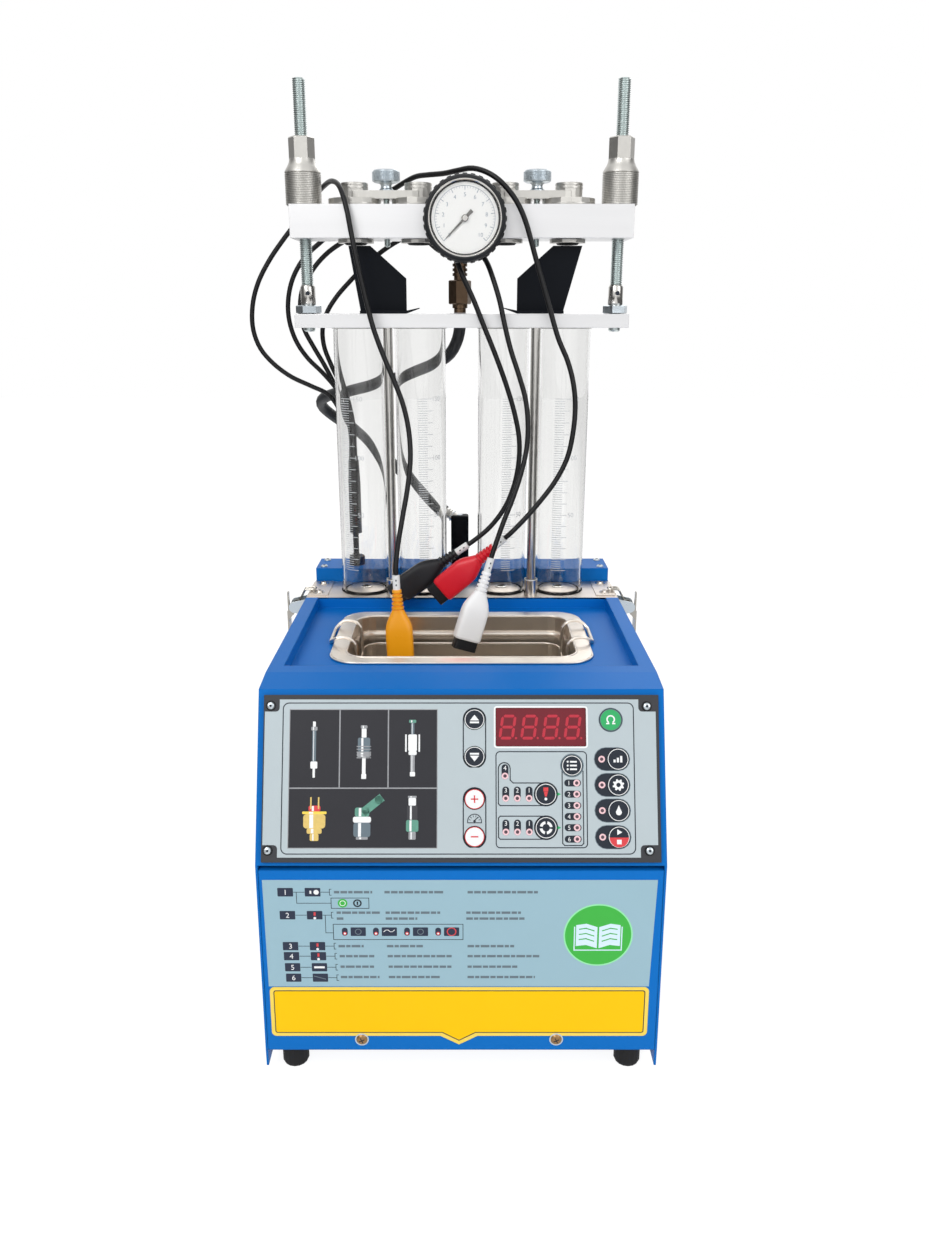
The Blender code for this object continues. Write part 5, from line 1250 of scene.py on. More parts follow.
@dataclass(frozen=True)
class Plug:
    """An injector plug at the end of its lead.

    Attributes:
        colour: The word for its colour, as in the node's name.
        finish: The body's plastic.
        lead: The lead that it ends.
        corner: Where its lead leaves the connector, left or right and front or back.
        tail: The tail's place.
        forward: The way it points.
        face: The side that its flat face turns to.
        length: The lead's real length.
        spread: How far the leads leave from the connector's middle.
        bend: Two points along its lead, handed on to the lead's sheath.
    """

    colour: str
    finish: Finish
    lead: str
    corner: tuple[int, int]
    tail: Point
    forward: Point
    face: Point
    length: float
    spread: float = 0.0027
    bend: tuple[Point, Point] = ((0, -0.882 * 0.052, 0.471 * 0.052), (0, -0.882 * 0.097, 0.471 * 0.097))

    def build(self) -> None:
        """Makes the plug and its lead."""
        back = -Vector(self.forward).normalized()
        across, back_from = (middle + side * self.spread for middle, side in zip(CONNECTOR, self.corner))
        root = Vector((across, back_from, 0.4527))
        end = Vector(self.tail) + back * SEAT_GAP
        middle = route(LEAD_ROUTES[self.lead])
        points = [root, root + Vector((0, 0, LEAD_SIZE)), *middle, end + back * LEAD_SIZE, end]
        line = Cord.smoothed(points, LEAD_SIZE)
        plug = self._plug()
        looks = ("plug", "lead_sheath", SHEATH)
        cord = Cord(f"{self.lead}_sheath", self.lead, line, LEAD_SIZE, self.length, *looks)
        cord.build(*self.bend, [plug])

    def _plug(self) -> bpy.types.Object:
        """Makes the marked sleeve, the ribbed boot, the body, the two blades and the shroud.

        Returns:
            The plug.
        """
        work = Workpiece(f"{self.colour}_injector_plug", frame_from(self.tail, self.forward, self.face))
        sleeve = ((0, 0.0004), (0.0027, 0.0004), (0.0027, 0), (0.0035, 0.0002), (0.0035, 0.0144), (0, 0.0144))
        work.turn(MARKER, 24, *sleeve)
        for height in (0.004, 0.0085):
            work.add(Shape.block((-0.0006, 0.0028, height), (0.0006, 0.00355, height + 0.0016)), INK_AND_RECESS_SHADE)
        profile = [(0, 0.014), (0.0042, 0.014)]
        for ring in range(5):
            profile += rib(0.0148 + 0.0039 * ring, 0.0045 + 0.00033 * ring, 0.0013, (0.0021, 0.0024, 0.0036))
        work.turn(self.finish, 28, *profile, (0.0058, 0.035), (0, 0.035))
        sections = (
            (0.0336, 0.0058, 0.005, 2), (0.036, 0.0068, 0.0056, 2.1), (0.04, 0.0088, 0.0063, 2.4),
            (0.0445, 0.011, 0.0071, 2.8), (0.049, 0.0124, 0.0077, 3.4), (0.053, 0.0129, 0.008, 4),
            (0.06, 0.013, 0.008, 4.6), (0.0795, 0.013, 0.008, 5), (0.0812, 0.0127, 0.0077, 5),
            (0.082, 0.012, 0.007, 5),
        )
        work.add(Shape.lofted(sections, 56), self.finish)
        for low, high in ((-0.003, -0.0014), (0.0014, 0.003)):
            work.add(Shape.block((low, 0.0074, 0.057), (high, 0.00805, 0.059), 0.0002), self.finish)
            work.add(Shape.block((low, -0.0008, 0.083), (high, 0.0008, 0.0916)), BRASS)
        outer = rounded((-0.011, -0.006), (0.011, 0.006), 0.0018)
        inner = rounded((-0.0094, -0.0044), (0.0094, 0.0044), 0.0012)
        work.add(Shape.plate(outer, 0.0815, 0.092, [inner]), BLACK_PLASTIC)
        work.add(Shape.plate(inner, 0.0815, 0.0832), BLACK_PLASTIC)
        return work.on(Body.BAR, f"plug_{self.colour}", f"plug_{self.colour}")


@dataclass(frozen=True)
class Harness:
    """The plugs with their leads, the lead connector and the hose.

    Attributes:
        plugs: The four plugs.
        hose_top: Where the hose leaves its fitting.
        hose_length: The hose's real length.
        hose_bend: Two points along the hose, handed on to its sheath.
    """

    plugs: tuple[Plug, ...] = (
        Plug(
            "yellow", PLUG_YELLOW, "lead_1", (-1, 1), (-0.0625, 0.033, 0.362), (0.045, -0.09, -1),
            (0, -1, 0.1), 0.77,
        ),
        Plug(
            "red", PLUG_RED, "lead_2", (1, 1), (0.0415, 0.0585, 0.392), (-0.74, 0.12, -0.66),
            (-0.1, -0.95, 0.05), 0.83,
        ),
        Plug(
            "black", PLUG_BLACK, "lead_3", (-1, -1), (0.006, 0.0905, 0.378), (-0.82, 0, -0.57),
            (-0.05, -0.98, 0.1), 0.71,
        ),
        Plug(
            "white", PLUG_WHITE, "lead_4", (1, -1), (0.028, 0.043, 0.376), (-0.29, -0.17, -0.94),
            (0.25, -0.95, 0.1), 0.68,
        ),
    )
    hose_top: Point = (-0.002, 0.1716, 0.59835)
    hose_length: float = 0.426
    hose_bend: tuple[Point, Point] = ((0, 0, 0.4), (0, 0, 0.58))

    def build(self) -> None:
        """Makes all of them."""
        for plug in self.plugs:
            plug.build()
        self._hose()
        self._connector()
        self._hose_block()

    def _hose(self) -> None:
        """The hose from the fitting under the gauge to the block."""
        top = Vector(self.hose_top)
        outward = Vector(PORT_WAY).normalized()
        end = Vector(PORT) + outward * 0.0198
        points = [top, top - Vector((0, 0, HOSE_SIZE)), *route(HOSE_ROUTE), end + outward * HOSE_SIZE, end]
        line = Cord.smoothed(points, HOSE_SIZE / 2)
        looks = ("object", "black_rubber", HOSE_RUBBER, "medium")
        Cord("fluid_hose", "hose", line, HOSE_SIZE, self.hose_length, *looks).build(*self.hose_bend)

    @staticmethod
    def _connector() -> None:
        """The plug of the four leads with its ribbed boot, on the rear box."""
        work = Workpiece("lead_connector_boot", at(*CONNECTOR))
        body = ((0, 0.3349), (0.011, 0.3349), (0.011, 0.3425), (0.0102, 0.3439), (0, 0.3439))
        work.turn(BLACK_PLASTIC, 28, *body)
        work.add(Shape.knurled(0.0108, 0.3362, 0.3415, 36, 2, 0.0004), BLACK_PLASTIC)
        profile = [(0, 0.3436), (0.006, 0.3436), (0.004, 0.346)]
        for ring in range(9):
            profile += rib(0.3466 + 0.0025 * ring, 0.004, 0.0009, (0.0014, 0.0017, 0.0024))
        profile.append((0.004, 0.3696))
        for ring in range(28):
            radius = 0.0083 - 0.00016 * max(0, ring - 19)
            profile += rib(0.37 + 0.00285 * ring, radius, 0.0011, (0.0016, 0.002, 0.0027))
        work.turn(RUBBER, 28, *profile, (0.0066, 0.4512), (0.006, 0.4524), (0, 0.4524))
        work.on(Body.BENCH, "black_plastic", "lead_connector")

    @staticmethod
    def _hose_block() -> None:
        """The block that the hose plugs into, on the rear box."""
        work = Workpiece("hose_inlet_block")
        work.add(Shape.block((-0.012, 0.17775, 0.3349), (0.007, 0.19375, 0.389), 0.0022, 3), BLACK_PAINT)
        work.add(Shape.block((-0.0105, 0.1774, 0.34), (0.0055, 0.178, 0.384), 0.0002), BLACK_PAINT)
        work.add(Shape.disc(0.003, 0, 0.0006, 24), ZINC, at(PORT[0], PORT[1], 0.3888))
        work.place = frame_from(PORT, PORT_WAY, (0, -1, 0))
        profile = [(0, 0), (0.0055, 0), (0.0055, 0.01)]
        for ring in range(3):
            foot = 0.0104 + 0.0028 * ring
            profile += [(0.0055, foot), (0.0047, foot + 0.0023)]
        work.turn(CAST_METAL, 24, *profile, (0.0047, 0.0194), (0, 0.0194))
        work.turn(ZINC, 6, (0, 0.0098), (0.0068, 0.0098), (0.0068, 0.0104), (0, 0.0104))
        work.on(Body.BENCH, "black_plastic", "hose_block")


class Overlay:
    """Flat prints on one surface, placed in millimetres across it and up it.

    Levels count in layers of print from the undersides up.
    """

    def __init__(self, name: str, place: Matrix, base: float) -> None:
        """Starts a piece.

        Args:
            name: The piece's name.
            place: The surface's frame.
            base: The height of the prints' undersides, in metres.
        """
        self.work = Workpiece(name, place)
        self.base = base

    def area(self, outline: Outline, finish: Finish, level: float = 1, holes: Iterable[Outline] = ()) -> None:
        """Prints a filled outline.

        Args:
            outline: The outer line.
            finish: The ink.
            level: The height of its top, in layers.
            holes: The lines of the holes.
        """
        lines = [[(x * MM, y * MM) for x, y in line] for line in (outline, *holes)]
        self.work.add(Shape.plate(lines[0], self.base, self.base + level * PRINT, lines[1:]), finish)

    def bar(self, low: Pair, high: Pair, finish: Finish, level: float = 1, radius: float = 0.0) -> None:
        """Prints a rectangle, its corners rounded if asked."""
        self.area(rounded(low, high, radius) if radius else box(low, high), finish, level)

    def border(
        self, low: Pair, high: Pair, width: float, radius: float, finish: Finish, level: float = 1
    ) -> None:
        """Prints a rounded line round a rectangle."""
        inside = ((low[0] + width, low[1] + width), (high[0] - width, high[1] - width))
        self.area(rounded(low, high, radius, 8), finish, level, [rounded(*inside, radius - width, 8)])

    def dot(self, centre: Pair, radius: float, finish: Finish, level: float = 1, sides: int = 24) -> None:
        """Prints a disc."""
        self.area(circle(centre, radius, sides), finish, level)

    def ring(self, centre: Pair, radius: float, width: float, finish: Finish, level: float = 1) -> None:
        """Prints a ring."""
        self.area(circle(centre, radius, 40), finish, level, [circle(centre, radius - width, 40)])

    def line(self, points: Sequence[Pair], width: float, finish: Finish, level: float = 1) -> None:
        """Prints a thin line.

        Args:
            points: The points that it runs through.
            width: Its width.
            finish: The ink.
            level: The height of its top, in layers.
        """
        for (x0, y0), (x1, y1) in zip(points, points[1:]):
            reach = math.hypot(x1 - x0, y1 - y0)
            ax, ay = (x1 - x0) / reach * width / 2, (y1 - y0) / reach * width / 2
            corners = [(x0 - ax + ay, y0 - ay - ax), (x1 + ax + ay, y1 + ay - ax)]
            corners += [(x1 + ax - ay, y1 + ay + ax), (x0 - ax - ay, y0 - ay + ax)]
            self.area(corners, finish, level)

    def words(self, words: str, centre: Pair, height: float, finish: Finish, level: float = 3) -> None:
        """Prints plain numbers or signs."""
        middle = (centre[0] * MM, centre[1] * MM)
        self.work.add(Shape.text(words, height * MM, self.base, self.base + level * PRINT, middle), finish)

    def light(self, centre: Pair) -> None:
        """Prints a small lamp's window with its pale ring."""
        self.ring(centre, 2.6, 1.3, LAMP_RING, 3)
        self.dot(centre, 1.35, LAMP_DARK, 4)


class Sign(Enum):
    """The sign on a key, as the ink, level, outline and holes of each part, about the key's middle."""

    UP = ((PALE_INK, 4, [(-3.6, -0.8), (3.6, -0.8), (0, 3.6)]), (PALE_INK, 4, box((-3.6, -3), (3.6, -1.6))))
    DOWN = ((PALE_INK, 4, [(-3.6, 0.8), (0, -3.6), (3.6, 0.8)]), (PALE_INK, 4, box((-3.6, 1.6), (3.6, 3))))
    PLUS = ((RED_INK, 4, box((-2.9, -0.5), (2.9, 0.5))), (RED_INK, 4, box((-0.5, -2.9), (0.5, 2.9))))
    MINUS = ((RED_INK, 4, box((-2.9, -0.5), (2.9, 0.5))),)
    HORSESHOE = (
        (PALE_INK, 4, band((3.4, 2.3), 28, -58, 296, (0, 0.4))),
        *((PALE_INK, 4, box((left, -3.4), (left + 2.5, -2.3))) for left in (1.1, -3.6)),
    )
    STEPS = tuple(
        (PALE_INK, 4, box((left, -2.5), (left + 1.7, top)))
        for left, top in ((-3.6, -0.3), (-1, 1.1), (1.6, 2.5))
    )
    LIST = tuple(
        (PALE_INK, 4, part) for y in (-2.9, 0, 2.9)
        for part in (box((-1.6, y - 0.65), (3.8, y + 0.65)), circle((-3.4, y), 0.8, 12))
    )
    GEAR = ((PALE_INK, 4, gear(4.6, 3.5, 8), circle((0, 0), 1.7)),)
    DROP = ((PALE_INK, 4, [*circle((0, -1.3), 2.3, 20, -225, 270), (0, 4.2)]),)
    PLAY = (
        (RED_INK, 4, circle((0, -0.3), 7.5, 28, 180, 180)),
        (PALE_INK, 5, [(-1.5, 1.6), (2.4, 3.8), (-1.5, 6)]), (PALE_INK, 5, box((-1.8, -5.4), (1.8, -1.9))),
    )
    NOZZLE = (
        (RED_INK, 4, box((-1.9, 2.2), (1.9, 5.2))),
        (RED_INK, 4, [(-1.6, 2), (-0.7, -1.8), (0.7, -1.8), (1.6, 2)]),
        (PALE_INK, 4, circle((0, -3.7), 1.1, 16)),
    )
    CYCLE = tuple((PALE_INK, 4, band((5, 2.9), 8, start, 68)) for start in (8, 98, 188, 278))


@dataclass(frozen=True)
class Key:
    """A key's face.

    Attributes:
        name: The key's node and body.
        centre: Its place on the panel.
        radius: Its radius.
        ground: Its colour.
        sign: The sign on it.
        slot: The record's slot.
    """

    name: str
    centre: Pair
    radius: float
    ground: Finish
    sign: Sign
    slot: str = "key_grey"

    def build(self) -> None:
        """Makes the face, which moves with the key."""
        overlay = Overlay(f"{self.name}_face", SLOPE @ at(self.centre[0] * MM, self.centre[1] * MM), 0.00362)
        overlay.dot((0, 0), self.radius - 0.15, self.ground, 2, 40)
        rim = {INK_AND_RECESS_SHADE: PALE_INK, PALE_INK: RED_INK}.get(self.ground, GREY_INK)
        overlay.ring((0, 0), self.radius - 0.15, 0.55, rim, 3)
        for ink_used, level, outline, *holes in self.sign.value:
            overlay.area(outline, ink_used, level, holes)
        overlay.work.on(self.name, self.slot)


@dataclass(frozen=True)
class ControlPanel:
    """The film, prints, display and keys on the slope, in millimetres across it and up it.

    Attributes:
        keys: The twelve keys.
        screws: The places of the screws in the corners.
        film: The film's left, right, lower and upper edge.
        pictures: Each picture's middle, its foot, and the height, half width and ink of its parts.
        rows: The top, foot and places across of each row of numbered pills, with their numbers.
    """

    keys: tuple[Key, ...] = (
        Key("key_up", (10.4, 113.2), 7.8, INK_AND_RECESS_SHADE, Sign.UP), Key("key_down", (10.4, 84.2), 7.8, INK_AND_RECESS_SHADE, Sign.DOWN),
        Key("key_plus", (10.4, 51.5), 7.8, PALE_INK, Sign.PLUS),
        Key("key_minus", (10.4, 22.7), 7.8, PALE_INK, Sign.MINUS),
        Key("key_test", (117.2, 112.8), 8.7, GREEN_INK, Sign.HORSESHOE, "key_green"),
        Key("key_mode", (122.5, 82.3), 8.2, INK_AND_RECESS_SHADE, Sign.STEPS),
        Key("key_settings", (122.5, 62.4), 8.2, INK_AND_RECESS_SHADE, Sign.GEAR),
        Key("key_lamp", (122.5, 42.7), 8.2, INK_AND_RECESS_SHADE, Sign.DROP),
        Key("key_start", (122.5, 22.4), 8.2, INK_AND_RECESS_SHADE, Sign.PLAY),
        Key("key_function", (86.5, 77.4), 7.8, INK_AND_RECESS_SHADE, Sign.LIST),
        Key("key_spray", (65.9, 55.3), 8.2, INK_AND_RECESS_SHADE, Sign.NOZZLE),
        Key("key_cycle", (65.9, 29.6), 8.2, INK_AND_RECESS_SHADE, Sign.CYCLE),
    )
    screws: tuple[Pair, ...] = ((-149.4, 123.9), (145.7, 123.4), (-149.9, 12.1), (146, 12))
    film: tuple[float, float, float, float] = (-154, 152.6, 6.8, 128.8)
    pictures: tuple[tuple, ...] = (
        (-115, 68, (
            (7, 0.9, PALE_INK), (5.5, 2.7, PALE_INK), (24, 1.5, GREY_INK), (3, 2.4, MID_INK),
            (4, 1.1, PALE_INK),
        )),
        (-76, 67, (
            (4, 1.9, PALE_INK), (13, 1.4, PALE_INK), (4, 5.4, MID_INK), (11, 4.8, GREY_INK),
            (7, 1.9, PALE_INK), (2.6, 2.6, MID_INK),
        )),
        (-38, 69, (
            (3.5, 2, PALE_INK), (13, 1.7, MID_INK), (3, 3.2, PALE_INK), (13, 3.4, PALE_INK),
            (9, 1.3, GREY_INK), (2.4, 2.8, TEAL_INK),
        )),
        (-114, 19.5, (
            (5.5, 3.4, GOLD_INK), (4, 5.8, GOLD_INK), (11, 8.6, GOLD_INK), (2, 9.4, PALE_YELLOW),
            (4.5, 4.6, RED_INK),
        )),
        (-77, 20.5, ((2, 4.6, MID_INK), (11, 6.6, GREY_INK), (4.5, 7, PALE_INK), (7, 5.6, TEAL_INK))),
        (-38, 20.5, (
            (6, 2.8, MID_INK), (9, 4.8, TEAL_INK), (11, 4, NIGHT_INK), (6, 2.9, PALE_INK),
            (1.5, 3.4, MID_INK),
        )),
    )
    rows: tuple[tuple, ...] = (
        (58.3, 52.1, (34.7, 43.7, 52.9), "321"), (32.9, 26.3, (34.7, 43.7, 52.9), "321"),
        (75.5, 69.3, (34.2,), "4"),
    )

    def build(self) -> None:
        """Makes all of it."""
        self._film()
        self._display()
        overlay = Overlay("control_panel_prints", SLOPE, 0.00341)
        overlay.border((-140, 9.1), (135.5, 126.4), 0.8, 5, INK_AND_RECESS_SHADE)
        self._pictures(overlay)
        self._outlines(overlay)
        overlay.work.on(Body.BENCH, "frame_grey")
        self._screws()
        for key in self.keys:
            key.build()

    def _film(self) -> None:
        """The pale film with its notched corners."""
        film = Overlay("control_panel_film", SLOPE, 0.00312)
        left, right, foot, top = self.film
        outline = [
            (left + 11.5, foot), (right - 13.5, foot), (right - 13.5, foot + 6),
            *circle((right - 10.5, foot + 6.5), 3, 5, 180, -90), (right, foot + 9.5),
            (right, top - 9.5), *circle((right - 10.5, top - 6.5), 3, 5, -90, -90), (right - 13.5, top),
            (left + 11.5, top), *circle((left + 8.5, top - 6.5), 3, 5, 0, -90), (left, top - 9.5),
            (left, foot + 9.5), *circle((left + 8.5, foot + 6.5), 3, 5, 90, -90),
        ]
        holes = [circle(key.centre, key.radius + 0.5, 40) for key in self.keys]
        holes.append(rounded((26.8, 92), (98, 122.4), 1.6))
        film.area(outline, FILM, 0.0003 / PRINT, holes)
        film.work.on(Body.BENCH, "frame_grey")

    @staticmethod
    def _display() -> None:
        """The dark red filter with four digits of slanted segments."""
        display = Overlay("display_filter", SLOPE, 0.00232)
        display.bar((27, 92.2), (97.8, 122.2), DISPLAY, 5, 1.4)
        lean, half = math.tan(math.radians(8)), 1.1
        flat = [(0, up, 4.4, False) for up in (8.6, 0, -8.6)]
        upright = [(across, up, 3.9, True) for up in (4.3, -4.3) for across in (-4.9, 4.9)]
        for x, y in ((36.4 + 17.0 * digit, 107.2) for digit in range(4)):
            for across, up, long, stands in (*flat, *upright):
                ends = [(-long, 0), (half - long, half), (long - half, half), (long, 0), (long - half, -half)]
                points = [(-v, u) if stands else (u, v) for u, v in (*ends, (half - long, -half))]
                display.area([(x + across + u + (up + v) * lean, y + up + v) for u, v in points], SEGMENT, 6)
            display.dot((x + 6.6, y - 8.6), 0.9, SEGMENT, 6, 16)
        display.work.on(Body.BENCH, "frame_grey")

    def _pictures(self, overlay: Overlay) -> None:
        """Six plain fittings on a dark ground.

        Args:
            overlay: The piece that takes the prints.
        """
        overlay.bar((-134.6, 13.7), (-18.4, 121.2), MID_INK)
        overlay.bar((-134, 14.3), (-19, 120.6), NIGHT, 2)
        overlay.bar((-134, 59.4), (-19, 60.4), MID_INK, 3)
        for x in (-95, -57):
            overlay.bar((x - 0.5, 59.9), (x + 0.5, 120.6), MID_INK, 3)
        for x, foot, parts in self.pictures:
            for height, half, ink_used in parts:
                overlay.bar((x - half, foot), (x + half, foot + height), ink_used, 3, min(height, half) * 0.3)
                overlay.bar((x - half * 0.45, foot + 0.3), (x - half * 0.1, foot + height - 0.3), PALE_INK, 4)
                foot += height
        for left, right in ((-81.7, -70.4), (-72.1, -71.2)):
            for y in (83.0 + 2.2 * step for step in range(5)):
                overlay.bar((left, y), (right, y + 0.7), MID_INK, 5)
        for x, low, high, width, ink_used in (
            (-43.8, 88, 101.5, 1.2, PALE_INK), (-33.4, 88, 101.5, 1.2, PALE_INK),
            (-117.4, 44, 53, 1.1, GOLD_INK), (-111.4, 44, 53, 1.1, GOLD_INK),
        ):
            overlay.bar((x, low), (x + width, high), ink_used, 4)
        overlay.line([(-74, 43), (-64, 51)], 6.4, TEAL_INK, 3)
        overlay.dot((-64, 51), 3.2, TEAL_INK, 3)

    def _outlines(self, overlay: Overlay) -> None:
        """The lines, numbers, lamps and small signs round the keys.

        Args:
            overlay: The piece that takes the prints.
        """
        overlay.border((25.6, 90.8), (99.2, 123.6), 1.3, 2.4, PALE_INK, 2)
        for low, high in ((75, 122.4), (13.5, 60.7)):
            overlay.border((1.2, low), (19.6, high), 0.9, 9.2, INK_AND_RECESS_SHADE)
        self._dial_sign(overlay, 10.4, 34.6)
        overlay.border((26.8, 13.9), (98.3, 88.5), 0.8, 3.5, INK_AND_RECESS_SHADE)
        column = [(79, 73.4), (78.7, 72.8), (78.7, 17.6), (80.3, 16)]
        column += [(93.4, 16), (95, 17.6), (95, 72.8), (94.6, 73.4)]
        overlay.line(column, 0.8, INK_AND_RECESS_SHADE)
        overlay.ring((86.5, 77.4), 9.2, 0.95, GREY_INK, 2)
        for number, y in enumerate((63.9, 55.3, 46.6, 38.1, 29.6, 20.9), 1):
            overlay.bar((80.3, y - 2.7), (93.4, y + 2.7), INK_AND_RECESS_SHADE, 2, 2.65)
            overlay.words(str(number), (83.9, y), 3.3, PALE_INK)
            overlay.light((90, y))
        hook = [(65.9, 46.5), (30.4, 46.5), (29, 47.9), *circle((33.6, 75), 4.6, 10, 180, -180)]
        overlay.line([*hook, (38.2, 66.2), (40.6, 63.9), (65.9, 63.9)], 0.8, INK_AND_RECESS_SHADE)
        overlay.line([(65.9, 38.4), (30.4, 38.4), (29, 37), (29, 22.2), (30.4, 20.8), (65.9, 20.8)], 0.8, INK_AND_RECESS_SHADE)
        for top, foot, places, numbers in self.rows:
            for x, number in zip(places, numbers):
                overlay.bar((x - 2.7, foot - 2.7), (x + 2.7, top + 2.9), INK_AND_RECESS_SHADE, 2, 2.65)
                overlay.words(number, (x, top), 3.5, PALE_INK)
                overlay.light((x, foot))
        for y in (55.3, 29.6):
            overlay.ring((65.9, y), 9.4, 0.75, INK_AND_RECESS_SHADE, 2)
            overlay.area([(75.2, y - 1.3), (77.6, y), (75.2, y + 1.3)], GREEN_INK, 2)
            overlay.bar((74.2, y - 0.5), (75.4, y + 0.5), GREEN_INK, 2)
        for y in (82.3, 62.4, 42.7, 22.4):
            hole = [circle((122.5, y), 8.65, 40)]
            overlay.area(rounded((103.6, y - 9.2), (132, y + 9.2), 9.15), GREY_INK, 1, hole)
            overlay.area(rounded((104.2, y - 8.75), (131.4, y + 8.75), 8.7), INK_AND_RECESS_SHADE, 2, hole)
            overlay.light((109.7, y))
        overlay.ring((117.2, 112.8), 9.5, 0.5, GREY_INK, 2)

    @staticmethod
    def _dial_sign(overlay: Overlay, x: float, y: float) -> None:
        """A small half dial.

        Args:
            overlay: The piece that takes the prints.
            x: Its middle, across.
            y: Its middle, up.
        """
        for radius, low, ink_used, level in ((5.7, 1.6, INK_AND_RECESS_SHADE, 2), (5, 0.9, FILM, 3)):
            arc = circle((x, y), radius, 24, 0, 180)
            overlay.area([*arc, (x - radius, y - low), (x + radius, y - low)], ink_used, level)
        for angle in map(math.radians, range(15, 180, 30)):
            overlay.line([polar(3.4, angle, (x, y)), polar(4.4, angle, (x, y))], 0.5, INK_AND_RECESS_SHADE, 4)
        overlay.line([(x - 0.6, y - 0.2), (x + 2.4, y + 2.8)], 0.7, INK_AND_RECESS_SHADE, 4)
        overlay.dot((x, y), 1, INK_AND_RECESS_SHADE, 5)

    def _screws(self) -> None:
        """The four screws in the corners of the frame."""
        work = Workpiece("control_panel_screws")
        dome = ((0, 0), (0.003, 0), (0.003, 0.0009), (0.0026, 0.0016), (0.0017, 0.002), (0, 0.002))
        for x, y in self.screws:
            work.place = SLOPE @ at(x * MM, y * MM, 0.0031)
            work.turn(BLACK_PLASTIC, 28, (0, 0), (0.004, 0), (0.0038, 0.0004), (0, 0.0004))
            work.turn(ZINC, 24, *dome)
            # A dark hex disc on the dome stands for the socket: painted shade in the recess.
            work.add(Shape.disc(0.0011, 0.0019, 0.00206, 6), INK_AND_RECESS_SHADE)
        work.on(Body.BENCH, "zinc")


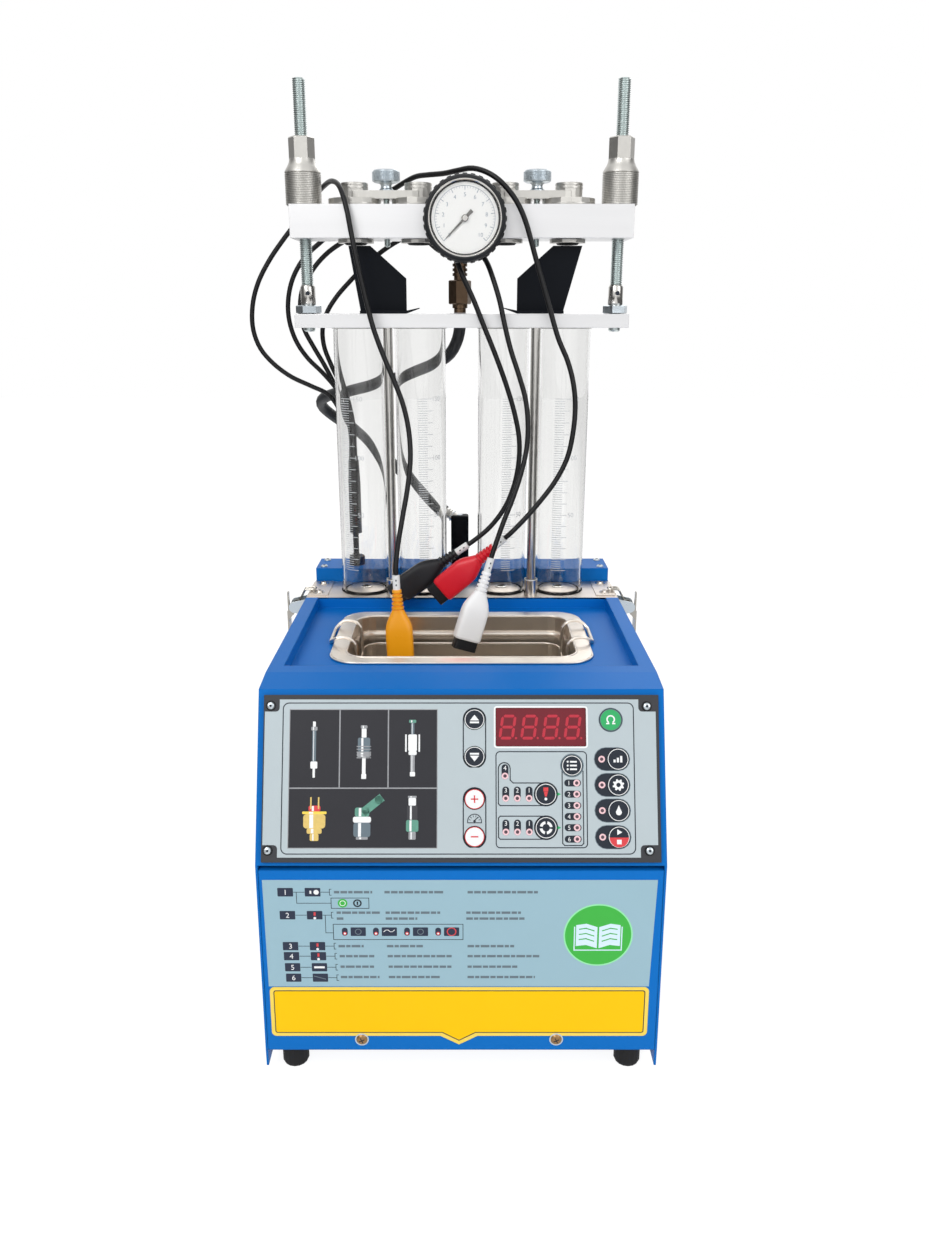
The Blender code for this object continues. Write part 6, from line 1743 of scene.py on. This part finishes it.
@dataclass(frozen=True)
class FrontPanel:
    """The chart, the green sign, the yellow plate and the screws, in millimetres across the panel and up it.

    Attributes:
        base: The height of the films' undersides, in metres.
        rows: The heights of the numbered rows.
        first: The middles of the two boxes in the first row.
        drift: How far each row stands to the right of the first, as a share of its depth.
        words: The height of each line of plain bars, and the left end and width of its parts.
        sign: The middle of the green sign.
        screws: The places of the screws.
    """

    base: float = 0.00002
    rows: tuple[float, ...] = (143.7, 123.6, 96.1, 87.1, 77.1, 67.6)
    first: Pair = (-137.6, -116.2)
    drift: float = 0.045
    words: tuple[tuple[float, ...], ...] = (
        (143.7, -99.5, 30, -60, 47, 5, 55), (125.8, -98, 34, -59.5, 43, 4, 43),
        (120.6, -98, 6, -59.5, 25, 4, 47), (96.1, -97.4, 20, -59, 30, 5, 37),
        (87.1, -96.8, 28, -58.6, 51, 5, 58), (77.6, -96.4, 27, -58, 51, 5, 41),
        (68.2, -96.4, 31, -58, 42, 5, 54),
    )
    sign: Pair = (108.3, 105.9)
    screws: tuple[Pair, ...] = ((-81, 10.4), (77.3, 10.4))

    def build(self) -> None:
        """Makes all of it."""
        sheet = Overlay("chart_film", LOWER, self.base)
        corners = [(-154.5, 59.6), (150.6, 59.6), (153.4, 154.2), (-155.3, 154.2)]
        sheet.area(corners, LOWER_FILM, 0.00022 / PRINT)
        sheet.work.on(Body.BENCH, "blue_enamel")
        chart = Overlay("chart_prints", LOWER, 0.00025)
        for number, y in enumerate(self.rows, 1):
            self._row(chart, number, y)
        self._row_signs(chart)
        self._words(chart)
        self._boxes(chart)
        self._sign(chart)
        chart.work.on(Body.BENCH, "blue_enamel")
        plate = Overlay("yellow_plate", LOWER, self.base)
        for inset, finish, level in ((0, PALE_YELLOW, 5), (2.9, INK_AND_RECESS_SHADE, 6), (3.7, YELLOW, 7)):
            plate.area(self._plate_line(inset), finish, level)
        plate.work.on(Body.BENCH, "blue_enamel")
        self._screws()

    @staticmethod
    def _plate_line(inset: float) -> list[Pair]:
        """The yellow plate's outline, drawn in by inset.

        Args:
            inset: How far it is drawn in.

        Returns:
            The outline.
        """
        left, right, foot, top = -154 + inset, 151 - inset, 13.7 + inset, 58.9 - inset
        corners = rounded((left, foot), (right, top), max(1, 4 - inset * 0.7), 5)
        point = [(-17 + inset * 0.5, foot), (-1.9, 5.6 + inset * 1.2), (13.2 - inset * 0.5, foot)]
        return [*corners[:18], *point, *corners[18:]]

    def _row(self, chart: Overlay, number: int, y: float) -> None:
        """Two boxes of a numbered row, joined by a line, and the bracket after them.

        Args:
            chart: The piece that takes the prints.
            number: The row's number.
            y: Its height.
        """
        shift = (self.rows[0] - y) * self.drift
        left, right = (x + shift for x in self.first)
        for x in (left, right):
            chart.bar((x - 6.1, y - 3.7), (x + 6.1, y + 3.7), NAVY, 1, 0.6)
        chart.words(str(number), (left, y), 4.4, PALE_INK, 2)
        edge, end = -103 + shift, -101.6 + shift
        bracket = [(end, y - 2.6), (edge, y - 2.6), (edge, y + 2.6), (end, y + 2.6)]
        for line in ([(left + 6.5, y), (right - 6.5, y)], [(right + 6.5, y), (edge, y)], bracket):
            chart.line(line, 0.45, INK_AND_RECESS_SHADE)

    def _row_signs(self, chart: Overlay) -> None:
        """The small signs in the rows' second boxes.

        Args:
            chart: The piece that takes the prints.
        """
        for y in (123, 95.5, 86.5):
            x = self.first[1] + (self.rows[0] - y) * self.drift
            chart.bar((x - 0.8, y + 0.2), (x + 0.8, y + 3.2), RED_INK, 2)
            chart.dot((x, y - 2), 1.1, PALE_INK, 2, 12)
        chart.bar((-118.6, 142.4), (-117.2, 145), PALE_INK, 2)
        chart.dot((-113.4, 143.7), 2.1, PALE_INK, 2, 16)
        chart.bar((-117.4, 76.2), (-109, 78), PALE_INK, 2)
        chart.line([(-117.4, 69), (-108.6, 66.4)], 0.7, GREY_INK, 2)

    def _words(self, chart: Overlay) -> None:
        """Plain bars in place of words.

        Args:
            chart: The piece that takes the prints.
        """
        for y, *spans in self.words:
            for left, width in zip(spans[::2], spans[1::2]):
                x, step = left, 0
                while x < left + width:
                    run = min((5.2, 3.4, 7, 4.2)[(step + int(y)) % 4], left + width - x)
                    if run > 0.8:
                        chart.bar((x, y - 1.05), (x + run, y + 1.05), GREY_INK)
                    x, step = x + run + 0.9, step + 1

    @staticmethod
    def _boxes(chart: Overlay) -> None:
        """The two outlined boxes with their signs.

        Args:
            chart: The piece that takes the prints.
        """
        for corners in (box((-102, 129.6), (-72.4, 138.6)), box((-101, 102), (1.4, 115.6))):
            chart.line([*corners, corners[0]], 0.5, INK_AND_RECESS_SHADE)
        chart.line([(-129, 143.7), (-129, 134.1), (-102, 134.1)], 0.45, INK_AND_RECESS_SHADE)
        chart.line([(-107, 123.6), (-107, 108), (-101, 108)], 0.45, INK_AND_RECESS_SHADE)
        chart.dot((-93, 134.1), 3.8, SIGN_GREEN)
        chart.ring((-93, 134.1), 2.4, 0.5, PALE_INK, 2)
        chart.ring((-81.4, 134.1), 3.4, 1.2, INK_AND_RECESS_SHADE)
        chart.bar((-82, 132.6), (-80.8, 135.6), INK_AND_RECESS_SHADE)
        for index in range(4):
            x = -92 + 24.6 * index
            middle = (x + 10.6, 109)
            chart.bar((x - 2.3, 105.4), (x + 2.3, 112.6), NAVY, 1, 2.25)
            chart.dot((x, 107.4), 1.5, RED_INK, 2, 14)
            chart.dot((x, 107.4), 0.8, PALE_INK, 3, 12)
            chart.bar((x + 4.6, 105.2), (x + 16.6, 112.8), NAVY, 1, 0.6)
            if index == 1:
                wave = [(x + 6.2 + 1.7 * step, 110.5 if step % 4 in (1, 2) else 109.0) for step in range(6)]
                chart.line(wave, 0.5, PALE_INK, 2)
            elif index == 3:
                chart.area(circle(middle, 3.8, 20), RED_INK, 2, [circle(middle, 3, 20)])
            else:
                chart.ring(middle, 2.6, 0.6, GREY_INK, 2)

    def _sign(self, chart: Overlay) -> None:
        """A green disc with an open book.

        Args:
            chart: The piece that takes the prints.
        """
        x, y = self.sign
        chart.dot((x, y), 27.4, PALE_GREEN, 1, 72)
        chart.dot((x, y), 26.2, SIGN_GREEN, 2, 72)
        page = ((0.7, -11.5), (9.5, -8.6), (17.5, -9.6), (17.5, 9), (9.5, 10.2), (0.7, 7.2))
        for side in (-1, 1):
            chart.area([(x + side * across, y + up) for across, up in page[::side]], CHART_WHITE, 3)
            for low in (y + 4, y - 0.6, y - 5.2):
                ends = [(x + side * 3.4, low), (x + side * 9.6, low + 2.2), (x + side * 14.8, low + 1.4)]
                chart.line(ends, 0.9, SIGN_GREEN, 4)
        chart.bar((x - 19.2, y - 12.8), (x - 18.3, y + 7.6), CHART_WHITE, 3)
        chart.bar((x + 18.3, y - 12.8), (x + 19.2, y + 7.6), CHART_WHITE, 3)
        chart.bar((x - 19.2, y - 13.7), (x + 19.2, y - 12.8), CHART_WHITE, 3)

    def _screws(self) -> None:
        """The two brass screws under the yellow plate."""
        work = Workpiece("front_panel_screws")
        dome = ((0, 0), (0.0046, 0), (0.0046, 0.0006), (0.0036, 0.0017), (0.002, 0.0023), (0, 0.0024))
        for x, y in self.screws:
            work.place = LOWER @ at(x * MM, y * MM)
            work.turn(BRASS, 24, *dome)
            work.add(Shape.disc(0.0056, 0, 0.0005, 28), ZINC)
            # Two dark crossed bars on the dome stand for the slots: painted shade in the recess.
            for turn in (25, 115):
                slot = Shape.block((-0.0024, -0.0004, 0.0019), (0.0024, 0.0004, 0.00245))
                work.add(slot, INK_AND_RECESS_SHADE, rotated(turn))
        work.on(Body.BENCH, "zinc")


SIDES = (("left", -1), ("right", 1))
NODE_FINISHES = {
    "body_shell": ENAMEL, "chassis": ENAMEL, "rear_box": ENAMEL, "deck_plate": DECK_STEEL,
    "cleaning_tank": TANK_STEEL, "basket": TANK_STEEL, "fluid_reservoir": MILKY, "control_frame": FRAME_GREY,
    "control_board": BOARD, "mains_inlet": BLACK_PLASTIC, "power_switch": BLACK_PLASTIC,
    "gauge_needle": NEEDLE_PAINT, "distributor_bar": WHITE_METAL, "upper_plate": WHITE_METAL,
    **{f"coupler_clamp_{name}": CAST_METAL for name, _ in SIDES},
    **{f"latch_{part}_{name}": LATCH_STEEL for part in ("lever", "bail") for name, _ in SIDES},
    **{f"foot_{end}_{name}": RUBBER for end in ("front", "rear") for name, _ in SIDES},
    **{key.name: FRAME_GREY for key in ControlPanel().keys},
}
TUBE_PLACES = (-0.101, -0.041, 0.041, 0.101)
TOWER_Y = 0.1345  # the line of the tubes, rods and screws


@dataclass(frozen=True)
class Deck:
    """The small parts on the steel deck and round the tank.

    Attributes:
        strikers: The places of the strike plates' screws, across and back.
        latch: The place of a latch's pivot, on the right side.
        latch_rivets: The heights of a latch plate's two rivets.
        rim_height: The middle of the wire at the tank's mouth.
        ledge_height: The middle of the pressed ledge in the tank.
        basket_height: The middle of the basket's top wire.
    """

    strikers: tuple[Pair, ...] = ((-0.14825, 0.117), (-0.14825, 0.151), (0.14825, 0.117), (0.14825, 0.151))
    latch: Point = (0.175, 0.1245, 0.305)
    latch_rivets: Pair = (0.262, 0.28)
    rim_height: float = 0.3106
    ledge_height: float = 0.2924
    basket_height: float = 0.2848

    def build(self) -> None:
        """Makes all of them."""
        self._strikers()
        self._latch_plates()
        self._drains()
        self._tank_edge()
        line = level_line(rounded((-0.0962, -0.0488), (0.0962, 0.0598), 0.0165, 8), self.basket_height)
        wire = Workpiece("basket_rim_wire").add(Shape.wire(line, 0.0016, 10, loop=True), TANK_STEEL)
        wire.on(Body.BASKET, "stainless")

    def _strikers(self) -> None:
        """The washers of the four screws that hold the strike plates, with dark hex discs as painted shade in
        their sockets.
        """
        work = Workpiece("strike_plate_screws")
        for x, y in self.strikers:
            work.place = at(x, y)
            work.add(Shape.collar(0.0042, 0.0054, 0.3212, 0.3217, 24), NICKEL)
            # A dark hex disc stands for the socket: painted shade in the recess.
            work.add(Shape.disc(0.0018, 0.323, 0.32348, 6), INK_AND_RECESS_SHADE)
        work.on(Body.BENCH, "zinc")

    def _latch_plates(self) -> None:
        """The plated base of each side latch: a plate on the wall and two ears."""
        work = Workpiece("latch_base_plates")
        ear = [(-0.0145, -0.0094), (-0.0145, 0.0094), *circle((0, 0), 0.0059, 13, -90, 180)[::-1]]
        for _, side in SIDES:
            wall = side * 0.1612
            base = Shape.block((wall - 0.0012, 0.1149, 0.2526), (wall + 0.0012, 0.1341, 0.3144), 0.0008)
            work.add(base, ZINC)
            for height in self.latch_rivets:
                place = at(side * 0.1624, self.latch[1], height) @ rotated(side * 90, "Y")
                work.turn(NICKEL, 20, (0, 0), (0.0026, 0), (0.002, 0.0009), (0, 0.0012), place=place)
            for low, high in ((-0.0096, -0.0076), (0.0076, 0.0096)):
                place = at(side * self.latch[0], *self.latch[1:]) @ mirrored(side) @ UPRIGHT
                work.add(Shape.plate(ear, -high, -low), ZINC, place)
        work.on(Body.BENCH, "zinc")

    @staticmethod
    def _drains() -> None:
        """A black seal and a pressed seat with a drain nut under each tube."""
        work = Workpiece("tube_foot_seals")
        outer = ((0.0251, 0.3201), (0.0257, 0.3201), (0.0258, 0.3206), (0.0256, 0.321), (0.0252, 0.321))
        inner = ((0.0208, 0.3201), (0.0214, 0.3201), (0.0214, 0.3218), (0.0211, 0.322), (0.0208, 0.3218))
        seat = ((0.0056, 0.3217), (0.02, 0.3217), (0.0194, 0.3221), (0.012, 0.3222), (0.009, 0.3229))
        nut = ((0.0042, 0.3216), (0.0062, 0.3216), (0.0062, 0.3236), (0.0055, 0.324), (0.0042, 0.324))
        for x in TUBE_PLACES:
            work.place = at(x, TOWER_Y)
            work.turn(RUBBER, 56, *outer, ring=True).turn(RUBBER, 56, *inner, ring=True)
            work.turn(DECK_STEEL, 48, *seat, (0.0056, 0.3229), ring=True).turn(NICKEL, 24, *nut, ring=True)
        work.on(Body.BENCH, "black_rubber")

    def _tank_edge(self) -> None:
        """The rolled bead and the outer wire round the mouth of the tank, and the ledge round its back."""
        work = Workpiece("tank_rim_bead")
        bead = level_line(rounded((-0.103, -0.0555), (0.103, 0.0665), 0.018, 10), self.rim_height)
        work.add(Shape.wire(bead, 0.0022, 10, loop=True), TANK_STEEL)
        edge = level_line(rounded((-0.1163, -0.0688), (0.1163, 0.0798), 0.024, 10), self.rim_height - 0.0005)
        work.add(Shape.wire(edge, 0.002, 10, loop=True), TANK_STEEL)
        half = [(0.1028, 0.04), *circle((0.0848, 0.0483), 0.018, 9, 0, 90)]
        ledge = level_line([*half, *((-x, y) for x, y in reversed(half))], self.ledge_height)
        work.add(Shape.wire(ledge, 0.005, 10), TANK_STEEL)
        work.on(Body.BENCH, "stainless")


@dataclass(frozen=True)
class Tower:
    """The brackets, tubes, rods, nuts and screws above the deck.

    Attributes:
        rod: How far the threaded rods stand to either side.
        pair: How far the tie rods and the thumb screws stand to either side.
        tie_y: The line of the tie rods.
        bracket_y: The line of the brackets.
        bracket_tops: How far the top of the left and of the right bracket reaches out.
        scale_foot: The height of a tube's lowest mark.
        scale_step: The rise from one mark to the next.
        scale_line: The thickness of a mark.
        scale_turns: How far each tube's scale is turned, in degrees.
        grip_foot: The lower end of the hand nuts' rings.
        grip_rings: Their number.
        grip_pitch: The rise from one ring to the next.
    """

    rod: float = 0.149
    pair: float = 0.071
    tie_y: float = 0.112
    bracket_y: float = 0.117
    bracket_tops: Pair = (0.1072, 0.114)
    scale_foot: float = 0.346
    scale_step: float = 0.0023
    scale_line: float = 0.0006
    scale_turns: tuple[float, ...] = (-28, 12, 14, -6)
    grip_foot: float = 0.6964
    grip_rings: int = 18
    grip_pitch: float = 0.0015

    def build(self) -> None:
        """Makes all of them."""
        self._tubes()
        self._scales()
        self._tie_rods()
        for name, side in SIDES:
            self._threaded_rod(name, side * self.rod)
            self._hand_nut(name, side * self.rod)
        for name, side in SIDES:
            self._thumb_screw(name, side * self.pair)
        self._couplers()
        for (name, side), top in zip(SIDES, self.bracket_tops):
            self._bracket(name, side, top)

    def _bracket(self, name: str, side: int, top: float) -> None:
        """A sheet bracket with its foot and the turned-out lip at the foot's end.

        Args:
            name: Its side's name.
            side: -1 on the left and 1 on the right.
            top: How far its top reaches out.
        """
        web = [(0.097, 0.5985), (top, 0.6598), (0.0866, 0.6598), (0.053, 0.6305), (0.053, 0.5985)]
        foot = [(0.097, 0.5985), (0.097, 0.6012), (0.053, 0.6012), (0.0435, 0.6032), (0.0405, 0.6038)]
        foot += [(0.0405, 0.603), (0.053, 0.5985)]
        work = Workpiece(f"tower_bracket_{name}", at(0, self.bracket_y) @ mirrored(side) @ UPRIGHT)
        work.add(Shape.plate(web, -0.009, -0.006), BLACK_PAINT)
        work.add(Shape.plate(foot, -0.0085, 0.0058), BLACK_PAINT)
        work.on(Body.BENCH, "bracket_black", f"bracket_{name}")

    @staticmethod
    def _tubes() -> None:
        """The four glass tubes and the seals at their heads."""
        wall = ((0.0225, 0.3207), (0.0229, 0.3203), (0.0246, 0.3203), (0.025, 0.3207))
        wall += ((0.025, 0.5849), (0.0246, 0.5853), (0.0229, 0.5853), (0.0225, 0.5849))
        seals = Workpiece("tube_head_seals")
        for number, x in enumerate(TUBE_PLACES, 1):
            work = Workpiece(f"measuring_tube_{number}", at(x, TOWER_Y))
            work.turn(GLASS, 96, *wall, ring=True).on(Body.BENCH, "glass", f"glass_tube_{number}")
            seals.add(Shape.collar(0.0253, 0.0262, 0.5846, 0.5856, 48), MILKY, at(x, TOWER_Y))
        seals.on(Body.BENCH, "black_rubber")

    def _scales(self) -> None:
        """White lines and numbers on the front of each tube."""
        work = Workpiece("tube_scales")
        for x, side in zip(TUBE_PLACES, self.scale_turns):
            work.place = at(x, TOWER_Y)
            for step in range(76):
                low = self.scale_foot + self.scale_step * step
                mark = box((0.02502, low), (0.0251, low + self.scale_line))
                span = 34 if step % 5 == 0 else 22
                work.add(Shape.turned(mark, 5, turn=span), SCALE_INK, rotated(side - 107))
                if step % 25 == 0 and step:
                    number = Shape.text(str(step * 2), 0.0046, 0, 0.00008, (0, 0.0004))
                    work.add(number, SCALE_INK, rotated(side + 26) @ at(0, -0.02518, low) @ UPRIGHT)
        work.on(Body.BENCH, "glass")

    def _tie_rods(self) -> None:
        """The plated skin of the two tie rods with their collars."""
        work = Workpiece("tie_rod_plating")
        skin = [(0, 0.32), (0.007, 0.32), (0.007, 0.3364), (0.0062, 0.3373), (0.0046, 0.3373)]
        skin += [(0.0046, 0.5856), (0, 0.5856)]
        for _, side in SIDES:
            work.turn(NICKEL, 28, *skin, place=at(side * self.pair, self.tie_y))
        work.on(Body.BENCH, "zinc")

    @staticmethod
    def _threaded_rod(name: str, x: float) -> None:
        """A threaded rod with its jam nut and its drilled sleeve.

        Args:
            name: Its side's name.
            x: Its place across.
        """
        work = Workpiece(f"clamping_rod_{name}", at(x, TOWER_Y))
        work.add(Shape.thread(0.0059, 0.00085, 0.00175, 0.624, 0.8034, 20), ROD_ZINC)
        tail = ((0, 0.5816), (0.0044, 0.5816), (0.0056, 0.5828), (0.0056, 0.6244), (0, 0.6244))
        work.turn(ROD_ZINC, 28, *tail)
        work.turn(ROD_ZINC, 28, (0, 0.803), (0.0049, 0.803), (0.0044, 0.804), (0, 0.804))
        nut = ((0, 0.5985), (0.0112, 0.5985), (0.01236, 0.5991), (0.01236, 0.6053), (0.0112, 0.606))
        work.turn(ZINC, 6, *nut, (0, 0.606), place=rotated(11))
        sleeve = ((0, 0.6056), (0.0064, 0.6056), (0.0071, 0.6066), (0.0071, 0.6226), (0.0062, 0.6244))
        work.turn(NICKEL, 36, *sleeve, (0, 0.6244))
        hole = at(0.0008, 0, 0.6172) @ UPRIGHT
        lip = ((0, 0.006), (0.0026, 0.006), (0.0026, 0.00705), (0.0021, 0.00722), (0, 0.00722))
        work.turn(NICKEL, 28, *lip, place=hole)
        # A dark disc inside the lip stands for the drilled hole: painted shade.
        work.add(Shape.disc(0.002, 0.006, 0.00728, 24), INK_AND_RECESS_SHADE, hole)
        work.on(Body.BENCH, "zinc", f"threaded_rod_{name}")

    def _hand_nut(self, name: str, x: float) -> None:
        """A long hand nut: ringed grip, flare and six-sided neck.

        Args:
            name: Its side's name.
            x: Its place across.
        """
        work = Workpiece(f"hand_nut_{name}", at(x, TOWER_Y))
        bore = 0.0066
        grip = [(bore, self.grip_foot)]
        for ring in range(self.grip_rings):
            foot = self.grip_foot + self.grip_pitch * ring
            grip += [(0.016, foot), (0.0169, foot + 0.0002), (0.0169, foot + 0.001), (0.016, foot + 0.0012)]
        work.turn(CAST_METAL, 72, *grip, (bore, 0.7232), ring=True)
        # A darker sleeve under the grip rings fills the grooves between them with painted shade.
        work.add(Shape.collar(bore, 0.0165, 0.6966, 0.7236, 72), GROOVE_SHADE)
        flare = [(bore, 0.6954), (0.0155, 0.6954), (0.0162, 0.6962), (0.015, 0.697), (0.015, 0.723)]
        flare += [(0.016, 0.7234), (0.017, 0.7244), (0.0166, 0.7256), (0.014, 0.73), (0.0125, 0.733)]
        work.turn(CAST_METAL, 48, *flare, (0.0119, 0.736), (bore, 0.736), ring=True)
        neck = ((bore, 0.734), (0.0121, 0.734), (0.0121, 0.754), (0.0112, 0.755), (bore, 0.755))
        work.turn(CAST_METAL, 6, *neck, place=rotated(4), ring=True)
        work.on(f"knurled_nut_{name}", "zinc", f"knurled_nut_{name}")

    @staticmethod
    def _thumb_screw(name: str, x: float) -> None:
        """A thumb screw: knurled head, waisted neck and threaded shank.

        Args:
            name: Its side's name.
            x: Its place across.
        """
        work = Workpiece(f"clamp_screw_{name}", at(x, TOWER_Y))
        neck = ((0, 0.7083), (0.007, 0.7083), (0.007, 0.7096), (0.0056, 0.7106), (0.005, 0.7128))
        work.turn(ZINC, 32, *neck, (0.0054, 0.7142), (0.0074, 0.716), (0, 0.7162))
        head = ((0, 0.7158), (0.0108, 0.7158), (0.0122, 0.7166), (0.0122, 0.7256), (0.0112, 0.7267))
        work.turn(ZINC, 48, *head, (0, 0.727))
        work.add(Shape.knurled(0.013, 0.717, 0.7252, 56, 7, 0.0005), ZINC)
        work.add(Shape.thread(0.003, 0.0005, 0.001, 0.6602, 0.7085, 12), ROD_ZINC)
        work.turn(ROD_ZINC, 20, (0, 0.659), (0.0016, 0.6592), (0.0024, 0.66), (0.0024, 0.6606), (0, 0.6606))
        work.on(f"thumb_screw_{name}", "zinc", f"thumb_screw_{name}")

    @staticmethod
    def _couplers() -> None:
        """Turned rings on the caps and flanges of the four couplers."""
        work = Workpiece("coupler_rings")
        for x in TUBE_PLACES:
            work.place = at(x, TOWER_Y)
            rings = ((0.01295, 0.7102, 0.712), (0.01295, 0.7132, 0.7148), (0.0252, 0.696, 0.6972))
            for radius, low, high in rings:
                work.add(Shape.collar(radius - 0.0012, radius, low, high, 56), CAST_METAL)
            cap = ((0.0042, 0.7152), (0.01, 0.7152), (0.0096, 0.7158), (0.0048, 0.7158))
            lip = ((0.0074, 0.661), (0.0096, 0.661), (0.0112, 0.6626), (0.0074, 0.6626))
            work.turn(CAST_METAL, 40, *cap, ring=True).turn(RUBBER, 40, *lip, ring=True)
        work.on(Body.BAR, "aluminium")


@dataclass(frozen=True)
class Gauge:
    """The pressure gauge on the front of the bar, with its pipe work behind.

    Attributes:
        centre: The middle of the case's back.
        pipe: The place of the upright pipe, across and back.
        ribs: The number of ribs round the boot.
        start: The angle of the dial's first tick, in degrees.
        sweep: The angle that its scale covers, in degrees.
        ticks: The number of steps on the dial.
        reach: The radius that the ticks reach.
        ink_heights: The underside and the top of the dial's ink.
    """

    centre: Point = (0.003, 0.1013, 0.68045)
    pipe: Pair = (-0.002, 0.1716)
    ribs: int = 32
    start: float = 225.0
    sweep: float = 270.0
    ticks: int = 50
    reach: float = 0.0268
    ink_heights: Pair = (0.02545, 0.02552)

    def build(self) -> None:
        """Makes all of it."""
        place = at(*self.centre) @ UPRIGHT
        self._case(place)
        self._dial(place)
        lens = Workpiece("gauge_window", place)
        lens.turn(LENS, 64, (0, 0.0279), (0.0318, 0.0279), (0.0318, 0.0288), (0, 0.029)).on(Body.BAR, "glass")

    def _case(self, place: Matrix) -> None:
        """The ribbed boot, the bezel and the fittings.

        Args:
            place: The gauge's frame.
        """
        work = Workpiece("gauge_boot", place)
        boot = ((0, 0), (0.034, 0), (0.0362, 0.001), (0.0369, 0.003), (0.0369, 0.0245), (0.0364, 0.0272))
        boot += ((0.0354, 0.0291), (0.0338, 0.03), (0.033, 0.0297), (0.0327, 0.0286), (0.0327, 0.024))
        work.turn(BOOT, 96, *boot, (0, 0.024))
        for count in range(self.ribs):
            turn = rotated(360 / self.ribs * count)
            work.add(Shape.block((0.0355, -0.0022, 0.005), (0.0378, 0.0022, 0.0242), 0.0008), BOOT, turn)
        bezel = ((0.0313, 0.025), (0.0333, 0.025), (0.0333, 0.0288), (0.0327, 0.0296), (0.0319, 0.0296))
        work.turn(NICKEL, 96, *bezel, (0.0313, 0.029), ring=True)
        inner = ((0.03, 0.0254), (0.0316, 0.0254), (0.0316, 0.0278), (0.0309, 0.0278))
        work.turn(BLACK_PLASTIC, 96, *inner, ring=True)
        stem = ((0, -0.0625), (0.0055, -0.0625), (0.0055, -0.0054), (0.009, -0.0053), (0.009, 0.0001))
        work.turn(BRONZE, 32, *stem, (0, 0.0001))
        work.place = Matrix()
        work.add(Shape.block((-0.011, 0.1626, 0.67145), (0.012, 0.1806, 0.68945), 0.0016), BRONZE)
        work.place = at(*self.pipe)
        pipe = ((0, 0.59865), (0.006, 0.59865), (0.006, 0.603), (0.0076, 0.6034), (0.0076, 0.6072))
        work.turn(BRONZE, 32, *pipe, (0.006, 0.6076), (0.006, 0.672), (0, 0.672))
        nut = ((0, 0.607), (0.0104, 0.607), (0.01155, 0.6078), (0.01155, 0.6292), (0.0104, 0.63), (0, 0.63))
        work.turn(BRONZE, 6, *nut, place=rotated(12))
        for low in (0.634, 0.6385, 0.643):
            work.turn(BRONZE, 32, (0, low), (0.0074, low), (0.0074, low + 0.0026), (0, low + 0.0026))
        work.on(Body.BAR, "gauge_boot", "gauge_case")

    def _dial(self, place: Matrix) -> None:
        """The white dial with ticks and numbers, and the needle's cap.

        Args:
            place: The gauge's frame.
        """
        low, high = self.ink_heights
        work = Workpiece("gauge_dial", place)
        work.turn(DIAL_WHITE, 64, (0, 0.0236), (0.0314, 0.0236), (0.0314, low), (0, low))
        for step in range(self.ticks + 1):
            angle = self.start - self.sweep / self.ticks * step
            inner, half = (0.0235, 0.00028) if step % 5 == 0 else (0.025, 0.00014)
            work.add(Shape.block((inner, -half, low), (self.reach, half, high)), DIAL_INK, rotated(angle))
            if step % 5 == 0:
                centre = polar(0.0197, math.radians(angle))
                work.add(Shape.text(str(step // 5), 0.0034, low, high, centre), DIAL_INK)
        arc = box((self.reach, low), (self.reach + 0.0004, high))
        work.add(Shape.turned(arc, 60, turn=self.sweep), DIAL_INK, rotated(self.start - self.sweep))
        work.on(Body.BAR, "gauge_boot")
        cap = Workpiece("needle_cap", place)
        cap.turn(NICKEL, 24, (0, 0.02735), (0.0026, 0.02735), (0.0024, 0.02765), (0, 0.02775))
        cap.on(Body.NEEDLE, "needle_black")


@dataclass(frozen=True)
class Rear:
    """The parts on the back: the inlet's pins and screws, and the screws on the rear box.

    Attributes:
        pins: The middles of the inlet's pins, across and up.
        pin_half: Half a pin's width and half its height.
        inlet_screws: The places of the inlet's screws, across and up.
        box_screws: The places of the rear box's screws, across and back.
    """

    pins: tuple[Pair, ...] = ((0.0885, 0.0735), (0.095, 0.077), (0.1015, 0.0735))
    pin_half: Pair = (0.001, 0.0025)
    inlet_screws: tuple[Pair, ...] = ((0.0845, 0.086), (0.1265, 0.086))
    box_screws: tuple[Pair, ...] = ((-0.15, 0.172), (-0.15, 0.2), (0.15, 0.172), (0.15, 0.2))

    def build(self) -> None:
        """Makes all of them."""
        work = Workpiece("inlet_pins")
        wide, tall = self.pin_half
        for x, z in self.pins:
            work.add(Shape.block((x - wide, 0.1936, z - tall), (x + wide, 0.2065, z + tall), 0.0004), NICKEL)
        for x, z in self.inlet_screws:
            place = at(x, 0.21, z) @ BACKWARD
            work.turn(ZINC, 20, (0, 0), (0.002, 0), (0.0016, 0.0008), (0, 0.001), place=place)
        work.on(Body.BENCH, "zinc")
        screws = Workpiece("rear_box_screws")
        for x, y in self.box_screws:
            screws.place = at(x, y, 0.3346)
            screws.turn(ZINC, 24, (0, 0), (0.0038, 0), (0.0038, 0.0005), (0.0028, 0.0016), (0, 0.0019))
            # A dark hex disc on each dome stands for the socket: painted shade in the recess.
            screws.add(Shape.disc(0.0014, 0.0017, 0.00198, 6), INK_AND_RECESS_SHADE)
        screws.on(Body.BENCH, "zinc")


def dress_nodes(frame: dict) -> None:
    """Gives each CAD node that stays its own finish.
    """
    for name, finish in NODE_FINISHES.items():
        node = frame["nodes"][name]
        material = finish.material()
        if not node.material_slots:
            node.data.materials.append(material)
        for held in node.material_slots:
            held.material = material


def main() -> None:
    """Builds the whole look."""
    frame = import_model()
    Studio().build()
    Harness().build()
    dress_nodes(frame)
    for group in (ControlPanel(), FrontPanel(), Deck(), Tower(), Gauge(), Rear()):
        group.build()


if __name__ == "__main__":
    main()
